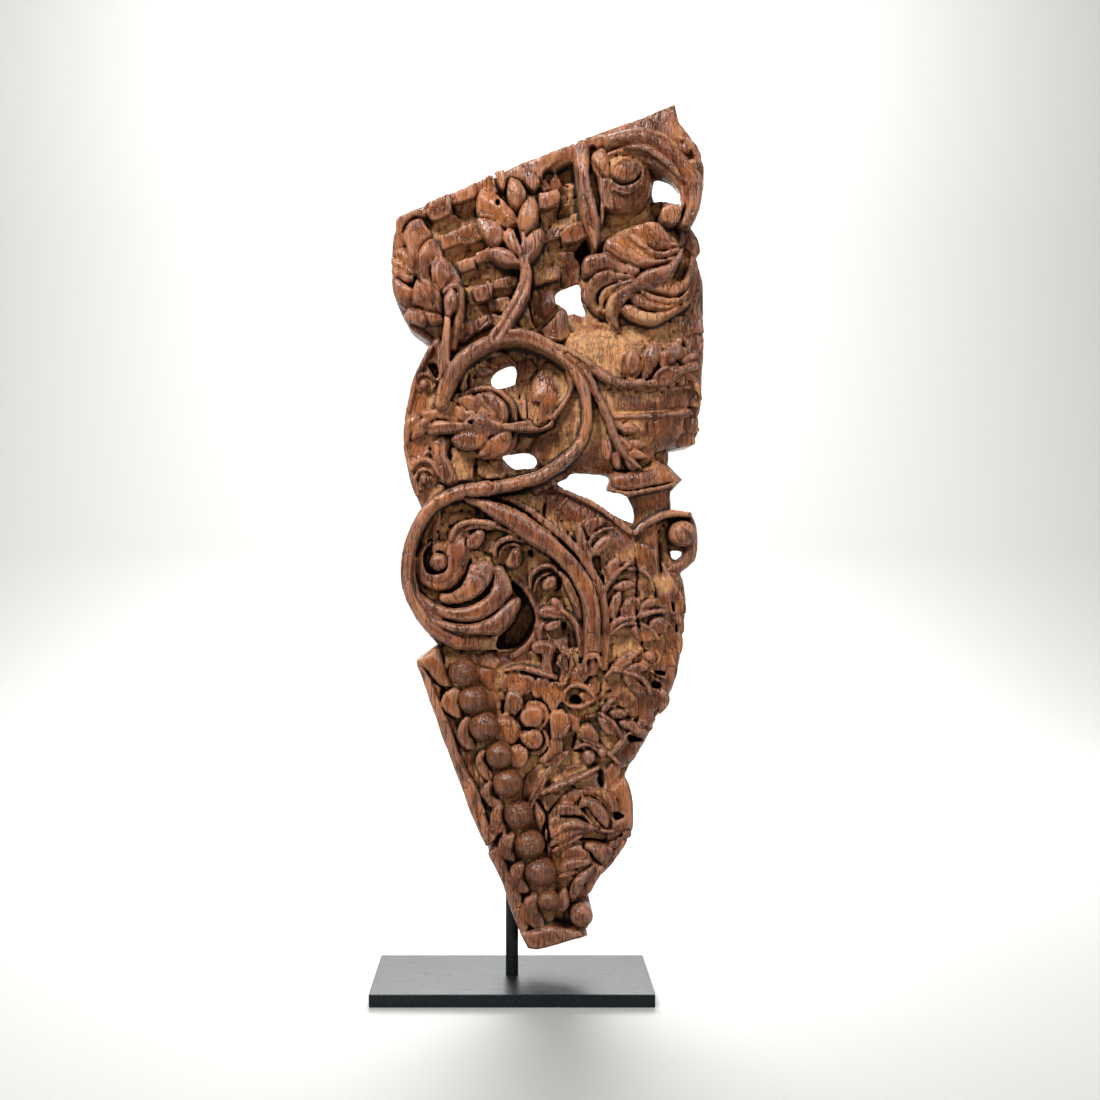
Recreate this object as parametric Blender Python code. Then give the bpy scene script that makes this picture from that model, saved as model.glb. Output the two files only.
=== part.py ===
"""A carved wooden bracket held up by a steel rod on a flat base plate.

The carving is one block of wood. Its forms are drawn on the front of the block in drawing
units, as seen from an eye straight in front, and each is set at its own level of the
relief, from 0 at the flat back to 1 at the front of the block. Metres, +Z up, the front
faces -Y. The origin is on the underside of the base plate, below the rod.
"""

import math

import bmesh
import bpy
from mathutils import Vector

# Driving dimensions of the carving
CARVING_HEIGHT = 0.800
BLOCK_THICKNESS = 0.090
BACK_TO_ROD = 0.040
CARVING_LIFT = 0.032
GRAIN_STEP = 0.0025
CARVING_FACES = 8600

# Driving dimensions of the stand
PLATE_LENGTH = 0.264
PLATE_DEPTH = 0.130
PLATE_THICKNESS = 0.012
PLATE_EDGE = 0.0010
ROD_DIAMETER = 0.012
ROD_EDGE = 0.0008
ROD_SIDES = 32
ROD_SEAT = 0.009
ROD_GRIP = 0.125
CLEARANCE = 0.0003

# The drawing: units across and down, read from an eye level with its middle
DRAWN_TOP = 104.0
DRAWN_FOOT = 950.0
ROD_COLUMN = 512.0
EYE_ROW = 548.0
EYE_UNITS = 1442.0
ROD_ENTRY_ROW = 915.0
FOOT_LEVEL = 0.80
TOP_LEVEL = 0.72
ROOT_LEVEL = 0.20

# What the forms set back from the front add to the height, being drawn smaller than they are
SET_BACK = (DRAWN_FOOT - EYE_ROW) * (1 - FOOT_LEVEL) + (EYE_ROW - DRAWN_TOP) * (1 - TOP_LEVEL)
UNIT = (CARVING_HEIGHT - SET_BACK * BLOCK_THICKNESS / EYE_UNITS) / (DRAWN_FOOT - DRAWN_TOP)
EYE_DISTANCE = EYE_UNITS * UNIT
FRONT_Y = BACK_TO_ROD - BLOCK_THICKNESS
FOOT_Z = PLATE_THICKNESS + CARVING_LIFT

# Cross-sections of a form: share of the half width, share of the rise
ROUND = ((-1.0, 0.45), (-0.72, 0.82), (0.0, 1.0), (0.72, 0.82), (1.0, 0.45))
RIDGE = ((-1.0, 0.40), (-0.45, 0.72), (0.0, 1.0), (0.45, 0.72), (1.0, 0.40))
FLAT = ((-1.0, 0.94), (-0.85, 1.0), (0.85, 1.0), (1.0, 0.94))

# Outline of the block in runs, each with the level of its front edge
OUTLINE = (
    (TOP_LEVEL, ((397, 217.5), (425, 203), (493, 172), (575, 141), (676, 104))),
    (0.80, ((678, 121), (692, 135), (703, 159), (704, 188), (699, 212), (690, 224))),
    (0.62, ((700, 250), (697, 257), (704, 279), (705, 313), (701, 317), (701, 404))),
    (0.62, ((699, 432), (695, 444), (678, 448), (667, 451), (667, 463), (684, 479))),
    (0.55, ((675, 487), (671, 492), (671, 510), (689, 512), (698, 532), (697, 546))),
    (0.55, ((692, 560), (681, 573), (685, 592), (686, 612), (683, 638), (676, 656))),
    (0.60, ((677, 676), (668, 692), (668, 702), (655, 722), (640, 746), (631, 764))),
    (0.65, ((626, 778), (632, 795), (633, 814), (631, 838), (624, 845), (613, 863))),
    (0.75, ((596, 881), (588, 897), (591, 909), (593, 920), (589, 934), (568, 942))),
    (FOOT_LEVEL, ((537, 950), (528, 949), (519, 933), (507, 899), (487, 850))),
    (0.82, ((470, 810), (455, 769), (415.5, 661), (437, 647))),
    (0.80, ((425, 634), (413, 619), (405, 599), (401, 568), (404, 545), (412, 524))),
    (0.62, ((421, 508), (413, 490), (407, 468), (403, 436), (405, 412), (410, 388))),
    (0.62, ((415, 374), (423, 360), (430, 344), (419, 335), (408, 325), (403, 312))),
    (0.66, ((396, 297), (391.5, 272), (391.5, 250), (395, 230))),
)

# Holes that go right through the block, and the deep pocket beside the large scroll
HOLES = (
    ((556, 293), (566, 286), (580, 286), (581, 296), (585, 315), (565, 314), (557, 303)),
    ((491, 382), (498, 371), (515, 366), (516, 382), (509, 386), (496, 388)),
    ((503, 457), (530, 454), (537, 465), (519, 470), (510, 467)),
    ((654, 181), (668, 184), (678, 195), (680, 204), (666, 201), (653, 203)),
    ((558, 485), (573, 475), (608, 477), (606, 491), (628, 497), (635, 523), (614, 516), (595, 502)),
    ((670, 551), (681, 552), (680, 557), (674, 560)),
)
POCKET = ((511, 581), (527, 594), (535, 615), (530, 636), (512, 650), (497, 648), (500, 634),
          (518, 612), (521, 599))
GROUND_LEVEL = 0.44
POCKET_FLOOR = 0.12

# Swelling masses: outline, level of the rim, level of the crown
MASSES = (
    (((597, 146), (640, 152), (657, 178), (653, 206), (629, 222), (603, 226), (597, 190)), 0.58, 0.80),
    (((576, 143), (675, 106), (679, 122), (702, 158), (692, 172), (664, 154), (600, 140)), 0.70, 0.76),
    (((560, 344), (576, 330), (600, 322), (698, 320), (700, 400), (696, 440), (666, 450),
      (640, 470), (600, 475), (568, 472), (548, 440), (546, 390)), 0.50, 0.78),
    (((528, 366), (556, 352), (580, 372), (584, 430), (558, 466), (530, 452), (520, 412)), 0.44, 0.62),
    (((590, 262), (606, 238), (640, 230), (690, 244), (697, 268), (686, 306), (640, 322),
      (604, 312)), 0.56, 0.74),
    (((472, 408), (490, 388), (512, 402), (516, 424), (506, 448), (484, 452)), 0.56, 0.68),
    (((584, 500), (633, 531), (655, 568), (681, 574), (685, 610), (676, 676), (655, 722),
      (630, 764), (604, 740), (596, 660), (594, 590)), 0.52, 0.72),
    (((607, 476), (657, 459), (684, 479), (674, 488), (650, 497), (628, 496)), 0.45, 0.82),
    (((418, 592), (440, 575), (492, 560), (512, 590), (500, 630), (462, 644), (430, 630)), 0.60, 0.78),
    (((441, 650), (560, 662), (600, 690), (622, 776), (598, 770), (556, 812), (562, 896),
      (536, 936), (506, 892), (488, 848), (466, 776)), 0.62, 0.70),
    (((548, 803), (583, 798), (605, 826), (630, 832), (624, 846), (588, 896), (560, 900)), 0.58, 0.80),
    (((507, 900), (560, 888), (590, 900), (592, 922), (568, 941), (530, 948)), 0.70, 0.88),
)

# Flat blocks: outline and level
BLOCKS = (
    (((398, 218), (493, 173), (576, 142), (572, 154), (493, 186), (412, 232)), 0.66),
    (((416, 662), (440, 648), (450, 690), (472, 776), (504, 832), (488, 850)), 0.80),
    (((505, 850), (512, 842), (545, 930), (537, 949), (522, 936)), 0.86),
    (((638, 534), (658, 528), (656, 572), (640, 574)), 0.72),
    (((690, 246), (700, 252), (705, 312), (694, 312), (697, 280)), 0.52),
    (((543, 318), (561, 310), (569, 336), (552, 344)), 0.62),
    (((556, 930), (522, 938), (530, 949), (540, 950), (568, 942)), 0.84),
)

# Long forms: cross-section, floor level, crest level, points, widths
MAIN_VINE = ((442, 399), (448, 382), (459, 362), (482, 346), (510, 336), (529, 336), (560, 354),
             (579, 387), (586, 421), (579, 452), (560, 471), (531, 480), (493, 486), (460, 491))
LARGE_SCROLL = ((493, 486), (466, 488), (442, 496), (422, 514), (410, 534), (406, 562), (410, 592),
                (422, 616), (444, 634), (477, 637), (500, 626))
TRUNK = ((466, 499), (490, 508), (530, 526), (556, 546), (576, 572), (588, 600), (592, 630), (590, 652))
BROW = ((604, 143), (640, 149), (664, 162), (684, 184), (693, 205), (689, 222))
LONG_FORMS = (
    (ROUND, 0.30, 0.97, MAIN_VINE, (12, 15)),
    (ROUND, 0.10, 0.95, LARGE_SCROLL, (14, 11, 12, 14, 20, 10)),
    (ROUND, 0.30, 0.97, TRUNK, (8, 17, 26, 25)),
    (ROUND, 0.05, 0.95, BROW, (7, 12, 15, 17, 14)),
    (ROUND, 0.30, 0.95, ((526, 266), (527, 283), (518, 303), (506, 320), (496, 338)), (13, 14)),
    (ROUND, 0.30, 0.92, ((450, 300), (447, 340), (444, 380), (440, 404)), (7, 10, 12)),
    (ROUND, 0.30, 0.90, ((571, 352), (597, 371), (618, 382), (640, 380), (662, 369), (699, 364)), (8, 10)),
    (ROUND, 0.30, 0.90, ((586, 376), (597, 404), (612, 430), (625, 452), (644, 468)), (9, 9)),
    (RIDGE, 0.30, 0.90, ((581, 146), (588, 190), (596, 246)), (15, 14, 4)),
    (ROUND, 0.00, 0.60, ((429, 348), (414, 376), (408, 405), (407, 436), (411, 468), (419, 498)), (9, 9)),
    (FLAT, 0.30, 0.86, ((610, 398), (650, 397), (690, 395)), (20, 20)),
    (ROUND, 0.00, 0.82, ((636, 532), (648, 521), (664, 514), (690, 511)), (9, 9)),
    (ROUND, 0.05, 0.68, ((650, 490), (651, 505), (654, 526)), (42, 34, 34)),
    (ROUND, 0.05, 0.75, ((690, 513), (698, 530), (696, 548), (690, 562), (680, 574)), (6, 8, 7)),
    (FLAT, 0.20, 0.72, ((560, 488), (586, 501), (614, 517), (632, 532)), (7, 8)),
    (ROUND, 0.30, 0.80, ((455, 540), (458, 528), (474, 521), (494, 528)), (5, 7, 3)),
    (ROUND, 0.30, 0.80, ((496, 551), (506, 541), (521, 540)), (5, 6, 3)),
    (ROUND, 0.30, 0.84, ((605, 596), (617, 577), (630, 567)), (5, 3)),
    (ROUND, 0.30, 0.84, ((610, 631), (621, 620), (640, 618)), (5, 3)),
    (ROUND, 0.30, 0.84, ((596, 653), (612, 668), (628, 664)), (6, 3)),
    (ROUND, 0.30, 0.84, ((544, 794), (572, 782), (600, 768)), (8, 9, 5)),
    (ROUND, 0.30, 0.74, ((455, 395), (482, 385), (504, 394), (515, 412)), (5, 5)),
    (ROUND, 0.30, 0.74, ((515, 434), (507, 449), (492, 459)), (5, 5)),
    (ROUND, 0.30, 0.84, ((511, 426), (532, 424), (548, 420)), (12, 13)),
    (ROUND, 0.30, 0.76, ((532, 694), (547, 706), (552, 727), (547, 748), (530, 764)), (10, 12, 9)),
    (ROUND, 0.30, 0.72, ((508, 674), (535, 672), (560, 676)), (11, 12)),
    (ROUND, 0.30, 0.72, ((556, 688), (563, 714), (560, 744), (544, 782), (536, 802)), (11, 13, 8)),
    (ROUND, 0.30, 0.92, ((636, 299), (662, 306), (687, 289), (697, 260)), (6, 11, 10, 6)),
    (ROUND, 0.30, 0.84, ((640, 268), (612, 266), (594, 282), (593, 308)), (4, 12, 13, 5)),
    (ROUND, 0.30, 0.88, ((637, 278), (616, 282), (601, 302)), (4, 12, 5)),
    (ROUND, 0.30, 0.86, ((640, 284), (622, 300), (619, 328)), (5, 16, 4)),
    (ROUND, 0.30, 0.84, ((624, 309), (654, 319), (684, 305)), (6, 14, 6)),
    (ROUND, 0.30, 0.80, ((457, 338), (470, 326), (492, 319)), (11, 10)),
    (ROUND, 0.30, 0.76, ((410, 592), (438, 610), (470, 614), (496, 602), (506, 576)), (14, 22, 22, 8)),
)

# Leaves: foot, tip, width, crest level
LEAVES = (
    (518, 264, 487, 245, 14, 0.88), (508, 244, 476, 216, 14, 0.84), (514, 226, 480, 188, 20, 0.74),
    (518, 226, 510, 174, 15, 0.84), (519, 243, 532, 193, 20, 0.90), (526, 258, 544, 227, 14, 0.90),
    (520, 260, 504, 224, 9, 0.84),
    (412, 276, 420, 217, 22, 0.76), (418, 276, 438, 240, 14, 0.78), (446, 292, 434, 256, 26, 0.82),
    (412, 277, 392, 256, 10, 0.72), (411, 281, 391, 276, 10, 0.72), (415, 280, 396, 308, 20, 0.74),
    (416, 278, 438, 316, 18, 0.80), (447, 320, 454, 286, 17, 0.92), (424, 312, 406, 322, 12, 0.70),
    (426, 313, 444, 324, 14, 0.70),
    (512, 418, 484, 392, 22, 0.84), (490, 413, 453, 397, 14, 0.82), (480, 420, 438, 403, 13, 0.76),
    (512, 427, 462, 422, 22, 0.92), (490, 434, 450, 434, 14, 0.82), (488, 442, 451, 448, 12, 0.74),
    (511, 430, 478, 454, 18, 0.84), (470, 428, 406, 421, 13, 0.74), (462, 436, 405, 436, 12, 0.66),
    (440, 482, 436, 436, 25, 0.66), (612, 174, 590, 148, 13, 0.84),
    (686, 258, 603, 240, 20, 0.90), (655, 254, 624, 234, 12, 0.84), (677, 244, 632, 221, 17, 0.86),
    (641, 270, 584, 262, 14, 0.82), (672, 266, 636, 280, 14, 0.90), (684, 286, 694, 252, 12, 0.60),
    (638, 380, 628, 340, 16, 0.88), (640, 378, 657, 337, 15, 0.88), (655, 369, 682, 342, 15, 0.86),
    (668, 366, 700, 350, 9, 0.82), (614, 430, 643, 426, 10, 0.84), (626, 446, 648, 438, 10, 0.84),
    (630, 452, 650, 455, 9, 0.84), (612, 434, 604, 462, 12, 0.84), (622, 452, 612, 468, 9, 0.84),
    (496, 556, 446, 592, 17, 0.84), (470, 541, 488, 541, 12, 0.76), (508, 562, 522, 550, 15, 0.76),
    (532, 590, 556, 572, 15, 0.74), (560, 620, 544, 608, 9, 0.74), (562, 630, 550, 628, 8, 0.74),
    (588, 552, 578, 526, 13, 0.82), (590, 556, 608, 538, 12, 0.82), (608, 580, 618, 558, 10, 0.84),
    (614, 580, 640, 562, 12, 0.84), (612, 592, 630, 582, 10, 0.84), (616, 624, 636, 600, 11, 0.84),
    (636, 616, 660, 600, 12, 0.84), (640, 622, 668, 630, 10, 0.84), (636, 624, 648, 640, 9, 0.84),
    (614, 668, 640, 652, 11, 0.82), (620, 670, 650, 674, 11, 0.82), (626, 676, 644, 690, 10, 0.78),
    (592, 672, 576, 664, 12, 0.78), (600, 730, 618, 722, 12, 0.76), (556, 664, 534, 652, 12, 0.72),
    (604, 828, 582, 800, 15, 0.90), (600, 826, 550, 822, 17, 0.88), (600, 832, 558, 846, 15, 0.88),
    (606, 858, 590, 848, 9, 0.84), (592, 862, 560, 870, 13, 0.84), (592, 878, 564, 890, 14, 0.86),
    (590, 892, 566, 908, 12, 0.86), (580, 702, 566, 694, 8, 0.74), (580, 696, 594, 702, 8, 0.74),
)

# Round bosses: centre, radius, floor level, crest level
BOSSES = (
    (463, 674, 14.3), (473, 701, 14.8), (484, 728, 15.3), (499.5, 757, 13.8), (508, 785.5, 15.3),
    (519, 817, 14.4), (530, 847, 15.0), (541, 875, 16.0), (549, 903, 11.0),
)
ROUNDS = (
    (626.5, 169, 15, 0.50, 0.92), (671, 213, 12, 0.00, 0.95), (684, 534, 13.5, 0.20, 0.86),
    (614, 401, 8, 0.60, 0.96), (634, 400, 9.5, 0.60, 0.97), (653, 397.5, 9, 0.60, 0.97),
    (671, 396.5, 8, 0.60, 0.96), (685, 395, 6, 0.60, 0.94), (439, 561, 9, 0.50, 0.93),
    (425, 384, 10, 0.30, 0.64), (424, 478.5, 8, 0.30, 0.64), (416, 317, 11, 0.40, 0.78),
    (581, 918, 11, 0.60, 0.92), (507, 731, 14, 0.40, 0.82), (514, 758, 12, 0.40, 0.80),
    (513, 702, 10, 0.40, 0.80), (532.6, 716, 11.5, 0.40, 0.82), (532.6, 739, 11, 0.40, 0.80),
    (457, 703, 11, 0.50, 0.84), (470, 734, 11, 0.50, 0.84), (487, 762, 11, 0.50, 0.84),
    (497, 790, 11, 0.50, 0.84), (503, 822, 10, 0.50, 0.84), (512, 850, 10, 0.50, 0.86),
    (526, 882, 10, 0.50, 0.88), (534, 912, 11, 0.50, 0.88), (650, 656, 6, 0.50, 0.82),
    (500, 363, 13, 0.30, 0.62), (577, 699, 6, 0.50, 0.78),
)
BOSS_FLOOR = 0.60
BOSS_CREST = 1.00

# The volute in the middle of the large scroll
VOLUTE_CENTRE = (439, 561)
VOLUTE_INNER = 14.0
VOLUTE_OUTER = 25.0
VOLUTE_TURNS = 1.35
VOLUTE_START = 100.0

# Small rectangular tablets in slanted rows: first and last middle, width, height, level
TABLET_SLANT = -20.5
TABLET_PITCH = 1.15
TABLET_ROWS = (
    ((417, 213), (487, 187), 21, 17, 0.70),
    ((449, 237), (468, 231), 18, 16, 0.66),
    ((549, 201), (571, 192), 20, 13, 0.66),
    ((465, 265), (484, 259), 18, 16, 0.66),
    ((553, 234), (574, 226), 19, 15, 0.62),
    ((482, 293), (504, 286), 20, 17, 0.66),
    ((546, 273), (566, 265), 18, 22, 0.66),
    ((498, 305), (498, 305), 18, 12, 0.62),
    ((544, 302), (544, 302), 24, 22, 0.62),
)

STEPS_PER_SPAN = 4
CROWN_RINGS = 5
DISC_SIDES = 18
LEAF_SECTIONS = 7
LEAF_POINT = 0.14


def place(across, down, level):
    """World place of a drawn point at a level of the relief."""
    depth = (1.0 - level) * BLOCK_THICKNESS
    reach = UNIT * (1.0 + depth / EYE_DISTANCE)
    foot_reach = UNIT * (1.0 + (1.0 - FOOT_LEVEL) * BLOCK_THICKNESS / EYE_DISTANCE)
    eye_z = FOOT_Z + (DRAWN_FOOT - EYE_ROW) * foot_reach
    return Vector(((across - ROD_COLUMN) * reach, FRONT_Y + depth, eye_z - (down - EYE_ROW) * reach))


def below(point, level):
    """The point straight behind a world point, at a lower level of the relief."""
    return Vector((point.x, FRONT_Y + (1.0 - level) * BLOCK_THICKNESS, point.z))


def add_rings(mesh, rings):
    """Join rings of equal length into one closed body."""
    layers = [[mesh.verts.new(point) for point in ring] for ring in rings]
    for lower, upper in zip(layers, layers[1:]):
        count = len(lower)
        for i in range(count):
            j = (i + 1) % count
            mesh.faces.new((lower[i], lower[j], upper[j], upper[i]))
    mesh.faces.new(layers[0])
    mesh.faces.new(layers[-1])


def curve_through(points, steps):
    """Points on a smooth curve through the given points."""
    knots = [Vector(point) for point in points]
    first = knots[0] * 2 - knots[1]
    last = knots[-1] * 2 - knots[-2]
    knots = [first] + knots + [last]
    curve = []
    for i in range(1, len(knots) - 2):
        a, b, c, d = knots[i - 1:i + 3]
        for step in range(steps):
            t = step / steps
            curve.append(0.5 * (2 * b + (c - a) * t + (2 * a - 5 * b + 4 * c - d) * t * t
                                + (3 * b - a - 3 * c + d) * t ** 3))
    curve.append(knots[-2])
    return curve


def closed_curve(points, steps):
    """Points on a smooth closed curve through the given points."""
    knots = [Vector(point) for point in points]
    count = len(knots)
    curve = []
    for i in range(count):
        a, b, c, d = (knots[(i + j) % count] for j in (-1, 0, 1, 2))
        for step in range(steps):
            t = step / steps
            curve.append(0.5 * (2 * b + (c - a) * t + (2 * a - 5 * b + 4 * c - d) * t * t
                                + (3 * b - a - 3 * c + d) * t ** 3))
    return curve


def share_of(values, t):
    """Value at share t along an evenly spaced list, straight between its entries."""
    place_in_list = t * (len(values) - 1)
    i = min(int(place_in_list), len(values) - 2)
    return values[i] + (values[i + 1] - values[i]) * (place_in_list - i)


def add_sweep(mesh, section, floor, crest, points, widths):
    """Sweep a cross-section along a drawn path."""
    rings = []
    for i, point in enumerate(points):
        ahead = points[min(i + 1, len(points) - 1)] - points[max(i - 1, 0)]
        side = Vector((-ahead.y, ahead.x)).normalized()
        half = share_of(widths, i / (len(points) - 1)) / 2
        ring = []
        for across, rise in section:
            ring.append(place(*(point + side * half * across), floor + (crest - floor) * rise))
        rings.append([below(ring[0], floor)] + ring + [below(ring[-1], floor)])
    add_rings(mesh, rings)


def add_leaf(mesh, foot, tip, width, floor, crest):
    """A pointed leaf, widest a little beyond its middle."""
    points = [foot + (tip - foot) * i / (LEAF_SECTIONS - 1) for i in range(LEAF_SECTIONS)]
    widths = [width * max(LEAF_POINT, math.sin(math.pi * (i / (LEAF_SECTIONS - 1)) ** 1.15))
              for i in range(LEAF_SECTIONS)]
    add_sweep(mesh, RIDGE, floor, crest, points, widths)


def add_mass(mesh, outline, floor, rim, crown):
    """A swelling form: an outline that rises to a rim and rounds over to a crown."""
    edge = closed_curve(outline, STEPS_PER_SPAN)
    middle = sum(edge, Vector((0, 0))) / len(edge)
    rings = [[below(place(*point, rim), floor) for point in edge]]
    for i in range(CROWN_RINGS):
        turn = math.pi / 2 * i / CROWN_RINGS
        level = rim + (crown - rim) * math.sin(turn)
        rings.append([place(*(middle + (point - middle) * math.cos(turn)), level) for point in edge])
    add_rings(mesh, rings)


def add_round(mesh, across, down, radius, floor, crest):
    """A round boss: a short drum with a domed face."""
    shoulder = max(floor, crest - radius * UNIT / BLOCK_THICKNESS)
    circles = []
    for i in range(CROWN_RINGS):
        rise = math.pi / 2 * i / CROWN_RINGS
        level = shoulder + (crest - shoulder) * math.sin(rise)
        reach = radius * math.cos(rise)
        circle = []
        for j in range(DISC_SIDES):
            turn = math.tau * j / DISC_SIDES
            circle.append(place(across + reach * math.cos(turn), down + reach * math.sin(turn), level))
        circles.append(circle)
    add_rings(mesh, [[below(point, floor) for point in circles[0]]] + circles)


def add_prism(mesh, outline, floor, crest):
    """A straight-sided form, its outline drawn at the crest level."""
    front = [place(*point, crest) for point in outline]
    add_rings(mesh, [[below(point, floor) for point in front], front])


def add_tablets(mesh):
    """Rows of small slanted rectangular tablets, as many as the length of each row takes."""
    turn = math.radians(TABLET_SLANT)
    along = Vector((math.cos(turn), math.sin(turn)))
    upright = Vector((0.0, 1.0))
    for first, last, width, height, level in TABLET_ROWS:
        row = Vector(last) - Vector(first)
        gaps = round(row.length / (width * TABLET_PITCH))
        for i in range(gaps + 1):
            middle = Vector(first) + row * i / max(gaps, 1)
            corners = [middle + along * width / 2 * a + upright * height / 2 * b
                       for a, b in ((-1, -1), (1, -1), (1, 1), (-1, 1))]
            add_prism(mesh, corners, ROOT_LEVEL, level)


def add_volute(mesh):
    """The spiral band round the middle boss of the large scroll."""
    steps = 26
    points = []
    for i in range(steps + 1):
        t = i / steps
        reach = VOLUTE_INNER + (VOLUTE_OUTER - VOLUTE_INNER) * t
        turn = math.radians(VOLUTE_START) - math.tau * VOLUTE_TURNS * t
        points.append(Vector(VOLUTE_CENTRE) + Vector((math.cos(turn), math.sin(turn))) * reach)
    add_sweep(mesh, ROUND, ROOT_LEVEL, 0.84, points, (6, 8, 7))


def tidy_body(mesh):
    """Point every face outwards and return the mesh split into triangles."""
    bmesh.ops.recalc_face_normals(mesh, faces=mesh.faces)
    bmesh.ops.triangulate(mesh, faces=[face for face in mesh.faces if len(face.verts) > 4])


def mesh_object(name, mesh):
    """Make an object from a bmesh."""
    data = bpy.data.meshes.new(name)
    mesh.to_mesh(data)
    mesh.free()
    thing = bpy.data.objects.new(name, data)
    bpy.context.collection.objects.link(thing)
    return thing


def block_slab():
    """The block up to its carved ground, with its true outline."""
    mesh = bmesh.new()
    rim = [place(*point, level) for level, run in OUTLINE for point in run]
    add_rings(mesh, [[below(point, level) for point in rim] for level in (0.0, GROUND_LEVEL)])
    return mesh


def carved_forms():
    """Every raised form of the carving, as overlapping closed bodies on the slab."""
    mesh = block_slab()
    for outline, rim, crown in MASSES:
        add_mass(mesh, outline, ROOT_LEVEL, rim, crown)
    for outline, level in BLOCKS:
        add_prism(mesh, outline, ROOT_LEVEL, level)
    for section, floor, crest, points, widths in LONG_FORMS:
        add_sweep(mesh, section, floor, crest, curve_through(points, STEPS_PER_SPAN), widths)
    for foot_x, foot_y, tip_x, tip_y, width, crest in LEAVES:
        add_leaf(mesh, Vector((foot_x, foot_y)), Vector((tip_x, tip_y)), width, ROOT_LEVEL + 0.1, crest)
    for across, down, radius in BOSSES:
        add_round(mesh, across, down, radius, BOSS_FLOOR - 0.3, BOSS_CREST)
    for across, down, radius, floor, crest in ROUNDS:
        add_round(mesh, across, down, radius, floor, crest)
    add_tablets(mesh)
    add_volute(mesh)
    tidy_body(mesh)
    return mesh


def hole_cutters():
    """The through holes and the pocket, each spreading along the lines of sight."""
    mesh = bmesh.new()
    for outline in HOLES:
        add_rings(mesh, [[place(*point, level) for point in outline] for level in (-0.3, 1.3)])
    add_rings(mesh, [[place(*point, level) for point in POCKET] for level in (POCKET_FLOOR, 1.3)])
    tidy_body(mesh)
    return mesh


def finish_material(name, colour, roughness, metallic):
    """A plain material in the piece's own colour."""
    material = bpy.data.materials.new(name)
    material.use_nodes = True
    shader = material.node_tree.nodes["Principled BSDF"]
    shader.inputs["Base Color"].default_value = (*colour, 1.0)
    shader.inputs["Roughness"].default_value = roughness
    shader.inputs["Metallic"].default_value = metallic
    return material


def as_guide(thing):
    """Keep a cutter out of the model."""
    thing.hide_render = True
    thing.display_type = "WIRE"


def applied(thing):
    """Replace an object's mesh by the mesh its modifiers make."""
    graph = bpy.context.evaluated_depsgraph_get()
    mesh = bpy.data.meshes.new_from_object(thing.evaluated_get(graph))
    thing.modifiers.clear()
    thing.data = mesh
    return len(mesh.polygons)


def cut_away(thing, cutter):
    """Cut one object out of another."""
    cut = thing.modifiers.new("cut", "BOOLEAN")
    cut.operation = "DIFFERENCE"
    cut.object = cutter
    as_guide(cutter)
    return cut


def make_cylinder(name, radius, foot_z, top_z, sides):
    """An upright cylinder on the rod's axis."""
    mesh = bmesh.new()
    bmesh.ops.create_cone(mesh, cap_ends=True, segments=sides, radius1=radius, radius2=radius,
                          depth=top_z - foot_z)
    bmesh.ops.translate(mesh, verts=mesh.verts, vec=(0, 0, (top_z + foot_z) / 2))
    return mesh_object(name, mesh)


def rod_top():
    """Height of the rod's upper end, inside the carving."""
    entry = place(ROD_COLUMN, ROD_ENTRY_ROW, FOOT_LEVEL).z
    return entry + ROD_GRIP


def build_carving(wood):
    """The carved bracket with the bore that the rod stands in."""
    carving = mesh_object("carved_bracket", carved_forms())
    grain = carving.modifiers.new("carved as one", "REMESH")
    grain.mode = "VOXEL"
    grain.voxel_size = GRAIN_STEP
    count = applied(carving)
    fewer = carving.modifiers.new("fewer faces", "DECIMATE")
    fewer.ratio = CARVING_FACES / (2.0 * count)
    fewer.use_collapse_triangulate = True
    applied(carving)
    cut_away(carving, mesh_object("hole_cutter", hole_cutters()))
    bore_radius = ROD_DIAMETER / 2 + CLEARANCE
    bore = make_cylinder("bore_cutter", bore_radius, 0.0, rod_top() + CLEARANCE, ROD_SIDES)
    cut_away(carving, bore)
    carving.data.materials.clear()
    carving.data.materials.append(wood)
    return carving


def build_rod(steel):
    """The round rod from its seat in the plate up into the carving."""
    foot = PLATE_THICKNESS - ROD_SEAT
    rod = make_cylinder("stand_rod", ROD_DIAMETER / 2, foot, rod_top(), ROD_SIDES)
    edge = rod.modifiers.new("broken edge", "BEVEL")
    edge.width = min(ROD_EDGE, ROD_DIAMETER / 4)
    edge.segments = 1
    edge.limit_method = "ANGLE"
    edge.angle_limit = math.radians(40)
    rod.data.shade_smooth()
    rod.data.set_sharp_from_angle(angle=math.radians(40))
    rod.data.materials.append(steel)
    return rod


def build_plate(steel):
    """The flat base plate with the blind hole that the rod is seated in."""
    mesh = bmesh.new()
    bmesh.ops.create_cube(mesh, size=1.0)
    bmesh.ops.scale(mesh, verts=mesh.verts, vec=(PLATE_LENGTH, PLATE_DEPTH, PLATE_THICKNESS))
    bmesh.ops.translate(mesh, verts=mesh.verts, vec=(0, 0, PLATE_THICKNESS / 2))
    plate = mesh_object("base_plate", mesh)
    edge = plate.modifiers.new("broken edge", "BEVEL")
    edge.width = min(PLATE_EDGE, PLATE_THICKNESS / 4)
    edge.segments = 2
    seat_floor = PLATE_THICKNESS - ROD_SEAT - CLEARANCE
    seat = make_cylinder("seat_cutter", ROD_DIAMETER / 2 + CLEARANCE, seat_floor,
                         2 * PLATE_THICKNESS, ROD_SIDES)
    cut_away(plate, seat)
    plate.data.materials.append(steel)
    return plate


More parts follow.
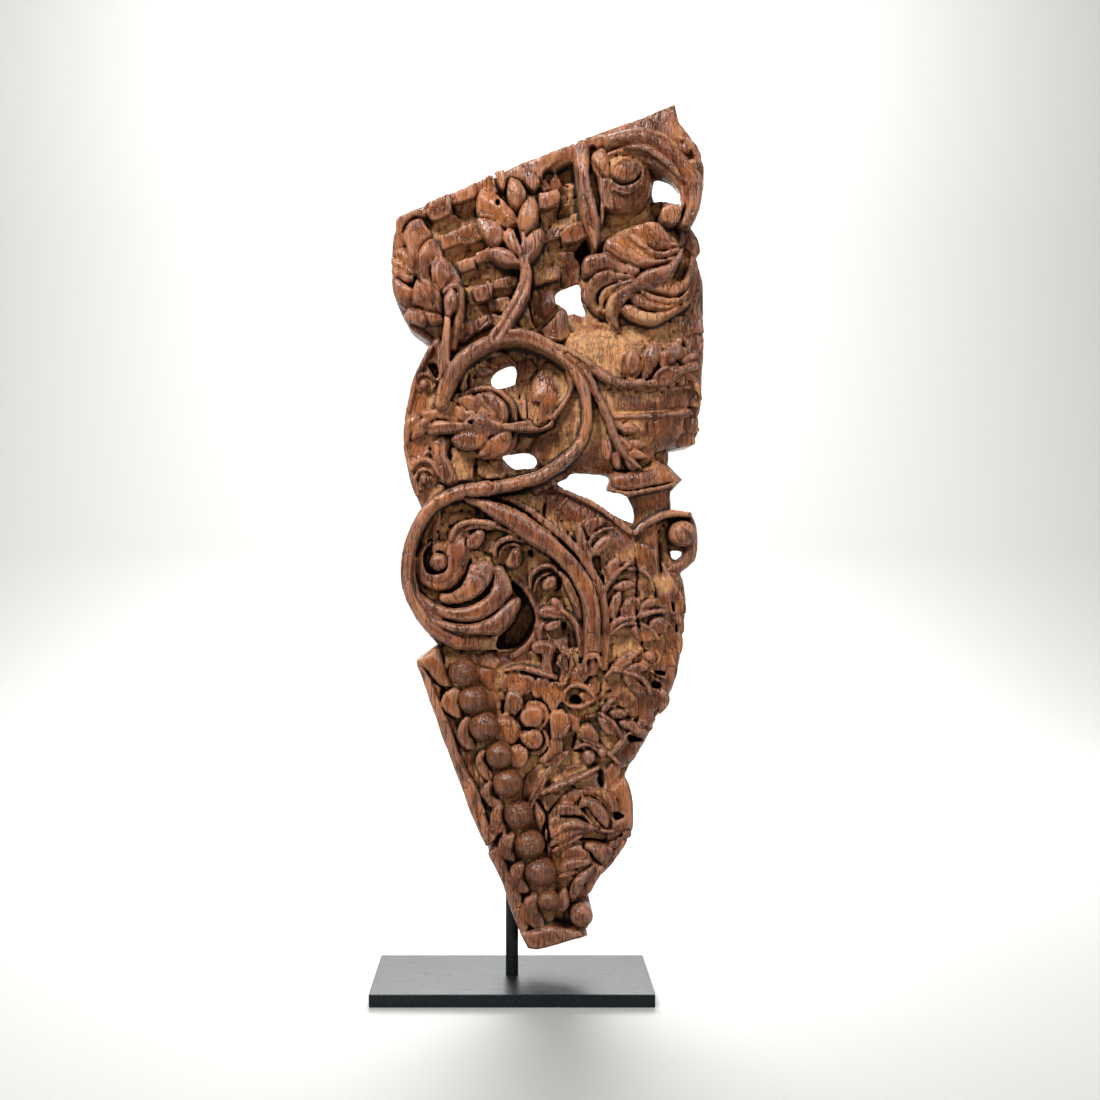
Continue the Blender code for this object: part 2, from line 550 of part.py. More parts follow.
def main():
    """Build the three pieces."""
    for thing in list(bpy.data.objects):
        bpy.data.objects.remove(thing)
    wood = finish_material("oiled carved hardwood", (0.26, 0.095, 0.040), 0.48, 0.0)
    steel = finish_material("black satin steel", (0.012, 0.014, 0.017), 0.38, 0.6)
    build_carving(wood)
    build_rod(steel)
    build_plate(steel)


main()
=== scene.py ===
"""The finished looks of a carved wooden bracket on its rod and base plate.

The carving is one block of wood. It is cut form by form from a field of distances, each form
drawn in the photograph's own 1100 by 1100 frame and set at its own level of the relief: 0 at
the flat back of the block, 1 at its front. Later forms are cut over earlier ones, with a thin
stop cut round each, the way a carver sets one leaf in front of another.
"""
import logging
import math
from dataclasses import dataclass
from enum import Enum
from typing import Protocol, Sequence

import bmesh
import bpy
import numpy as np
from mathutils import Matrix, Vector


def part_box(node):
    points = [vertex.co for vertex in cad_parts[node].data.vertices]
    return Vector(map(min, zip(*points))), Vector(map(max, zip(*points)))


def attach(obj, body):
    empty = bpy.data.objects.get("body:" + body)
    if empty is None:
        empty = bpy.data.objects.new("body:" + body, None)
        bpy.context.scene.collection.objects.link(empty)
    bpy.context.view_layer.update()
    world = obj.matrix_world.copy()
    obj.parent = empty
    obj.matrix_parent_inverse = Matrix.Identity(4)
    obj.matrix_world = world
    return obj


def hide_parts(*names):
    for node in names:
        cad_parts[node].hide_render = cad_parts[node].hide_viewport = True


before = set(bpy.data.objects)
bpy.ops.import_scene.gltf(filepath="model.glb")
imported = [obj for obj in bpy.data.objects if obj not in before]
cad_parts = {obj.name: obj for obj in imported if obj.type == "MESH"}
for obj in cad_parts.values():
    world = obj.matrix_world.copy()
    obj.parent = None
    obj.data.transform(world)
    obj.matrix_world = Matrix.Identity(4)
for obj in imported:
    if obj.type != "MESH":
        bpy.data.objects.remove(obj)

import openvdb

Point = tuple[float, float]
Array = np.ndarray

LOG = logging.getLogger("bracket")

LOWEST_BED = 0.004


class Profile(Enum):
    """The shape of a form's front, seen across its width."""

    ROUND = "round"
    RIDGE = "ridge"
    FLAT = "flat"
    DISHED = "dished"
    RIMMED = "rimmed"
    TWIN = "twin"


def fall(profile: Profile, share: Array) -> Array:
    """How far a profile has fallen from its crest.

    Args:
        profile: The kind of cross-section.
        share: Distance from the middle line, 0 in the middle and 1 at the edge.

    Returns:
        The fall as a share of the form's swell.
    """
    share = np.clip(share, 0.0, 1.0)
    if profile is Profile.ROUND:
        return 1.0 - np.sqrt(np.maximum(1.0 - share ** 2, 0.0))
    if profile is Profile.RIDGE:
        return np.sqrt(share ** 2 + 0.01) - 0.1
    if profile is Profile.FLAT:
        return np.maximum(share - 0.8, 0.0) * 3.0
    if profile is Profile.DISHED:
        return 0.55 * np.maximum(1.0 - (share / 0.8) ** 2, 0.0) + np.maximum(share - 0.86, 0.0) * 3.0
    if profile is Profile.RIMMED:
        groove = np.exp(-((share - 0.68) / 0.10) ** 2)
        return 0.55 * groove + 0.7 * (1.0 - np.sqrt(np.maximum(1.0 - share ** 2, 0.0)))
    groove = np.exp(-(share / 0.22) ** 2)
    return 0.5 * groove + np.maximum(share - 0.55, 0.0) ** 2 * 3.2


@dataclass(frozen=True)
class Drawing:
    """The photograph's frame, and where a point drawn in it lies in the block.

    The eye is level. Its column and row are those of the point straight ahead of it.
    """

    back_y: float
    thickness: float
    column: float = 512.0
    row: float = 548.0
    sight: float = 1442.0
    eye_y: float = -1.3918
    eye_z: float = 0.4231

    def reach(self, level: float | Array) -> float | Array:
        """Metres that one drawn unit spans at a level of the relief."""
        return (self.back_y - level * self.thickness - self.eye_y) / self.sight

    def world(self, across: float | Array, down: float | Array, level: float | Array) -> tuple:
        """World x and z of a drawn point at a level of the relief."""
        reach = self.reach(level)
        return (across - self.column) * reach, self.eye_z - (down - self.row) * reach


def smooth_path(points: Sequence[Point], steps: int = 6, closed: bool = False) -> Array:
    """Points on a smooth curve through a few drawn points.

    Args:
        points: The drawn points.
        steps: Points made for each span.
        closed: Whether the curve runs back to its start.

    Returns:
        An array of drawn points, in order.
    """
    knots = np.array(points, float)
    if len(knots) == 2 and not closed:
        return np.linspace(knots[0], knots[1], steps + 1)
    if closed:
        knots = np.vstack([knots[-1], knots, knots[0], knots[1]])
    else:
        knots = np.vstack([2 * knots[0] - knots[1], knots, 2 * knots[-1] - knots[-2]])
    t = (np.arange(steps) / steps)[:, None]
    spans = []
    for a, b, c, d in zip(knots, knots[1:], knots[2:], knots[3:]):
        spans.append(0.5 * (2 * b + (c - a) * t + (2 * a - 5 * b + 4 * c - d) * t ** 2
                            + (3 * b - a - 3 * c + d) * t ** 3))
    curve = np.vstack(spans)
    return curve if closed else np.vstack([curve, knots[-2]])


def nearest_on_path(path: Array, across: Array, down: Array) -> tuple[Array, Array, Array]:
    """Distance to a path, the side it lies on, and the share of the path's length.

    Args:
        path: Drawn points in order.
        across: Columns' drawn x.
        down: Columns' drawn y.

    Returns:
        Distance, side (1 to the right of the path as drawn, -1 to the left) and share.
    """
    best = np.full(across.shape, 1e9)
    side = np.ones(across.shape)
    share = np.zeros(across.shape)
    lengths = np.hypot(*(path[1:] - path[:-1]).T)
    total = max(lengths.sum(), 1e-6)
    start = 0.0
    for a, b, length in zip(path, path[1:], lengths):
        if length < 1e-6:
            continue
        ax, ay = (b - a) / length
        px = across - a[0]
        py = down - a[1]
        run = np.clip(px * ax + py * ay, 0.0, length)
        gap = np.hypot(px - run * ax, py - run * ay)
        nearer = gap < best
        best = np.where(nearer, gap, best)
        side = np.where(nearer, np.sign(ax * py - ay * px + 1e-9), side)
        share = np.where(nearer, (start + run) / total, share)
        start += length
    return best, side, share


def inside_distance(outline: Array, across: Array, down: Array) -> Array:
    """Signed distance to a closed outline, negative inside it.

    Args:
        outline: The outline's points in order.
        across: Columns' drawn x.
        down: Columns' drawn y.

    Returns:
        The distance in the outline's own units.
    """
    best = np.full(across.shape, 1e9)
    inside = np.zeros(across.shape, bool)
    for a, b in zip(outline, np.roll(outline, -1, axis=0)):
        edge = b - a
        px = across - a[0]
        py = down - a[1]
        t = np.clip((px * edge[0] + py * edge[1]) / max(edge @ edge, 1e-12), 0.0, 1.0)
        best = np.minimum(best, np.hypot(px - t * edge[0], py - t * edge[1]))
        if a[1] != b[1]:
            crosses = (a[1] > down) != (b[1] > down)
            inside ^= crosses & (across < a[0] + (down - a[1]) * edge[0] / edge[1])
    return np.where(inside, -best, best)


def value_noise(shape: tuple[int, int], cell: tuple[float, float], seed: int) -> Array:
    """Smooth random values on a map, from -1 to 1.

    Args:
        shape: Size of the map.
        cell: Size of a cell along each side of the map.
        seed: Seed of the random values.

    Returns:
        The map of values.
    """
    rng = np.random.default_rng(seed)
    counts = [int(n / c) + 3 for n, c in zip(shape, cell)]
    knots = rng.uniform(-1.0, 1.0, counts)
    i = np.arange(shape[0]) / cell[0]
    k = np.arange(shape[1]) / cell[1]
    i0, k0 = i.astype(int), k.astype(int)
    u, v = i - i0, k - k0
    u, v = (u * u * (3 - 2 * u))[:, None], (v * v * (3 - 2 * v))[None, :]
    grid = [[knots[np.ix_(i0 + di, k0 + dk)] for dk in (0, 1)] for di in (0, 1)]
    low = grid[0][0] * (1 - v) + grid[0][1] * v
    high = grid[1][0] * (1 - v) + grid[1][1] * v
    return (low * (1 - u) + high * u).astype(np.float32)


def blurred(chart: Array, radius: int) -> Array:
    """A map blurred by three box averages, in both directions.

    Args:
        chart: The map.
        radius: Cells that each average reaches to either side.

    Returns:
        The blurred map.
    """
    out = chart.astype(np.float64)
    for axis in (0, 1):
        for _ in range(3):
            padded = np.pad(out, [(radius + 1, radius) if a == axis else (0, 0) for a in (0, 1)],
                            mode="edge")
            total = np.cumsum(padded, axis=axis)
            width = 2 * radius + 1
            ahead = np.take(total, range(width, total.shape[axis]), axis=axis)
            behind = np.take(total, range(0, total.shape[axis] - width), axis=axis)
            out = (ahead - behind) / width
    return out


class WoodBlock:
    """The block of wood: a field of signed distances, negative inside the wood."""

    def __init__(self, drawing: Drawing, low: Sequence[float], high: Sequence[float], step: float) -> None:
        """Start with no wood in the box.

        Args:
            drawing: The frame that the forms are drawn in.
            low: Lowest corner of the box.
            high: Highest corner of the box.
            step: Size of a cell of the field.
        """
        self.drawing = drawing
        self.step = step
        margin = 3 * step
        self.low = np.array(low) - margin
        counts = [int((b - a + 2 * margin) / step) + 1 for a, b in zip(low, high)]
        self.xs, self.ys, self.zs = (self.low[i] + np.arange(n) * step for i, n in enumerate(counts))
        self.far = 4 * step
        self.tight = mm(0.50)
        self.field = np.full(counts, self.far, np.float32)
        self.rise = (drawing.back_y - self.ys).astype(np.float32)[None, :, None]
        cell = 0.022 / step
        self.warp = [value_noise((counts[0], counts[2]), (cell, cell), seed) * 0.9 for seed in (11, 12)]

    def columns(self, box: Sequence[float], level: float, margin: float) -> tuple[slice, slice, Array, Array]:
        """The columns of cells round a drawn box.

        Args:
            box: Left, top, right and bottom in drawn units.
            level: Level of the relief that the box is drawn at.
            margin: Drawn units added all round.

        Returns:
            Slices along x and z, and the columns' drawn places.
        """
        left, top = self.drawing.world(box[0] - margin, box[1] - margin, level)
        right, bottom = self.drawing.world(box[2] + margin, box[3] + margin, level)
        i0, i1 = np.searchsorted(self.xs, (left, right))
        k0, k1 = np.searchsorted(self.zs, (bottom, top))
        i, k = slice(int(i0), int(i1)), slice(int(k0), int(k1))
        reach = self.drawing.reach(level)
        across = self.drawing.column + self.xs[i] / reach
        down = self.drawing.row - (self.zs[k] - self.drawing.eye_z) / reach
        across, down = np.meshgrid(across, down, indexing="ij")
        return i, k, across + self.warp[0][i, k], down + self.warp[1][i, k]

    def clear(self, i: slice, k: slice, inside: Array, bed: float) -> None:
        """Cut the wood away inside a footprint, down to a bed."""
        here = self.field[i, :, k]
        cut = np.minimum(-inside.astype(np.float32)[:, None, :] - np.float32(self.tight),
                         self.rise - np.float32(bed))
        np.maximum(here, cut, out=here)

    def add(self, i: slice, k: slice, inside: Array, top: Array, floor: float) -> None:
        """Leave wood standing inside a footprint, between a floor and a top."""
        here = self.field[i, :, k]
        solid = np.maximum(inside.astype(np.float32)[:, None, :],
                           self.rise - top.astype(np.float32)[:, None, :])
        solid = np.maximum(solid, np.float32(floor) - self.rise)
        np.minimum(here, solid, out=here)

    def stand(self, columns: tuple[slice, slice], inside: Array, top: Array, cut: tuple[float, float],
              floor: float) -> None:
        """Set a form in the block, with a stop cut round it where it has one.

        Args:
            columns: Slices along x and z.
            inside: Signed distance to the form's footprint in metres.
            top: The form's front, in metres from the back.
            cut: The stop cut's width and its bed, in metres.
            floor: Where the form's own wood starts, in metres from the back.
        """
        width, bed = cut
        if width > 0:
            self.clear(*columns, inside - width, max(bed, LOWEST_BED))
        self.add(*columns, inside, top, floor)

    def sink(self, i: slice, k: slice, depth: Array, low: float) -> None:
        """Lower the surfaces in front of a level by a small depth."""
        front = (self.rise > np.float32(low)).astype(np.float32)
        self.field[i, :, k] += depth.astype(np.float32)[:, None, :] * front

    def weather(self, depth: float) -> None:
        """Roughen the front with tool marks and long worn furrows.

        Args:
            depth: Greatest height of the marks, in metres.
        """
        counts = (self.field.shape[0], self.field.shape[2])
        marks = value_noise(counts, (mm(4) / self.step, mm(7) / self.step), 21)
        furrows = value_noise(counts, (mm(2.2) / self.step, mm(22) / self.step), 22)
        dents = np.clip(value_noise(counts, (mm(9) / self.step, mm(9) / self.step), 23) - 0.35, 0, 1)
        worn = depth * (0.5 * marks + 0.6 * furrows + 1.2 * dents) - mm(0.08)
        front = self.front_map()
        sunk = np.clip((blurred(front, int(mm(9) / self.step)) - front) / mm(7) + 0.15, 0, 1) * (front > 0)
        cuts = np.abs(value_noise(counts, (mm(5) / self.step, mm(9) / self.step), 24))
        gouges = mm(1.5) * np.clip(1 - cuts / 0.22, 0, 1) - mm(0.5) * np.clip(cuts - 0.3, 0, 1)
        worn += gouges * blurred(sunk, max(int(mm(1.5) / self.step), 1))
        self.field += worn.astype(np.float32)[:, None, :]

    def keep_inside(self, low: Sequence[float], high: Sequence[float]) -> None:
        """Trim the wood to a box.

        Args:
            low: Lowest corner.
            high: Highest corner.
        """
        for axis, places in enumerate((self.xs, self.ys, self.zs)):
            beyond = np.maximum(low[axis] - places, places - high[axis]).astype(np.float32)
            ahead = np.moveaxis(self.field, axis, -1)
            np.maximum(ahead, beyond, out=ahead)

    def soften(self, times: int) -> None:
        """Wear the sharp edges by averaging each cell with its neighbours.

        Args:
            times: How often the averages are taken.
        """
        np.clip(self.field, -self.far, self.far, out=self.field)
        for _ in range(times):
            for axis in range(3):
                ahead = np.moveaxis(self.field, axis, 0)
                mean = ahead[1:-1] * 0.5 + (ahead[:-2] + ahead[2:]) * 0.25
                ahead[1:-1] = mean

    def front_map(self) -> Array:
        """Height of the foremost wood in each column, 0 where there is none."""
        wood = self.field < 0
        first = np.argmax(wood, axis=1)
        height = self.drawing.back_y - self.ys[first]
        return np.where(wood.any(axis=1), height, 0.0)

    def mesh(self, name: str) -> bpy.types.Object:
        """Turn the field into a mesh object.

        Args:
            name: Name of the object and its mesh.

        Returns:
            The object, linked to the scene.
        """
        grid = openvdb.FloatGrid(self.far)
        grid.copyFromArray(self.field)
        points, _, quads = grid.convertToPolygons(isovalue=0.0, adaptivity=0.0)
        points = points * self.step + self.low
        data = bpy.data.meshes.new(name)
        data.vertices.add(len(points))
        data.vertices.foreach_set("co", points.astype(np.float32).ravel())
        data.loops.add(4 * len(quads))
        data.loops.foreach_set("vertex_index", quads.astype(np.int32).ravel())
        data.polygons.add(len(quads))
        data.polygons.foreach_set("loop_start", np.arange(0, 4 * len(quads), 4, dtype=np.int32))
        data.update(calc_edges=True)
        thing = bpy.data.objects.new(name, data)
        bpy.context.scene.collection.objects.link(thing)
        return thing


def mm(value: float) -> float:
    """Millimetres in metres."""
    return value / 1000.0


class Form(Protocol):
    """Anything that can be cut in the block."""

    def carve(self, block: WoodBlock) -> None:
        """Cut the form in the block."""


class Part(Protocol):
    """A region of the carving, made of forms."""

    def forms(self) -> list[Form]:
        """The region's forms, in the order that they are cut."""


@dataclass(frozen=True)
class Band:
    """A form that follows a path, such as a vine, a rim or a leaf's blade.

    Widths are in drawn units and crests in levels, both evenly spaced along the path. The
    swell is the fall from crest to edge in millimetres, and lean tilts the front across.
    """

    path: tuple[Point, ...]
    widths: tuple[float, ...]
    crest: tuple[float, ...]
    profile: Profile = Profile.ROUND
    swell: float = 6.0
    gap: float = 1.3
    drop: float = 0.15
    floor: float = 0.0
    lean: float = 0.0

    def carve(self, block: WoodBlock) -> None:
        """Cut the form in the block.

        Args:
            block: The wood that it is cut in.
        """
        level = sum(self.crest) / len(self.crest)
        path = smooth_path(self.path)
        margin = max(self.widths) / 2 + 4
        box = (*path.min(axis=0), *path.max(axis=0))
        i, k, across, down = block.columns(box, level, margin)
        dist, side, share = nearest_on_path(path, across, down)
        half = np.interp(share, np.linspace(0, 1, len(self.widths)), self.widths) / 2
        crest = np.interp(share, np.linspace(0, 1, len(self.crest)), self.crest)
        across_share = dist / np.maximum(half, 0.5)
        reach = block.drawing.reach(level)
        narrow = np.clip(half / (max(self.widths) / 2), 0.25, 1.0)
        top = crest * block.drawing.thickness - fall(self.profile, across_share) * mm(self.swell) * narrow
        top -= mm(self.lean) * side * np.clip(across_share, 0, 1) * narrow
        bed = (min(self.crest) - self.drop) * block.drawing.thickness
        block.stand((i, k), (dist - half) * reach, top, (self.gap * reach, bed),
                    self.floor * block.drawing.thickness)


@dataclass(frozen=True)
class Mass:
    """A swelling form with a closed outline, rising from its rim to its crown."""

    outline: tuple[Point, ...]
    rim: float
    crown: float
    shoulder: float = 18.0
    gap: float = 0.0
    drop: float = 0.12
    floor: float = 0.0
    tilt: Point = (0.0, 0.0)
    smooth: bool = True

    def carve(self, block: WoodBlock) -> None:
        """Cut the form in the block.

        Args:
            block: The wood that it is cut in.
        """
        level = (self.rim + self.crown) / 2
        outline = smooth_path(self.outline, 4, closed=True) if self.smooth else np.array(self.outline, float)
        box = (*outline.min(axis=0), *outline.max(axis=0))
        i, k, across, down = block.columns(box, level, 4)
        dist = inside_distance(outline, across, down)
        reach = block.drawing.reach(level)
        way_in = np.clip(-dist / self.shoulder, 0, 1)
        top = self.rim + (self.crown - self.rim) * np.sqrt(1 - (1 - way_in) ** 2)
        middle = outline.mean(axis=0)
        top = top + self.tilt[0] * (across - middle[0]) + self.tilt[1] * (down - middle[1])
        bed = (self.rim - self.drop) * block.drawing.thickness
        block.stand((i, k), dist * reach, top * block.drawing.thickness, (self.gap * reach, bed),
                    self.floor * block.drawing.thickness)


VEINED_LENGTHS = (9, 45)
VEINED_REACH = 3.2


def veins(away: Array, run: Array, out: Array) -> Array:
    """Depth of a leaf's midrib line and of the slanted strokes to both sides of it.

    Args:
        away: Drawn distance from the spine.
        run: Drawn distance along the spine.
        out: Share of the way from the spine to the edge.

    Returns:
        The depth in metres.
    """
    midrib = mm(0.9) * np.exp(-(away / 0.8) ** 2)
    stroke = np.abs((run - away * 0.9) / 6.0 % 1 - 0.5) * 2
    return midrib + mm(0.5) * np.clip((stroke - 0.80) / 0.2, 0, 1) * (out < 0.85)


@dataclass(frozen=True)
class Petal:
    """A form with its own drawn outline, highest along a spine drawn inside it.

    The fall from the spine to the outline follows the profile, whatever the distance between
    them, so a spine near one side makes that side steep and the other a long slope.
    """

    outline: tuple[Point, ...]
    spine: tuple[Point, ...]
    crest: tuple[float, ...]
    profile: Profile = Profile.ROUND
    swell: float = 6.0
    gap: float = 1.3
    drop: float = 0.15
    floor: float = 0.0

    def carve(self, block: WoodBlock) -> None:
        """Cut the form in the block.

        Args:
            block: The wood that it is cut in.
        """
        level = sum(self.crest) / len(self.crest)
        outline = smooth_path(self.outline, 4, closed=True)
        box = (*outline.min(axis=0), *outline.max(axis=0))
        i, k, across, down = block.columns(box, level, 4)
        edge = inside_distance(outline, across, down)
        spine = smooth_path(self.spine)
        away, _, share = nearest_on_path(spine, across, down)
        crest = np.interp(share, np.linspace(0, 1, len(self.crest)), self.crest)
        out = away / np.maximum(away - edge, 0.1)
        fallen = fall(self.profile, out ** 1.5 if self.profile is Profile.ROUND else out)
        top = crest * block.drawing.thickness - fallen * mm(self.swell)
        length = float(np.hypot(*np.diff(spine, axis=0).T).sum())
        if VEINED_LENGTHS[0] < length < VEINED_LENGTHS[1] and edge.min() < -VEINED_REACH:
            top -= veins(away, share * length, out)
        reach = block.drawing.reach(level)
        bed = (min(self.crest) - self.drop) * block.drawing.thickness
        block.stand((i, k), edge * reach, top, (self.gap * reach, bed), self.floor * block.drawing.thickness)


@dataclass(frozen=True)
class Dome:
    """A round or oval boss."""

    middle: Point
    radius: float
    crest: float
    swell: float = 8.0
    stretch: float = 1.0
    turn: float = 0.0
    gap: float = 1.3
    drop: float = 0.14
    floor: float = 0.0
    dimple: float = 0.0

    def carve(self, block: WoodBlock) -> None:
        """Cut the form in the block.

        Args:
            block: The wood that it is cut in.
        """
        size = self.radius * max(self.stretch, 1.0)
        x, y = self.middle
        i, k, across, down = block.columns((x - size, y - size, x + size, y + size), self.crest, 4)
        turn = math.radians(self.turn)
        u = ((across - x) * math.cos(turn) + (down - y) * math.sin(turn)) / self.stretch
        v = -(across - x) * math.sin(turn) + (down - y) * math.cos(turn)
        dist = np.hypot(u, v)
        reach = block.drawing.reach(self.crest)
        share = dist / self.radius
        top = self.crest * block.drawing.thickness - fall(Profile.ROUND, share) * mm(self.swell)
        top -= mm(self.dimple) * np.exp(-(share / 0.35) ** 2)
        bed = (self.crest - self.drop) * block.drawing.thickness
        block.stand((i, k), (dist - self.radius) * reach, top, (self.gap * reach, bed),
                    self.floor * block.drawing.thickness)


FACET_GROWTH = 1.3
FACET_SHOULDER = 1.3
FACET_ROUNDING = 0.010


def facet(outline: tuple[Point, ...], level: float, tilt: Point = (0.0, 0.0), gap: float = 0.0,
          drop: float = 0.12) -> Mass:
    """A flat cut face with sharp corners.

    Args:
        outline: Its corners.
        level: Its level in the middle.
        tilt: Levels that it rises by for each drawn unit across and down.
        gap: Width of the stop cut round it.
        drop: Depth of the stop cut as a level.

    Returns:
        The mass that makes the face.
    """
    middle = np.mean(outline, axis=0)
    grown = tuple(
        (x + FACET_GROWTH * (x - middle[0]) / reach, y + FACET_GROWTH * (y - middle[1]) / reach)
        for x, y in outline
        for reach in (max(math.hypot(x - middle[0], y - middle[1]), 1.0),)
    )
    return Mass(grown, level - FACET_ROUNDING, level, FACET_SHOULDER, gap, drop, 0.0, tilt, False)


@dataclass(frozen=True)
class Groove:
    """A scored line: a chisel's stroke, a crack or a joint."""

    path: tuple[Point, ...]
    width: float
    depth: float
    level: float = 0.7
    low: float = 0.3

    def carve(self, block: WoodBlock) -> None:
        """Sink the line into what lies there already.

        Args:
            block: The wood that it is scored in.
        """
        path = smooth_path(self.path)
        box = (*path.min(axis=0), *path.max(axis=0))
        i, k, across, down = block.columns(box, self.level, self.width + 2)
        dist, _, share = nearest_on_path(path, across, down)
        ends = np.clip(np.minimum(share, 1 - share) * 8, 0.35, 1.0)
        depth = mm(self.depth) * ends * np.clip(1 - dist / (self.width / 2), 0, 1)
        block.sink(i, k, depth, self.low * block.drawing.thickness)


@dataclass(frozen=True)
class Opening:
    """A hole right through the block, or a pocket down to a floor, along the lines of sight."""

    outline: tuple[Point, ...]
    floor: float = -1.0

    def carve(self, block: WoodBlock) -> None:
        """Cut the opening.

        Args:
            block: The wood that it is cut in.
        """
        drawing = block.drawing
        outline = smooth_path(self.outline, 3, closed=True)
        box = (*outline.min(axis=0), *outline.max(axis=0))
        for row, y in enumerate(block.ys):
            level = (drawing.back_y - y) / drawing.thickness
            if level < self.floor:
                continue
            i, k, across, down = block.columns(box, level, 5)
            cut = -inside_distance(outline, across, down) * drawing.reach(level)
            if self.floor >= 0:
                cut = np.minimum(cut, (level - self.floor) * drawing.thickness)
            here = block.field[i, row, k]
            np.maximum(here, cut.astype(np.float32), out=here)


@dataclass(frozen=True)
class BlockShape:
    """The block itself: its broken outline, its ground and its openings."""

    ground: float = 0.50
    runs: tuple[tuple[float, tuple[Point, ...]], ...] = (
        (0.72, ((397, 217.5), (425, 203), (493, 172), (575, 141), (674, 104.5), (677, 105))),
        (0.80, ((678, 120), (684, 128), (692, 135), (696, 147), (703, 161), (704, 188), (699, 211),
                (690, 224))),
        (0.62, ((700, 250), (697, 257), (704, 279), (705, 313), (701, 317), (701, 404))),
        (0.62, ((699, 432), (695, 444), (678, 448), (667, 451), (667, 463), (684, 479))),
        (0.55, ((675, 487), (671, 492), (671, 510), (689, 512), (698, 532), (697, 546))),
        (0.55, ((692, 560), (681, 573), (685, 592), (686, 612), (683, 638), (676, 656))),
        (0.60, ((677, 676), (668, 692), (668, 702), (655, 722), (640, 746), (631, 764))),
        (0.65, ((626, 778), (632, 795), (633, 814), (631, 838), (624, 845), (613, 863))),
        (0.75, ((596, 881), (588, 897), (591, 909), (593, 920), (589, 934), (568, 942))),
        (0.80, ((537, 950), (528, 949), (519, 933), (507, 899), (487, 850))),
        (0.82, ((470, 810), (455, 769), (415.5, 661), (437, 647))),
        (0.80, ((425, 634), (413, 619), (405, 599), (401, 568), (404, 545), (412, 524))),
        (0.62, ((421, 508), (413, 490), (407, 468), (403, 436), (405, 412), (410, 388))),
        (0.62, ((415, 374), (423, 360), (430, 344), (419, 335), (408, 325), (403, 312))),
        (0.66, ((396, 297), (391.5, 272), (391.5, 250), (395, 230))),
    )
    holes: tuple[tuple[Point, ...], ...] = (
        ((556, 294), (564, 289), (579, 284.5), (580.5, 300), (585, 313), (583, 317), (574, 314.5),
         (568, 316.5), (566, 311), (556, 302)),
        ((491, 382), (497, 372), (515, 366), (516, 382), (509, 386), (496, 388)),
        ((502, 458), (507, 455), (530, 454), (537, 465), (519, 470), (510, 467)),
        ((653.5, 181), (669, 184.5), (677, 194), (679, 205), (663, 201), (653, 201.5)),
        ((558, 485), (566, 479), (573, 474), (608, 477), (606, 491), (627, 497), (634, 522),
         (613, 515), (595, 502)),
        ((670, 551), (681, 551.5), (680, 556), (674, 560)),
    )
    pocket: tuple[Point, ...] = (
        (511, 581), (518, 586), (527, 595), (534, 608), (535, 620), (530, 636), (516, 648), (498, 650),
        (498, 638), (512, 624), (519, 611), (521, 599), (513, 591),
    )
    pocket_floor: float = 0.12

    def lay(self, block: WoodBlock) -> None:
        """Stand the plain block up to its ground.

        Args:
            block: The field that the wood is laid in.
        """
        drawing = block.drawing
        corners = []
        for level, run in self.runs:
            corners += [drawing.world(*point, level) for point in run]
        outline = np.array(corners)
        across, up = np.meshgrid(block.xs, block.zs, indexing="ij")
        inside = inside_distance(outline, across, up)
        shape = inside.shape
        top = self.ground * drawing.thickness + mm(2.0) * value_noise(shape, (9, 22), 5)
        adze = mm(0.7) + mm(0.6) * value_noise(shape, (14, 34), 6)
        here = block.field
        solid = np.maximum(inside.astype(np.float32)[:, None, :], block.rise - top[:, None, :])
        solid = np.maximum(solid, adze.astype(np.float32)[:, None, :] - block.rise)
        np.minimum(here, solid, out=here)

    def open_up(self, block: WoodBlock) -> None:
        """Cut the holes and the deep pocket."""
        for hole in self.holes:
            Opening(hole).carve(block)
        Opening(self.pocket, self.pocket_floor).carve(block)


ROUND, RIDGE, FLAT = Profile.ROUND, Profile.RIDGE, Profile.FLAT
DISHED, RIMMED, TWIN = Profile.DISHED, Profile.RIMMED, Profile.TWIN


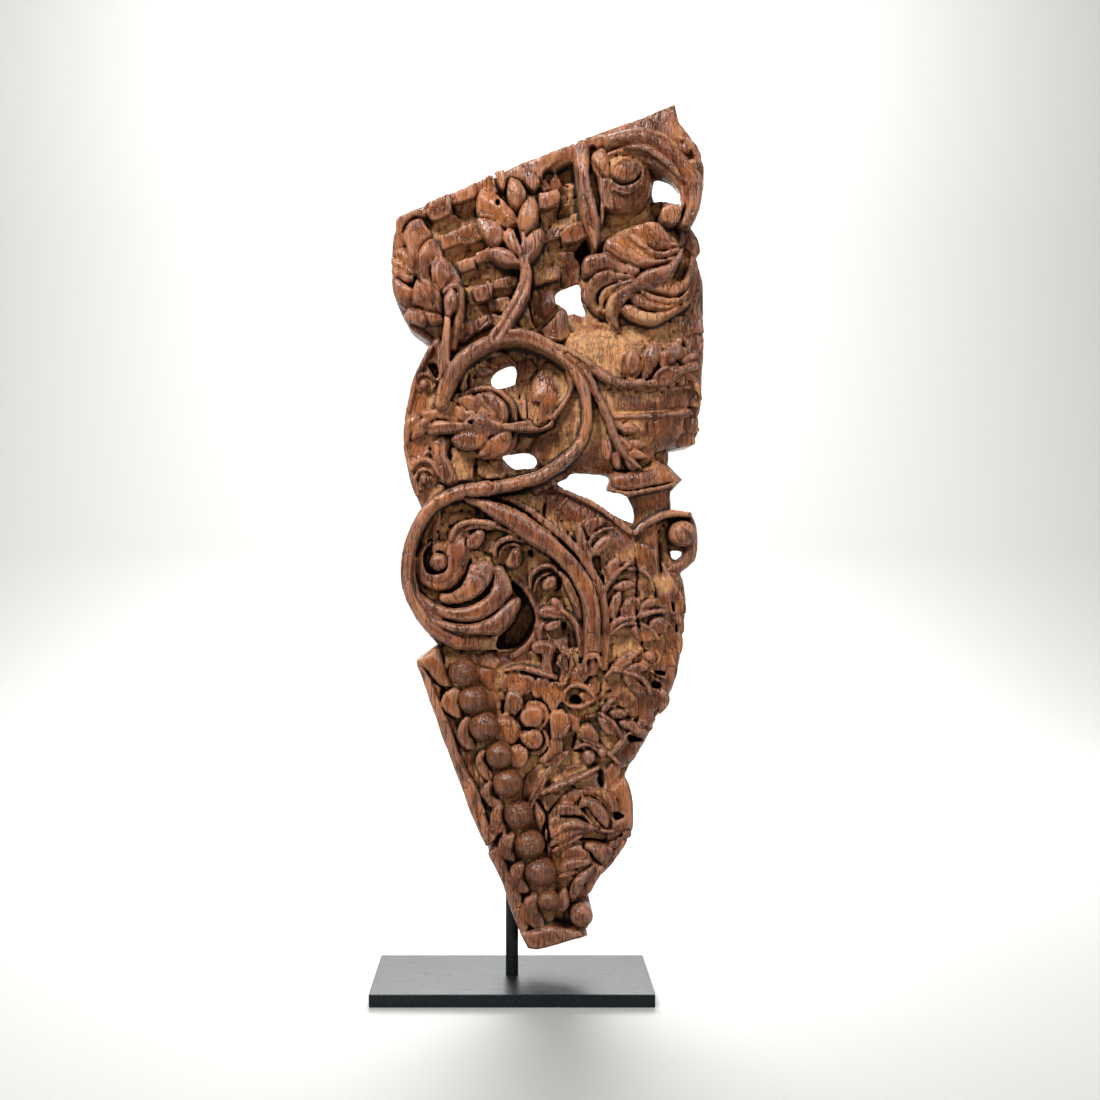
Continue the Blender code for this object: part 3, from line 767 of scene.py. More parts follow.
@dataclass(frozen=True)
class TabletWall:
    """Rows of slanted tablets behind the leaves at the top left."""

    front: float = 0.67
    ledge: float = 0.56

    def forms(self) -> list[Form]:
        """The broken top strip, then the tablets' front faces and the ledges below them."""
        fronts = (
            (((425, 206), (428, 203), (447, 195), (451, 211), (441, 216), (432, 220)), 0.03),
            (((449, 195), (475, 183), (476, 192), (474, 196), (462, 200), (453, 203)), 0.03),
            (((477, 183), (487, 178), (496, 190), (492, 196), (478, 192)), 0.0),
            (((440, 237), (456, 231), (460, 243), (448, 247), (443.5, 249)), 0.0),
            (((459, 231), (463, 227), (474, 222.5), (478, 228), (482, 236), (474, 241), (464, 244)), 0.01),
            (((457, 262), (473, 257), (475, 267), (461, 271.5)), -0.01),
            (((475, 256), (478, 252), (489, 248), (492.5, 250), (493, 257), (479, 262)), 0.0),
            (((472, 289), (475, 287), (490.5, 284), (492, 286), (492, 298), (483, 301), (478, 302)), 0.02),
            (((493, 281), (512, 276), (516, 279), (516, 284), (510, 287.5), (495, 289)), 0.02),
            (((489, 302), (492, 300), (508, 298), (509, 306), (504, 311), (492, 310)), -0.04),
            (((540, 194), (557, 190), (560, 196), (559, 201), (549, 206), (541, 208)), 0.0),
            (((545, 231), (560, 227.5), (561, 236), (546, 240.5)), -0.01),
            (((563, 226), (584, 221), (587, 227), (587, 236), (577, 240.5), (563, 243)), 0.02),
            (((534, 273), (556, 266), (559, 271), (558.5, 278), (545, 280), (535, 284)), 0.02),
            (((457, 333), (462, 326), (470, 321.5), (473, 333), (464, 341), (458, 340)), 0.02),
            (((474, 321), (488, 315), (491, 323), (478, 330.5), (474, 331)), 0.0),
            (((492, 315), (502, 316), (499, 324), (493, 324)), -0.02),
        )
        ledges = (
            (((432, 220), (441, 216), (451, 211), (456, 217), (445, 225), (436, 229), (433, 230)), 0.02),
            (((453, 203), (462, 200), (475, 196), (475, 205), (466, 213), (460, 212)), 0.02),
            (((444, 250), (461, 243.5), (465.5, 247), (464, 255), (455, 262), (449, 260)), 0.0),
            (((466, 245), (480, 240), (487, 240), (486, 247), (476, 250), (470, 248)), 0.0),
            (((461, 272), (475, 267.5), (478, 272), (477, 277), (463, 280)), 0.0),
            (((479, 263), (490, 258.5), (496, 260), (494, 266), (481, 269)), 0.0),
            (((464, 281), (490, 276), (489, 282), (474, 286.5), (470, 286)), -0.06),
            (((495, 289.5), (511, 288), (512, 292), (503, 297), (495, 298)), 0.03),
            (((488, 268), (498, 264), (515, 267), (513, 275), (500, 279), (492, 280)), -0.02),
            (((466, 304), (488, 303), (488, 312), (478, 317), (465, 312)), -0.06),
            (((541, 208.5), (559, 203.5), (558, 209), (549, 212), (541, 213)), 0.04),
            (((541, 213), (557, 210), (556, 219), (549, 226), (541, 227)), -0.06),
            (((546, 241), (561, 237), (562, 245), (548, 248)), -0.02),
            (((563, 243.5), (578, 241), (584, 238), (577, 250), (565, 249)), -0.02),
            (((530, 257), (548, 252.5), (554.5, 260), (548, 264), (534, 268.5), (531, 266)), -0.02),
            (((560, 256), (573, 254), (579, 263), (580, 282), (568, 285), (560, 287)), -0.08),
            (((533, 284), (558.5, 279), (558.5, 288), (533, 291)), -0.06),
            (((561, 190), (575, 186.5), (578.5, 198), (562, 201.5)), -0.06),
            (((562, 202), (578, 200), (580.5, 204), (580.5, 213), (562, 219), (557, 220)), -0.14),
            (((518, 322), (524, 312), (529, 318), (533, 329), (522, 327)), -0.04),
            (((534, 315), (545, 320), (536, 327)), -0.06),
        )
        made = [
            facet(((397, 218.5), (410, 213), (425, 206), (426, 213), (421, 217), (412, 217), (405, 223),
                (402, 235),
                   (396, 237)), 0.68, (0.0, -0.0008)),
            facet(((487, 177), (493, 174.5), (500, 188), (496, 190), (488, 184)), 0.72, gap=0.6),
            facet(((495, 172.5), (504, 170), (506.5, 176), (503, 188), (500, 186)), 0.71, gap=0.6),
            facet(((506, 171), (530, 161), (541, 157), (543, 168), (540, 180), (534, 190), (527, 186),
                (521, 178),
                   (509, 176)), 0.70, (0.0, 0.001), gap=0.6),
            facet(((541, 156.5), (575, 143), (577, 150), (575, 158), (561, 160), (550, 166), (544, 170)), 0.70,
                  (0.0, -0.001), gap=0.7),
            facet(((551, 166), (562, 161), (575, 160), (575, 165), (561, 170), (556, 173)), 0.66, (0.0, -0.006),
                  gap=0.5),
            facet(((556, 174), (575, 166), (576, 182), (562, 186)), 0.46, (0.004, -0.004), gap=0.5),
            facet(((551, 181), (556, 175), (562, 186), (555, 190), (551, 189)), 0.58, (0.0, -0.003), gap=0.5),
            facet(((541, 182), (546, 180), (550, 189), (543, 191)), 0.60, gap=0.8),
            Band(((543, 291), (545, 304), (545, 317)), (25, 24, 16), (0.58, 0.60, 0.54), ROUND, 9, gap=1.0),
            Groove(((539, 291), (539, 306), (543, 317)), 1.6, 2.0, 0.6),
            Groove(((528, 297), (531, 312), (534, 328)), 3.2, 8, 0.6),
        ]
        made += [facet(outline, self.ledge + extra, (0.0, -0.0055), gap=0.7, drop=0.06)
                 for outline, extra in ledges]
        made += [facet(outline, self.front + extra, (0.0006, -0.0012), gap=0.6, drop=0.05)
                 for outline, extra in fronts]
        made += [
            facet(((541, 331), (556, 317), (558, 341), (547, 338)), 0.64, (0.004, 0.0), gap=0.9),
            facet(((556, 317), (562, 311), (567, 320), (570.5, 332), (564, 338), (558, 341)), 0.66,
                (-0.008, 0.0),
                  gap=0.3),
            Opening(((575, 256), (580, 246), (588, 239), (594, 247), (591, 254), (584, 266), (581, 276),
                     (579, 263)), 0.16),
            Groove(((451, 213), (459, 214), (466, 219)), 3.5, 6, 0.6), Groove(((520, 176), (526, 184),
                (531, 193)), 1.6, 3, 0.7),
            Groove(((538, 176), (544, 184), (549, 190)), 1.8, 3, 0.7), Groove(((530, 164), (529, 178)),
                1.4, 2, 0.7),
            Groove(((511, 168), (514, 176)), 1.4, 2, 0.7),
            Groove(((549, 156), (547, 166)), 1.6, 2.5, 0.7), Groove(((563, 150), (564, 158)), 1.4, 1.8, 0.7),
            Groove(((435, 203), (437, 216)), 1.4, 1.2, 0.7), Groove(((461, 192), (463, 200)), 1.4, 1.2, 0.7),
            Groove(((566, 229), (586, 226)), 1.3, 1.0, 0.7), Groove(((566, 234), (586, 231)), 1.3, 1.0, 0.7),
        ]
        return made


@dataclass(frozen=True)
class LeftPalmette:
    """The half palmette at the left edge, with the bud and stalk beside it."""

    level: float = 0.80

    def forms(self) -> list[Form]:
        """Its petals from the back one to the front one."""
        high = self.level
        return [
            Mass(((393, 236), (404, 222), (418, 216), (431, 233), (450, 262), (467, 288), (463, 320), (442,
                338),
                  (420, 334), (404, 318), (392, 284)), 0.46, 0.56, 10),
            facet(((395, 238), (404, 234), (407, 246), (402, 250), (394, 252)), 0.66, (0.004, 0.0), gap=0.8),
            Petal(((393, 253), (398, 247), (406, 246), (410, 256), (414, 272), (404, 262), (397, 256)),
                  ((396, 251), (405, 255), (413, 270)), (0.66, 0.72, 0.76), RIDGE, 3.5, gap=0.8),
            Petal(((391, 256), (398, 258), (405, 264), (414, 275), (404, 271), (396, 266), (391, 264)),
                  ((393, 260), (402, 265), (413, 274)), (0.65, 0.71, 0.76), RIDGE, 3, gap=0.8),
            Petal(((391, 266), (398, 268), (406, 273), (415, 279), (408, 283), (399, 277), (391, 273)),
                  ((393, 269), (402, 274), (413, 279)), (0.65, 0.72, 0.77), RIDGE, 3, gap=0.8),
            Petal(((391.5, 276), (400, 280), (408, 286), (413, 290), (412, 305), (403, 308), (396, 299),
                (392, 287)),
                  ((412, 287), (404, 294), (401, 304)), (0.77, 0.76, 0.70), ROUND, 6, gap=1.0),
            Petal(((403, 238), (404, 230), (408, 222), (414, 217.5), (421, 217), (425, 224), (430, 233),
                (425, 239),
                   (419, 246), (416.5, 256), (416, 267), (414, 274), (410, 268), (407.5, 255), (406, 245)),
                  ((413, 270), (409.5, 252), (407.5, 238), (411, 225), (418, 219)),
                  (high - 0.02, high + 0.02, high + 0.03, high + 0.02, high - 0.03), RIDGE, 6.5),
            Petal(((416.5, 274), (416, 262), (418, 252), (423, 243), (431, 237), (436, 241), (441, 250),
                (444, 257),
                   (437, 255), (432, 261), (429, 269), (429.5, 277), (434, 285), (425, 281)),
                  ((421, 276), (420.5, 260), (425, 248), (433, 240)), (high, high + 0.04, high + 0.04, high),
                  RIDGE, 6),
            Petal(((430.5, 272), (432.5, 262), (438, 255.5), (445, 256.5), (452, 263), (458, 272), (462.5, 281),
                   (457, 283), (449, 286), (443, 291), (438, 288), (432.5, 281)),
                  ((440, 285), (439.5, 270), (445, 261)), (high + 0.03, high + 0.05, high + 0.03), RIMMED, 6),
            Petal(((412.5, 300), (413, 288), (418, 278), (424, 286), (430, 297), (437, 312), (426, 309.5),
                   (413, 305)), ((417.5, 280), (427, 293), (434, 308)), (high + 0.02, high + 0.05, high - 0.04),
                  RIDGE, 6),
            Petal(((420, 278.5), (430, 280), (437, 287), (441, 294), (441.5, 305), (440, 313), (435, 305),
                   (428, 293)), ((422, 280), (434, 293), (439, 310)), (high + 0.02, high + 0.02, high - 0.04),
                  ROUND, 4.5),
            Petal(((426, 311), (436, 311), (442, 316), (442.5, 321), (434, 323), (427, 321)),
                  ((429, 316), (439, 317)), (0.74, 0.72), ROUND, 6),
            Petal(((403.5, 315), (406, 308.5), (413, 306.5), (422, 307.5), (425.5, 314), (425, 322), (417, 327),
                   (409, 325), (404.5, 320)), ((411, 316), (418, 317)), (0.77, 0.77), ROUND, 9),
            Band(((412, 327), (424, 334), (432, 340)), (5, 8, 6), (0.56,), ROUND, 3),
            Band(((443, 292), (451, 285.5), (458.5, 286), (461.5, 292), (461.5, 303), (460, 314), (456, 328),
                  (453, 345)), (3, 5, 7, 7, 7, 7, 8, 8), (0.84, 0.88, 0.84, 0.76), RIDGE, 3),
            Band(((447, 312), (446.5, 330), (445, 350), (444, 376), (441, 402)), (6, 8, 9, 10, 11),
                 (0.88, 0.88, 0.90), TWIN, 4),
            Petal(((443.5, 300), (446, 293), (450.5, 288), (455, 289), (457.5, 297), (457, 305), (453.5, 311),
                   (449, 316), (445, 312)), ((452, 291), (451, 302), (448.5, 312)), (0.90, 0.93, 0.88),
                   ROUND, 6,
                  gap=1.6),
        ]


@dataclass(frozen=True)
class LeafSpray:
    """The spray of leaves at the top of the vine."""

    level: float = 0.88

    def forms(self) -> list[Form]:
        """The leaves from the back one to the front one, and their stalk."""
        high = self.level
        return [
            Petal(((476, 200), (478, 191), (484, 187), (491, 188.5), (498, 193), (504, 200), (511, 208),
                (516, 215),
                   (518, 223), (513, 227), (505, 226.5), (497, 221), (489, 216.5), (481, 214), (476.5, 208)),
                  ((482, 195), (495, 204), (506, 214), (515, 223)), (0.76, 0.79, 0.80, 0.82), RIDGE, 6),
            Groove(((482, 190), (492, 198), (502, 206), (511, 218)), 1.8, 1.6, 0.8),
            Groove(((480, 204), (490, 208), (500, 216)), 1.6, 1.4, 0.8),
            Opening(((495.5, 200), (498, 198.5), (500, 201), (499.5, 205), (497, 206.5), (495.5, 204)), 0.58),
            Petal(((510, 175), (516, 177), (521.5, 182), (524.5, 188), (526, 195), (522.5, 202), (517.5, 208),
                   (511, 203), (507.5, 196), (506.5, 188), (508, 180)), ((512, 178), (516, 192), (517, 206)),
                  (0.82, 0.86, 0.84), RIDGE, 5),
            Petal(((476, 216), (481, 214.5), (489, 217), (497, 221), (502.5, 227), (503.5, 234), (502.5, 241),
                   (495, 245.5), (488, 240.5), (481, 232), (477, 223)), ((479, 218), (490, 231), (501, 241)),
                  (0.82, 0.88, 0.88), ROUND, 6.5),
            Petal(((487.5, 248), (493, 246), (500.5, 246), (508, 249), (515.5, 255), (521, 264), (514, 265.5),
                   (505, 265.5), (496, 260.5), (490, 254.5)), ((490, 249), (503, 255), (519, 264)),
                  (0.84, 0.90, 0.90), ROUND, 6.5),
            Petal(((503.5, 238), (504, 231), (507, 227.5), (511, 226), (514, 230), (517, 238), (520, 249),
                   (522, 258), (516, 253.5), (508, 246)), ((509, 229), (513, 241), (521, 257)),
                  (0.86, 0.90, 0.92), RIDGE, 4.5),
            Petal(((527, 198), (532, 195), (537, 198), (539.5, 208), (539, 218), (535, 226), (529, 231.5),
                   (524, 236), (520, 229), (518, 221), (519.5, 211), (523, 203)), ((531, 198), (528, 214),
                   (524, 232)),
                  (0.88, 0.93, 0.92), ROUND, 7),
            Petal(((531, 231.5), (536, 228), (541.5, 226), (544.5, 232), (543, 241), (539, 250), (533, 257),
                   (528, 261), (525, 251), (525.5, 240)), ((539, 230), (533, 240), (528, 257)),
                  (0.87, 0.91, 0.92), ROUND, 6),
            Groove(((540, 230), (533, 236), (529, 245)), 1.6, 1.6, 0.9),
            Band(((513, 230), (518, 243), (522, 256), (524, 264)), (2.5, 3.5, 4, 4), (0.93, 0.96), ROUND, 2,
                 gap=0.6, drop=0.05),
            Band(((524, 232), (524.5, 248), (525, 264)), (4, 5, 5), (0.90, 0.94), ROUND, 2.5, gap=0.6,
                drop=0.05),
            Band(((524.5, 258), (525.5, 272), (523.5, 288), (517, 303), (508, 317), (495, 338)),
                 (8, 12, 14, 14, 14, 16), (0.92, 0.95, 0.96), TWIN, 5),
            Groove(((529, 268), (528, 286), (521, 304), (511, 320)), 1.6, 2.0, 0.93),
        ]


@dataclass(frozen=True)
class Head:
    """The beast's head at the top right: eye, brow, curling trunk and tusk knob."""

    level: float = 0.78

    def forms(self) -> list[Form]:
        """The head from the back to the front."""
        return [
            Mass(((584, 137), (605, 130), (640, 117), (676, 104), (679, 121), (690, 134), (698, 150), (704,
                166),
                  (704, 190), (690, 188), (664, 160), (640, 146), (606, 146), (590, 150)), 0.70, 0.76, 12,
                 smooth=False),
            Mass(((650, 166), (662, 170), (676, 180), (684, 198), (682, 212), (676, 212), (676, 192), (664,
                184),
                  (652, 184)), 0.34, 0.40, 6),
            Mass(((598, 148), (620, 147), (640, 152), (651, 166), (654, 180), (653, 203), (643, 214), (628,
                224),
                  (612, 229), (603, 224), (598, 200)), 0.40, 0.60, 12),
            Petal(((600, 176), (602, 160), (610, 148), (626, 148), (640, 156), (650, 167), (653.5, 178),
                   (651, 194), (642, 206), (628, 211), (614, 209), (603, 200)), ((616, 196), (628, 176),
                   (632, 160)),
                  (0.78, 0.83, 0.84), ROUND, 17),
            Petal(((612, 176), (613, 166), (618, 159), (627, 156), (636, 158), (641, 166), (640, 175),
                (634, 180.5),
                   (624, 181.5), (616, 180)), ((621, 170), (632, 168)), (0.93, 0.93), ROUND, 9, gap=0.0),
            Band(((611.5, 178), (617, 184), (626, 187), (636, 184), (641.5, 177), (643.5, 168)),
                 (3, 5, 5.5, 5, 4, 2), (0.85, 0.88, 0.85), ROUND, 2.2, gap=1.1, drop=0.04),
            Band(((613, 187), (622, 191), (631, 191), (640, 185), (646, 176)), (2, 4, 4, 3, 2), (0.84,
                0.86, 0.83),
                 ROUND, 1.5, gap=0.8, drop=0.03),
            Mass(((607, 134), (622, 129), (642, 125), (660, 132), (680, 148), (694, 164), (703, 176), (702,
                200),
                  (694, 222), (690, 222), (687, 204), (686, 190), (676, 172), (660, 158), (640, 149), (620,
                  145),
                  (607, 147)), 0.80, 0.94, 14, gap=1.0),
            Band(((609, 153), (622, 149.5), (636, 154), (650, 160), (664, 166), (675, 175), (681, 185),
                (684, 198),
                  (681, 209)), (4, 7, 9, 10, 10, 9, 9, 7, 3), (0.84, 0.88, 0.88, 0.84), ROUND, 5, gap=1.0,
                 floor=0.02),
            Band(((624, 146), (640, 147), (656, 154), (670, 164), (682, 178)), (2, 6, 7, 7, 3),
                 (0.93, 0.98, 0.98, 0.94), ROUND, 2.5, gap=0.0),
            Petal(((683, 180), (690, 176), (700, 180), (703, 190), (700, 208), (692, 224), (686, 226),
                (680, 222),
                   (686, 208), (688, 194)), ((694, 184), (695, 204), (688, 221)), (0.93, 0.93, 0.90), ROUND, 8,
                  gap=0.0, floor=0.02),
            Band(((682, 137), (690, 141), (697, 152), (700, 166)), (4, 7, 7, 4), (0.82, 0.85, 0.82), RIDGE, 3,
                 gap=0.8, drop=0.05),
            Dome((694, 163), 4.5, 0.88, 3, 1.3, 60, gap=0.8, drop=0.05),
            Dome((686, 147), 4.0, 0.85, 3, 1.5, 70, gap=0.6, drop=0.04),
            Petal(((600, 178), (606, 176), (612, 179), (613, 206), (607, 207), (602, 200)),
                  ((607, 181), (607, 204)), (0.80, 0.80), FLAT, 3, gap=0.8, drop=0.06),
            Petal(((592, 153), (597, 148), (603, 146), (606.5, 150), (608.5, 160), (610.5, 170), (609, 176),
                   (602, 172), (595, 164), (591, 158)), ((598, 151), (603, 162), (608, 173)),
                  (0.84, 0.88, 0.84), ROUND, 4.5),
            Petal(((587, 139), (600, 135), (604, 143), (597, 146), (592, 149)), ((590, 142), (602, 139)),
                  (0.74, 0.74), FLAT, 2, gap=0.8, drop=0.08),
            Dome((592, 150), 2.6, 0.60, 1, gap=0.8),
            Band(((590, 160), (596, 169), (600.5, 178), (600.5, 192), (602, 206), (602, 222)), (2, 4, 4, 4,
                5, 3),
                 (0.80, 0.78), RIDGE, 2, gap=0.8, drop=0.12),
            Petal(((588, 170), (592, 172), (597, 180), (599, 192), (601, 204), (598, 220), (594, 206),
                (591, 188)),
                  ((592, 178), (597, 206)), (0.66, 0.64), ROUND, 2, gap=0.5, drop=0.05),
            Petal(((575, 141), (586, 137), (589, 150), (590, 168), (593, 186), (597, 204), (600, 224),
                (597.5, 247),
                   (593, 246), (588, 232), (583, 216), (579, 196), (576, 170)),
                  ((582, 142), (585, 170), (590, 200), (595.5, 240)), (0.84, 0.90, 0.90, 0.82), ROUND, 6),
            Groove(((580, 146), (582, 170), (586, 196), (592, 226)), 2.2, 3.0, 0.88),
            Groove(((585, 141), (588, 165), (592, 190), (596, 214)), 1.8, 2.4, 0.88),
            Groove(((577, 160), (580, 190), (586, 218)), 1.6, 2.0, 0.86),
            Groove(((584, 190), (590, 214), (594, 236)), 1.4, 1.8, 0.86),
            Mass(((650, 206), (658, 203), (663, 210), (663, 226), (656, 222)), 0.40, 0.44, 4, gap=0.6),
            Dome((629, 166.5), 7.5, 0.965, 5, 1.25, gap=0.0),
            Groove(((612, 175), (617, 181.5), (626, 184.5), (636, 181.5), (641.5, 174)), 2.6, 5, 0.8),
            Groove(((613, 166), (619, 158.5), (628, 155.5), (638, 158)), 1.8, 3, 0.8),
            Dome((671.3, 213), 10.8, 0.93, 1.8, 0.93, gap=1.4),
        ]


@dataclass(frozen=True)
class Whorl:
    """The whorl of comma-shaped leaves below the head."""

    level: float = 0.88

    def forms(self) -> list[Form]:
        """The commas from the back one to the front one."""
        high = self.level
        return [
            Mass(((586, 276), (598, 250), (610, 234), (640, 222), (676, 226), (697, 252), (697, 290),
                  (680, 316), (650, 326), (618, 330), (600, 318), (586, 304)), 0.50, 0.66, 20),
            Petal(((683, 229), (690, 226), (697, 235), (701, 247), (701, 253), (696, 255), (690, 250),
                (685, 244)),
                  ((688, 230), (693, 240), (699, 251)), (0.66, 0.70, 0.66), RIDGE, 4, gap=1.0),
            Band(((683, 228), (682, 244)), (4, 4), (0.72,), ROUND, 2),
            Petal(((583, 263), (585, 256), (592, 252.5), (602, 251.5), (609, 252), (616, 258), (626, 262.5),
                   (638, 266), (640, 272), (632, 275.5), (620, 274), (610, 270), (602, 269), (592, 274),
                   (584, 273)),
                  ((588, 262), (602, 258), (618, 265), (638, 271)), (high - 0.06, high - 0.02, high - 0.03,
                  high),
                  ROUND, 7),
            Petal(((585, 291), (588, 282), (594, 275), (601, 271), (608, 269.5), (616, 272), (632, 275),
                (634, 279),
                   (624, 279), (610, 282), (600, 288), (596, 296), (601, 306), (598, 312), (592, 306),
                   (587, 299)),
                  ((591, 303), (588.5, 291), (594, 279), (607, 272), (630, 276)),
                  (high - 0.14, high - 0.03, high, high, high + 0.02), RIDGE, 6),
            Petal(((600, 302), (600, 294), (605, 288), (614, 283), (624, 279.5), (634, 278), (635, 283),
                (626, 285),
                   (616, 289), (608, 296), (604, 305), (608, 314), (618, 330), (612, 325), (605, 314)),
                  ((602, 300), (604, 292), (614, 285), (631, 280)), (high - 0.06, high, high + 0.01,
                  high + 0.03),
                  RIDGE, 6),
            Petal(((606, 312), (606, 304), (610, 297), (617, 290), (626, 285), (635, 283), (637, 290),
                (629, 298),
                   (622.5, 306), (620.5, 315), (621.5, 329), (618, 328), (611, 321)),
                  ((618, 326), (609, 306), (616, 294), (632, 285)), (high - 0.12, high - 0.02, high + 0.02,
                  high + 0.05),
                  RIDGE, 7),
            Petal(((692, 251), (697, 261), (693, 275), (687, 287), (680, 294), (671, 297), (661, 294),
                (651, 292),
                   (643, 288), (652, 285), (664, 282), (672, 280), (682, 279), (688, 268), (691, 258)),
                  ((694, 258), (689, 276), (678, 290), (664, 290), (648, 289)), (0.70, 0.82, high,
                  high + 0.02, high + 0.04),
                  ROUND, 6),
            Petal(((684, 250), (690, 252), (690.5, 262), (686, 272), (680, 279), (671, 280), (676, 272),
                (681, 262)),
                  ((687, 256), (680, 274)), (0.58, 0.60), DISHED, 4, gap=0.4, drop=0.2),
            Petal(((632, 226), (640, 223), (650, 221.5), (660, 222), (667, 230), (673, 239), (681, 244),
                (677, 248),
                   (664, 248.5), (656, 247.5), (648, 242), (640, 235.5), (633, 230)),
                  ((644, 222.5), (652, 232), (662, 241), (678, 245)), (high, high + 0.02, high + 0.03,
                  high + 0.04),
                  RIDGE, 6.5),
            Petal(((646, 222), (657, 222), (664, 227), (669, 235), (672, 241), (662, 240), (654, 234),
                (648, 228)),
                  ((652, 224), (668, 239)), (high + 0.03, high + 0.05), ROUND, 2.5, gap=0.4, drop=0.03),
            Petal(((622, 234), (626, 231.5), (633, 230.5), (640, 236.5), (648, 243), (656, 249.5), (666, 250.5),
                   (680, 247), (680, 253), (670, 256.5), (656, 257), (644, 253.5), (635, 247), (627, 240.5)),
                  ((630, 232.5), (644, 243), (654, 251), (678, 250)), (high, high + 0.02, high + 0.03,
                  high + 0.05),
                  RIDGE, 5),
            Petal(((629, 233), (636, 234), (644, 241), (650, 248), (645, 248.5), (637, 243.5), (631, 238)),
                  ((632, 235), (647, 247)), (high + 0.02, high + 0.04), ROUND, 2, gap=0.4, drop=0.03),
            Petal(((604, 244), (606, 238), (612, 234.5), (619, 231.5), (623.5, 234), (628, 242), (636, 248.5),
                   (645, 254.5), (657, 258.5), (670, 257.5), (681, 252), (684, 255), (676, 261), (664, 263),
                   (650, 265.5), (638, 265.5), (627, 261.5), (617, 257.5), (610, 251.5), (605, 249)),
                  ((609, 243), (622, 252), (638, 259), (660, 261), (681, 253)),
                  (high, high + 0.04, high + 0.05, high + 0.05, high + 0.06), ROUND, 6.5),
            Petal(((612, 244), (616, 241), (621, 244), (628, 252), (631, 257), (624, 255), (616, 250)),
                  ((614, 244), (629, 256)), (high + 0.05, high + 0.06), ROUND, 2, gap=0.5, drop=0.03),
            Groove(((610, 240), (618, 238), (626, 245), (638, 253), (652, 260), (668, 260)), 1.6, 1.6, 0.9),
            Petal(((634, 284), (636, 277), (642, 271), (651, 267.5), (662, 265.5), (672, 261), (681, 251),
                   (685, 253), (680, 263), (676, 271), (671, 279.5), (661, 283.5), (650, 287.5), (640, 289)),
                  ((640, 280), (656, 272), (670, 267), (682, 254)), (high + 0.06, high + 0.10, high + 0.09,
                  high + 0.05),
                  ROUND, 6.5),
            Band(((643, 292), (654, 298), (667, 301), (680, 299), (689, 290)), (4, 7, 7, 5, 2),
                 (high + 0.02, high + 0.04, high), RIDGE, 3, gap=0.9, drop=0.06),
            Petal(((633, 292), (640, 292), (646, 298), (656, 303), (668, 305), (680, 302), (688, 293),
                (684, 302),
                   (672, 309), (660, 310.5), (648, 308.5), (638, 305.5), (633, 299)),
                  ((637, 296), (648, 303), (664, 308), (682, 300)), (high - 0.02, high + 0.03, high + 0.04,
                  high),
                  RIDGE, 5),
            Petal(((623, 309), (627, 303.5), (633, 304), (640, 308.5), (650, 312), (661, 312), (672, 308.5),
                   (683, 303), (694, 294), (690, 303), (680, 311), (670, 318), (660, 323), (650, 325),
                   (638, 321.5), (628, 316)),
                  ((628, 308), (644, 315), (660, 316.5), (676, 309), (690, 300)),
                  (high, high + 0.03, high + 0.03, high, high - 0.08), ROUND, 7),
        ]


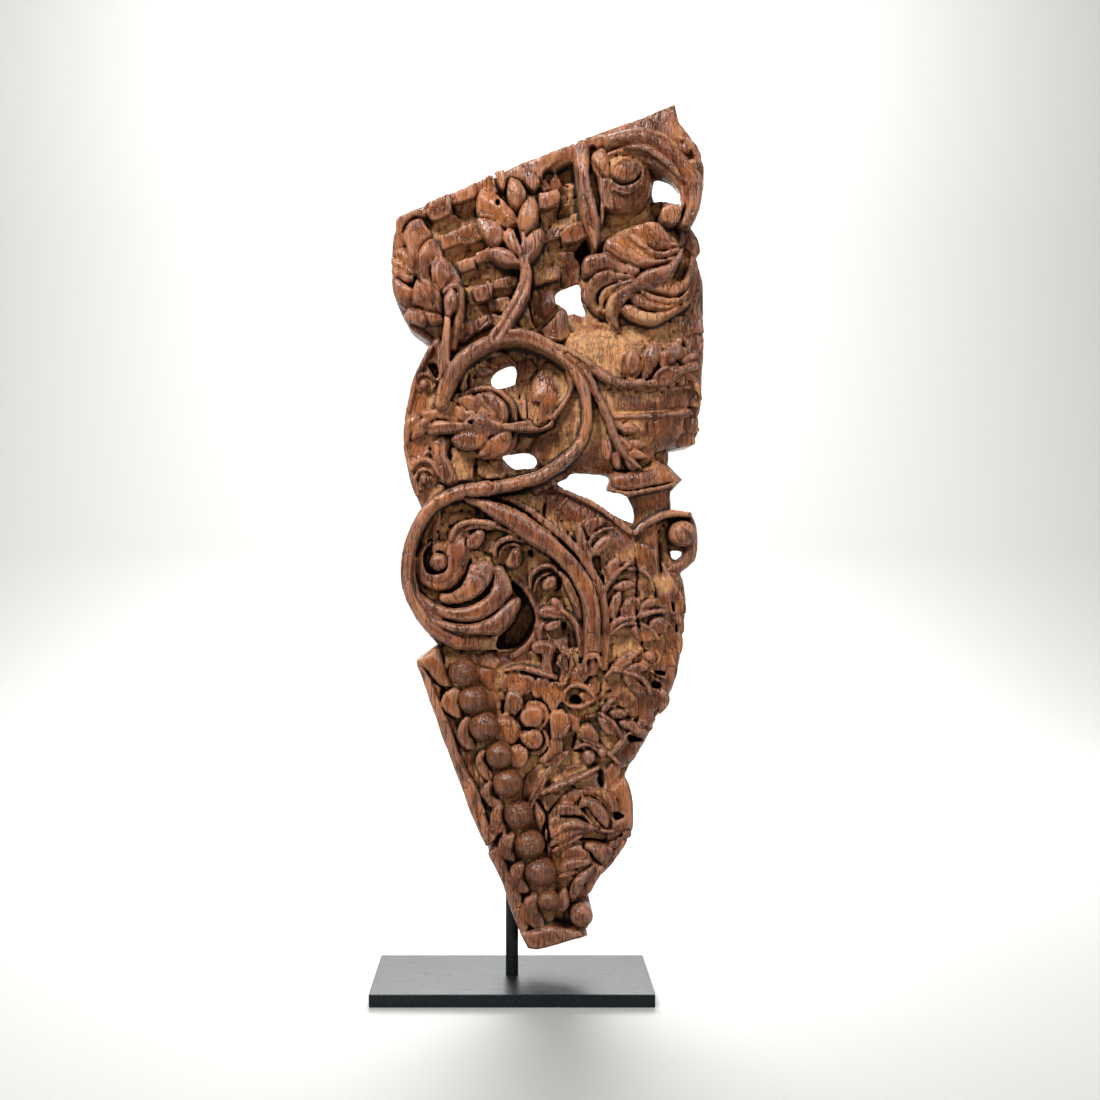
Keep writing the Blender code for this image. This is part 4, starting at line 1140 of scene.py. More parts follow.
@dataclass(frozen=True)
class VineLoop:
    """The long vine: its loop, the palmette inside it and the left rim of the block."""

    crest: float = 0.96

    def forms(self) -> list[Form]:
        """The rim, the palmette and the vine."""
        return [
            Mass(((430, 344), (441, 340), (444, 398), (440, 408), (446, 480), (430, 504), (420, 504), (410,
                478),
                  (403.5, 436), (408, 396), (418, 368)), 0.56, 0.60, 5),
            Band(((432, 346), (425, 359), (418, 374), (412, 392), (408, 410)), (4, 5, 5, 4), (0.66, 0.64),
                ROUND, 2,
                 gap=0.6, drop=0.05),
            Band(((405.5, 446), (407, 460), (411, 478), (417, 494)), (4, 4, 5), (0.63,), ROUND, 2, gap=0.6,
                drop=0.05),
            facet(((437, 347), (441, 350), (441, 366), (432, 367), (430, 362)), 0.60, gap=0.8),
            Mass(((430, 366), (438, 367), (439, 380), (433, 374)), 0.36, 0.38, 3, gap=1.0),
            Band(((432, 391), (436, 383), (432, 376), (425, 373.5), (418, 377), (416, 384), (419, 391)),
                 (3, 4, 4, 4, 3), (0.64,), ROUND, 2, gap=0.8, drop=0.06),
            Dome((424.5, 384), 5, 0.70, 4, gap=1.3, drop=0.1),
            facet(((411, 447), (425, 446), (429, 452), (424, 458), (413, 460)), 0.60, gap=0.8, drop=0.06),
            Band(((424, 455), (428, 452), (432, 456)), (3, 4, 2), (0.64,), ROUND, 2, gap=0.8, drop=0.06),
            Petal(((431, 440), (446, 436), (450, 441), (447, 454), (453, 465), (458, 480), (446, 486),
                (438, 478),
                   (432, 460)), ((440, 440), (441, 458), (447, 480)), (0.64, 0.68, 0.68), ROUND, 6),
            facet(((452, 448), (468, 448), (474, 460), (472, 478), (458, 480), (454, 462)), 0.58, (0.001, 0.0),
                  gap=0.8, drop=0.08),
            facet(((478, 461), (497, 459), (508, 474), (500, 478), (480, 477)), 0.60, (0.002, 0.001), gap=0.8,
                  drop=0.08),
            Groove(((486, 460), (498, 476)), 1.6, 2.4, 0.6), Groove(((491, 460), (503, 474)), 1.4, 1.8, 0.6),
            Band(((411, 470), (416, 463), (424, 460), (433, 464), (439, 476)), (3, 5, 6, 5, 3), (0.66,
                0.68), ROUND,
                 3, gap=1.0, drop=0.08),
            Band(((434, 484), (435, 477), (429, 471), (421, 470), (415, 476), (415, 484), (420, 489)),
                 (3, 4, 4, 4, 3), (0.64,), ROUND, 2, gap=0.8, drop=0.06),
            Dome((424, 479), 5.4, 0.68, 4, gap=1.3, drop=0.1),
            Band(((461, 388), (467, 373), (479, 360), (492, 353), (505, 354), (515, 362)), (4, 5, 5, 5, 3),
                 (0.62, 0.60), RIDGE, 3, gap=1.0, drop=0.10),
            Band(((470, 378), (474, 368), (484, 363), (497, 367)), (3, 4, 5, 3), (0.58, 0.60), RIDGE, 2.5,
                gap=0.8,
                 drop=0.08),
            Petal(((473, 372), (480, 367), (488, 367), (494, 371), (486, 376), (478, 376)), ((476, 371),
                (491, 371)),
                  (0.60, 0.60), ROUND, 3, gap=0.8, drop=0.08),
            facet(((469, 380), (480, 378), (487, 385), (480, 389), (470, 388)), 0.54, (0.002, 0.0), gap=0.6),
            Mass(((452, 398), (462, 391), (480, 387), (498, 389), (509, 398), (516, 412), (517, 432), (513,
                446),
                  (500, 460), (482, 459), (462, 449), (452, 438), (458, 420)), 0.58, 0.64, 8, gap=1.0),
            Band(((456, 396), (470, 390.5), (485, 388), (497, 390), (507, 398), (513.5, 408), (516, 420)),
                 (3, 5, 6, 6, 6, 5, 4), (0.72, 0.74), ROUND, 3, gap=0.8, drop=0.06),
            Band(((515.5, 434), (512.5, 444), (506, 452), (498, 459)), (4, 5, 5, 3), (0.72,), ROUND, 3, gap=0.8,
                 drop=0.06),
            Petal(((403.5, 428), (406, 420), (413, 416), (421, 416), (417, 424), (411, 434), (409, 444),
                (404, 444)),
                  ((413, 418), (407, 430), (406, 442)), (0.70, 0.70, 0.66), ROUND, 5, gap=1.0),
            Petal(((411, 439), (414, 428), (421, 419), (428, 417), (430, 423), (424, 433), (416, 438)),
                  ((424, 419), (415, 431), (413, 438)), (0.74, 0.73, 0.68), RIDGE, 4, gap=1.0),
            Petal(((420, 412), (430, 409), (442, 408.5), (454, 414), (465, 420), (452, 420.5), (438, 417.5),
                   (428, 420)), ((424, 413), (440, 412.5), (462, 419)), (0.72, 0.76, 0.80), RIDGE, 3.5,
                   gap=0.9),
            Petal(((427, 428), (434, 420.5), (446, 420.5), (458, 421.5), (466, 423), (467, 428.5), (458, 431.5),
                   (446, 433.5), (434, 434.5), (427, 435)), ((430, 429), (448, 426), (464, 426)),
                  (0.72, 0.77, 0.80), ROUND, 5, gap=0.9),
            Petal(((441, 404), (446, 400), (452, 400.5), (460, 406), (469, 411), (476, 413), (469, 417),
                (463, 421),
                   (453, 416.5), (445, 411)), ((445, 404), (458, 410), (472, 415)), (0.74, 0.78, 0.80),
                   ROUND, 4,
                  gap=0.9),
            Petal(((452, 398.5), (460, 395.5), (468, 394), (474, 395), (478.5, 402), (484, 411), (480, 413),
                   (471, 410.5), (461, 405)), ((458, 398), (470, 401), (480, 410)), (0.77, 0.80, 0.80),
                   ROUND, 4,
                  gap=0.9),
            Petal(((476, 394), (480, 393), (486, 402), (493, 411), (501, 420), (494, 418), (486, 411),
                (480, 403)),
                  ((478, 395), (487, 407), (498, 418)), (0.78, 0.82, 0.84), RIDGE, 2.5, gap=0.8),
            Petal(((481, 392.5), (488, 391), (495, 393.5), (502, 399), (507, 406), (509, 414), (508, 421),
                   (502, 421.5), (494, 412), (487, 403)), ((486, 393), (497, 403), (506, 419)),
                  (0.80, 0.85, 0.86), ROUND, 5, gap=1.0),
            Petal(((451, 438), (457, 432.5), (466, 430), (476, 433), (487, 437.5), (485, 443), (480, 447.5),
                   (471, 449.5), (460, 447.5), (454, 443.5)), ((455, 438), (468, 440), (484, 439)),
                  (0.76, 0.81, 0.83), ROUND, 5.5, gap=1.0),
            Petal(((478, 454), (482, 446), (490, 437.5), (500, 431), (510, 429.5), (511.5, 438), (508.5, 447),
                   (502, 454), (494, 457.5), (484, 458)), ((482, 452), (492, 441), (508, 432)),
                  (0.80, 0.86, 0.88), RIDGE, 5, gap=1.0),
            Petal(((462, 423), (466, 418.5), (474, 414), (484, 411), (492, 415.5), (500, 421), (508, 424),
                   (513, 426.5), (506, 429.5), (498, 431.5), (490, 435), (484, 436.5), (474, 432), (466,
                   429.5)),
                  ((467, 423), (486, 422), (510, 426)), (0.84, 0.90, 0.93), RIDGE, 5.5, gap=1.1),
            Opening(((467.5, 422), (470, 420), (473, 421.5), (472.5, 424.5), (469.5, 425)), 0.70),
            Band(((506, 426.5), (520, 426.5), (534, 425.5), (547, 421)), (6, 9, 12, 14), (0.90, 0.88,
                0.84), TWIN, 4),
            Petal(((529, 400), (533, 378), (545, 362), (558, 362), (568, 378), (569, 396), (560, 408),
                (548, 424),
                   (536, 428), (530, 416)), ((546, 372), (549, 398), (542, 418)), (0.64, 0.70, 0.66), ROUND, 12,
                  gap=1.0, drop=0.1),
            Petal(((528, 450), (536, 438), (552, 427), (566, 421), (580, 420), (582, 438), (572, 456),
                (556, 468),
                   (540, 466), (531, 460)), ((546, 448), (570, 434)), (0.66, 0.68), ROUND, 12, gap=0.8,
                   drop=0.1),
            facet(((519, 362), (532, 360), (536, 368), (528, 379), (520, 378)), 0.56, (0.002, 0.0), gap=0.8),
            facet(((519, 402), (525, 402), (526, 419), (520, 418)), 0.58, gap=0.8),
            facet(((528, 404), (538, 404), (538, 420), (529, 420)), 0.60, gap=0.8),
            facet(((517, 384), (528, 382), (529, 398), (520, 399)), 0.50, (0.002, 0.0), gap=0.8),
            facet(((541, 353), (555, 354), (560, 362), (546, 362), (541, 366)), 0.56, gap=0.8),
            Petal(((563, 352), (572, 362), (578, 380), (580, 400), (579, 420), (562, 421), (554, 419),
                (566, 404),
                   (572, 388), (570, 372)), ((570, 362), (575, 388), (570, 412)), (0.72, 0.72, 0.66), ROUND, 5,
                  gap=0.5, drop=0.05),
            Groove(((560, 421), (570, 419), (580, 419.5)), 2.0, 4, 0.66),
            Band(((552, 346), (562, 357), (569, 371), (572, 386), (568, 397), (560, 408), (553, 416)),
                 (4, 6, 6, 6, 5, 5, 6), (0.88, 0.86, 0.80), RIDGE, 4, gap=1.0),
            Petal(((584, 384), (590, 392), (596, 412), (604, 432), (606, 440), (602, 452), (596, 470),
                (580, 470),
                   (576, 456), (586, 440), (590, 420), (588, 400)), ((588, 396), (594, 424), (590, 458)),
                  (0.80, 0.78, 0.70), ROUND, 7, gap=0.5, drop=0.05),
            Band(((441, 402), (447, 383), (458, 363), (476, 348), (494, 339), (512, 335.5), (530, 337.5),
                (548, 346),
                  (566, 358), (579, 374), (586, 394), (588, 416), (584, 436), (575, 451), (560, 464), (544,
                  474),
                  (526, 481), (504, 486), (484, 489), (462, 491)),
                 (14, 15, 15, 15, 14, 14, 15, 14, 10, 10, 11, 12, 13, 13, 13, 14), (0.90, self.crest,
                 self.crest,
                                                                          self.crest), ROUND, 7, floor=0.35),
            Band(((470, 348), (490, 337), (510, 331.5), (528, 332.5), (546, 340), (562, 352)), (2, 4, 5, 5,
                4, 3),
                 (0.92, 0.96, 0.96), ROUND, 2, gap=0.5, drop=0.03, floor=0.35),
            Groove(((585, 376), (592, 396), (592, 420), (586, 440)), 1.8, 2.0, 0.93),
        ]


@dataclass(frozen=True)
class Pot:
    """The round pot behind the vine, its bead row, and the branches over it."""

    level: float = 0.76

    def forms(self) -> list[Form]:
        """The pot's body, then what lies over it."""
        leaves = 0.88
        return [
            Mass(((528, 366), (546, 356), (580, 356), (590, 420), (566, 470), (532, 452), (519, 412)),
                 0.40, 0.54, 30),
            Mass(((562, 344), (570, 333), (580, 326), (596, 321), (640, 320), (671, 319), (702, 322), (702,
                400),
                  (697, 434), (694, 444), (667, 450), (648, 470), (610, 475), (570, 473), (556, 450), (552,
                  390)),
                 0.50, self.level, 34),
            facet(((620, 330), (671, 321), (679, 338), (661, 346), (645, 341), (628, 345), (616, 338)), 0.68,
                  (0.0, 0.003), gap=0.6, drop=0.03),
            Groove(((646, 326), (649, 337)), 1.6, 1.6, 0.7), Groove(((653, 325), (655, 336)), 1.4, 1.4, 0.7),
            facet(((671, 318), (701, 316), (702, 332), (694, 334), (684, 339), (675, 333)), 0.66, (0.0, 0.001),
                  gap=0.9),
            facet(((683, 340), (695, 335), (702, 338), (702, 350), (690, 350), (683, 346)), 0.64, gap=0.8),
            Band(((683, 338), (690, 345), (690, 352)), (3, 5, 3), (0.70,), ROUND, 2, gap=0.6, drop=0.05),
            Band(((674, 384), (682, 375), (691, 376), (697, 386), (700, 400)), (4, 7, 8, 7, 5), (0.76,
                0.74), ROUND, 4,
                 gap=0.8, drop=0.06),
            facet(((689, 391), (696, 394), (700, 404), (697, 412), (690, 408)), 0.66, gap=0.8),
            facet(((688, 408), (697, 410), (697, 417), (689, 416)), 0.58, gap=0.8),
            facet(((685, 419), (695, 418), (699, 430), (688, 432), (684, 428)), 0.62, gap=1.0),
            facet(((682, 435), (694, 433), (695, 443), (679, 447), (677, 442)), 0.60, gap=1.0),
            Band(((606, 386.5), (630, 389), (660, 389), (690, 387)), (3, 3.5, 3), (0.80, 0.82, 0.76),
                ROUND, 1.5,
                 gap=0.7, drop=0.04),
            Groove(((612, 412), (640, 411.5), (668, 409), (692, 406.5)), 2.2, 4.0, 0.76),
            Band(((616, 417), (650, 415.5), (690, 411)), (5, 5), (0.80, 0.78), ROUND, 1.5, gap=0.0),
            Petal(((619.5, 362), (622, 353), (628, 347.5), (636, 344.5), (641.5, 349), (643, 362), (639, 373),
                   (631, 379), (623.5, 374)), ((631, 350), (632, 374)), (0.84, 0.84), RIMMED, 4, gap=1.0),
            Petal(((626, 358), (630, 350.5), (635.5, 347.5), (639.5, 353), (640, 362), (637, 370), (631, 373.5),
                   (626.5, 367)), ((633, 352), (633, 370)), (0.90, 0.90), ROUND, 4, gap=1.1, drop=0.07),
            Petal(((643.5, 353), (648, 343.5), (653, 338.5), (657, 337), (660.5, 342), (661.5, 352),
                (658.5, 362),
                   (652, 370.5), (646, 377), (641, 375), (643, 364)), ((655, 340), (652, 356), (645, 373)),
                  (0.88, 0.93, 0.88), RIDGE, 5),
            Petal(((661.5, 353), (668, 345), (675, 340.5), (681, 341), (683, 349), (679, 358), (671, 364.5),
                   (664, 368), (660, 363)), ((678, 343), (671, 354), (664, 365)), (0.86, 0.90, 0.88), ROUND, 5),
            Petal(((681, 359), (689, 353.5), (699, 351), (698, 357), (689, 362), (681, 364)),
                  ((696, 353), (684, 361)), (0.76, 0.80), ROUND, 3, gap=1.0),
            Petal(((636, 383), (648, 380), (657, 375), (663, 368), (671, 365.5), (680, 366), (690, 361),
                (698, 360),
                   (701, 366), (691, 371), (681, 376), (671, 384), (660, 386.5), (646, 387)),
                  ((640, 383), (658, 380), (672, 374), (698, 364)), (0.86, 0.90, 0.90, 0.78), ROUND, 5,
                  gap=1.0),
            Band(((655, 376), (662, 369), (669, 367)), (3, 4, 3), (0.93,), ROUND, 1.5, gap=0.0),
            Groove(((670, 370), (671, 382)), 1.4, 1.6, 0.88),
            Band(((558, 347), (571, 353), (584, 361), (597, 371), (612, 380), (626, 383), (642, 381)),
                 (7, 8, 9, 10, 10, 9, 8), (0.94, 0.92, 0.90), ROUND, 4.5, gap=1.1),
            Petal(((602, 448), (604, 439), (608, 436.5), (612, 443), (612.5, 453), (608.5, 461), (604, 457)),
                  ((608, 440), (607.5, 457)), (0.84, 0.84), ROUND, 4.5, gap=1.6, drop=0.08),
            Petal(((611, 454), (616, 451.5), (620.5, 453), (622, 461), (620.5, 469), (614, 465)),
                  ((615, 454), (619, 466)), (0.82, 0.82), ROUND, 4, gap=1.1),
            Petal(((619, 428.5), (624, 423), (631, 421.5), (637, 425), (641, 430), (634, 433.5), (625, 433.5)),
                  ((622, 428), (638, 429.5)), (0.87, 0.85), ROUND, 4.5, gap=1.2),
            Petal(((617, 436), (625, 437.5), (630, 443), (635, 451), (630, 455), (623, 449)),
                  ((620, 439), (632, 452)), (0.87, 0.86), ROUND, 4, gap=1.1),
            Petal(((630, 440), (638, 439), (647, 444), (641, 448), (633, 447)), ((633, 442), (645, 444.5)),
                  (0.85, 0.84), ROUND, 3.5, gap=1.1),
            Petal(((629, 450), (638, 449.5), (645, 453.5), (649, 458), (639, 459.5), (631, 457)),
                  ((633, 453), (646, 457)), (0.84, 0.83), ROUND, 3.5, gap=1.1),
            Petal(((626, 459), (636, 462), (644, 467.5), (637, 471), (629, 468)), ((630, 462), (641, 467.5)),
                  (0.83, 0.82), ROUND, 3.5, gap=1.1),
            Band(((566, 356), (580, 366), (590, 380), (599, 398), (607, 414), (613, 430), (620, 446), (630,
                458),
                  (642, 469)), (6, 8, 8, 8, 8, 8, 8, 6, 4), (0.93, 0.93, 0.90, 0.86), RIDGE, 4.5, gap=1.1),
        ]


@dataclass(frozen=True)
class Baluster:
    """The bell, neck, capital and hook at the right edge."""

    neck_level: float = 0.64

    def forms(self) -> list[Form]:
        """The turned parts and the hook with its ball."""
        return [
            Band(((649, 486), (651, 508), (654, 530)), (44, 37, 35), (self.neck_level, self.neck_level - 0.02),
                 ROUND, 20, gap=0, floor=0.02),
            Groove(((656, 492), (655, 516)), 1.4, 1.2, 0.64), Groove(((664, 490), (664, 508)), 1.4, 1.2, 0.64),
            Mass(((653, 455), (660, 452), (668, 450), (667, 464), (660, 466)), 0.48, 0.56, 6, gap=0.8),
            Petal(((607, 490), (610, 475.5), (617, 471.5), (632, 471.5), (645, 468), (657, 459), (669, 467),
                   (684, 478.5), (676, 484), (660, 487), (645, 491), (630, 493), (615, 492)),
                  ((618, 482), (640, 480), (664, 476)), (0.80, 0.84, 0.76), ROUND, 16, gap=1.0, drop=0.2),
            facet(((607, 490.5), (610, 475), (616, 472), (614, 484), (613, 493)), 0.66, (0.02, 0.0)),
            Band(((612, 491), (626, 494), (642, 491), (660, 487), (678, 481)), (4, 6, 6, 5, 3), (0.78,
                0.82, 0.72),
                 ROUND, 3, gap=0.6, drop=0.04, floor=0.02),
            Groove(((616, 489), (632, 491), (650, 487), (676, 481)), 1.8, 3.0, 0.8),
            Mass(((637, 533), (646, 526), (657, 521), (659, 545), (660, 574), (664, 600), (640, 600), (637,
                570)),
                 0.66, 0.72, 8, gap=1.0),
            Mass(((659, 530), (667, 528), (669, 552), (676, 566), (672, 580), (662, 574)), 0.48, 0.56, 5,
                gap=1.0),
            Petal(((690, 512), (697, 522), (699, 536), (698, 550), (694, 561), (686, 569), (679, 574),
                (668, 570),
                   (672, 563), (680, 560), (684, 552), (690, 540)), ((692, 518), (694, 540), (688, 560),
                   (674, 568)),
                  (0.66, 0.74, 0.76, 0.66), ROUND, 8, gap=1.0, floor=0.05),
            Band(((636.5, 534), (645, 525.5), (655, 519), (666, 515), (678, 513.5), (690, 513.5)),
                 (5, 7, 8, 8, 7, 5), (0.80, 0.84, 0.80), ROUND, 3.5, gap=1.0, floor=0.02),
            Groove(((660, 522), (672, 518), (686, 517)), 1.4, 2.0, 0.8),
            Dome((684.3, 533), 13.3, 0.86, 10, floor=0.1, gap=1.3), Dome((684.5, 536), 4.4, 0.895, 2.5,
                gap=0.9, drop=0.03),
        ]


@dataclass(frozen=True)
class LargeScroll:
    """The large scroll at the left, its volute and the petals under it."""

    crest: float = 0.94

    def volute(self) -> list[Form]:
        """The body that winds into the spiral, the spiral's rings and its middle boss."""
        return [
            Petal(((449, 531), (454, 524), (463, 521), (469, 528), (471, 545), (469, 562), (463, 577),
                (453, 588),
                   (440, 591), (427, 588), (418, 580), (414.5, 568), (416, 555), (423, 545), (434, 540),
                   (447, 540)),
                  ((460, 528), (461, 548), (458, 570), (446, 583), (430, 581), (421, 568), (424, 552),
                  (434, 545)),
                  (0.76, 0.80, 0.80, 0.80, 0.78, 0.76, 0.76, 0.74), ROUND, 10),
            Opening(((433, 543), (429, 546), (424, 552), (422.5, 561), (425, 569), (431, 574), (439, 573.5),
                     (446, 571), (449, 564), (448.3, 556), (444, 551.5), (438, 550.3), (432, 552)), 0.52),
            Groove(((420, 569), (426, 578), (435, 583), (445, 582.5), (452, 577), (456, 568), (456, 558),
                (451, 547)),
                   2.0, 2.6, 0.78),
            Groove(((424, 580), (436, 587), (449, 585), (458, 576), (461, 562)), 1.4, 1.6, 0.78),
            Dome((438.5, 561.5), 9, 0.84, 6, gap=0.4, drop=0.04),
        ]

    def forms(self) -> list[Form]:
        """The ground, the petals, the volute and the outer band."""
        return [
            Mass(((418, 540), (440, 512), (470, 503), (500, 520), (512, 560), (508, 600), (494, 634),
                  (458, 646), (424, 628), (406, 592), (406, 560)), 0.54, 0.62, 16),
            facet(((433, 512), (441, 511), (440, 524), (434, 536), (425, 546), (418, 556), (418, 544),
                (424, 528)),
                  0.66, (0.008, 0.0), gap=0.6),
            facet(((442, 503), (456, 500), (470, 505), (480, 514), (466, 510), (450, 509), (442, 512)), 0.62,
                  gap=0.6, drop=0.06),
            Petal(((448, 517), (454, 513), (462, 511), (471, 512), (479, 520), (468, 520), (458, 521),
                (451, 526)),
                  ((453, 518), (474, 517)), (0.66, 0.68), ROUND, 4, gap=0.8),
            facet(((440, 527), (447, 524), (450, 532), (449, 540), (440, 537)), 0.64, gap=0.7),
            *self.volute(),
            facet(((487, 534), (500, 532), (508, 536), (498, 542), (492, 552), (484, 550), (489, 542)), 0.64,
                  (0.0, 0.004), gap=0.8, drop=0.06),
            facet(((471, 551), (481, 551.5), (491, 559), (484, 560.5), (473, 561)), 0.68, gap=0.8, drop=0.06),
            Band(((548, 552), (536, 544), (520, 535), (506, 529), (492, 524.5), (478, 521.5), (465, 522.5),
                (456, 528),
                  (451, 539)), (3, 5, 6, 6, 7, 7, 6, 6, 4), (0.80, 0.82), ROUND, 3, gap=0.7, drop=0.05),
            Band(((494, 531), (484, 527.5), (473, 527), (464, 531), (460, 540)), (2, 3, 4, 4, 3), (0.78,),
                ROUND,
                 2, gap=0.6, drop=0.05),
            Petal(((466.5, 541), (469, 536), (474, 532), (480, 530), (485, 532), (485, 538), (481.5, 544),
                   (477, 548), (471, 549), (467.5, 546.5)), ((471, 545), (480, 534)), (0.80, 0.80), ROUND, 4,
                  gap=1.5, drop=0.12),
            Petal(((471, 563.5), (480, 561), (490.5, 561), (493, 567), (491.5, 577), (486.5, 587), (478, 595),
                   (467, 601), (455, 604.5), (443, 604.5), (438.5, 599.5), (441, 594), (450, 593.5), (458,
                   589.5),
                   (464, 582), (468, 572)), ((483, 566), (479, 579), (470, 590), (456, 597), (444, 599.5)),
                  (0.82, 0.90, 0.92, 0.88, 0.80), ROUND, 6, gap=1.4, drop=0.22),
            Petal(((494.5, 568), (501, 566.5), (507, 575), (511, 584), (513, 592), (506.5, 600.5), (498, 609.5),
                   (489, 615.5), (478, 620.5), (463, 622.5), (448, 620), (435, 614), (425, 606.5), (417, 598),
                   (414, 588), (421, 594), (430, 601), (440, 606), (452, 608.5), (467, 606.5), (480, 600.5),
                   (489.5, 592), (494, 580)),
                  ((500, 574), (500, 592), (487, 606), (465, 614.5), (440, 610), (422, 599)),
                  (0.82, 0.88, 0.90, 0.90, 0.86, 0.80), ROUND, 5, gap=1.0, drop=0.16),
            Groove(((442, 612), (458, 615), (474, 612), (490, 602), (500, 586)), 1.4, 1.6, 0.86),
            Petal(((514, 597), (521.5, 600), (520, 608), (514.5, 617), (506.5, 627), (497, 634.5), (482, 635),
                   (464, 635), (447, 632), (433, 626), (423, 617), (415, 605), (422, 606), (432, 614.5),
                   (446, 621.5),
                   (462, 625), (478, 623), (492, 616), (503, 606.5)),
                  ((516, 602), (506, 616), (490, 627), (465, 630), (442, 626), (425, 613)),
                  (0.82, 0.88, 0.92, 0.92, 0.90, 0.86), ROUND, 6, gap=1.1, drop=0.12),
            facet(((493, 636), (497, 634), (500, 642), (507, 650), (498, 652), (490, 646)), 0.70, gap=0.8),
            Band(((502, 648), (480, 644), (458, 642), (440, 634), (425, 621), (413, 601), (407, 580), (407,
                560),
                  (411.5, 540), (420.5, 521), (433.5, 505.5), (450, 495.5), (468, 490.5), (486, 487.5)),
                 (8, 16, 15, 13, 12, 12, 12, 12, 12, 12, 13, 13, 14, 15), (0.74, 0.84, 0.92,
                 *(self.crest,) * 5), ROUND,
                 6, gap=1.1),
            Band(((415, 558), (413.5, 570), (415, 585), (420, 599), (429, 610), (441, 619)), (2, 3, 4, 4, 3),
                 (0.84, 0.84), ROUND, 2, gap=0.7, drop=0.05),
        ]


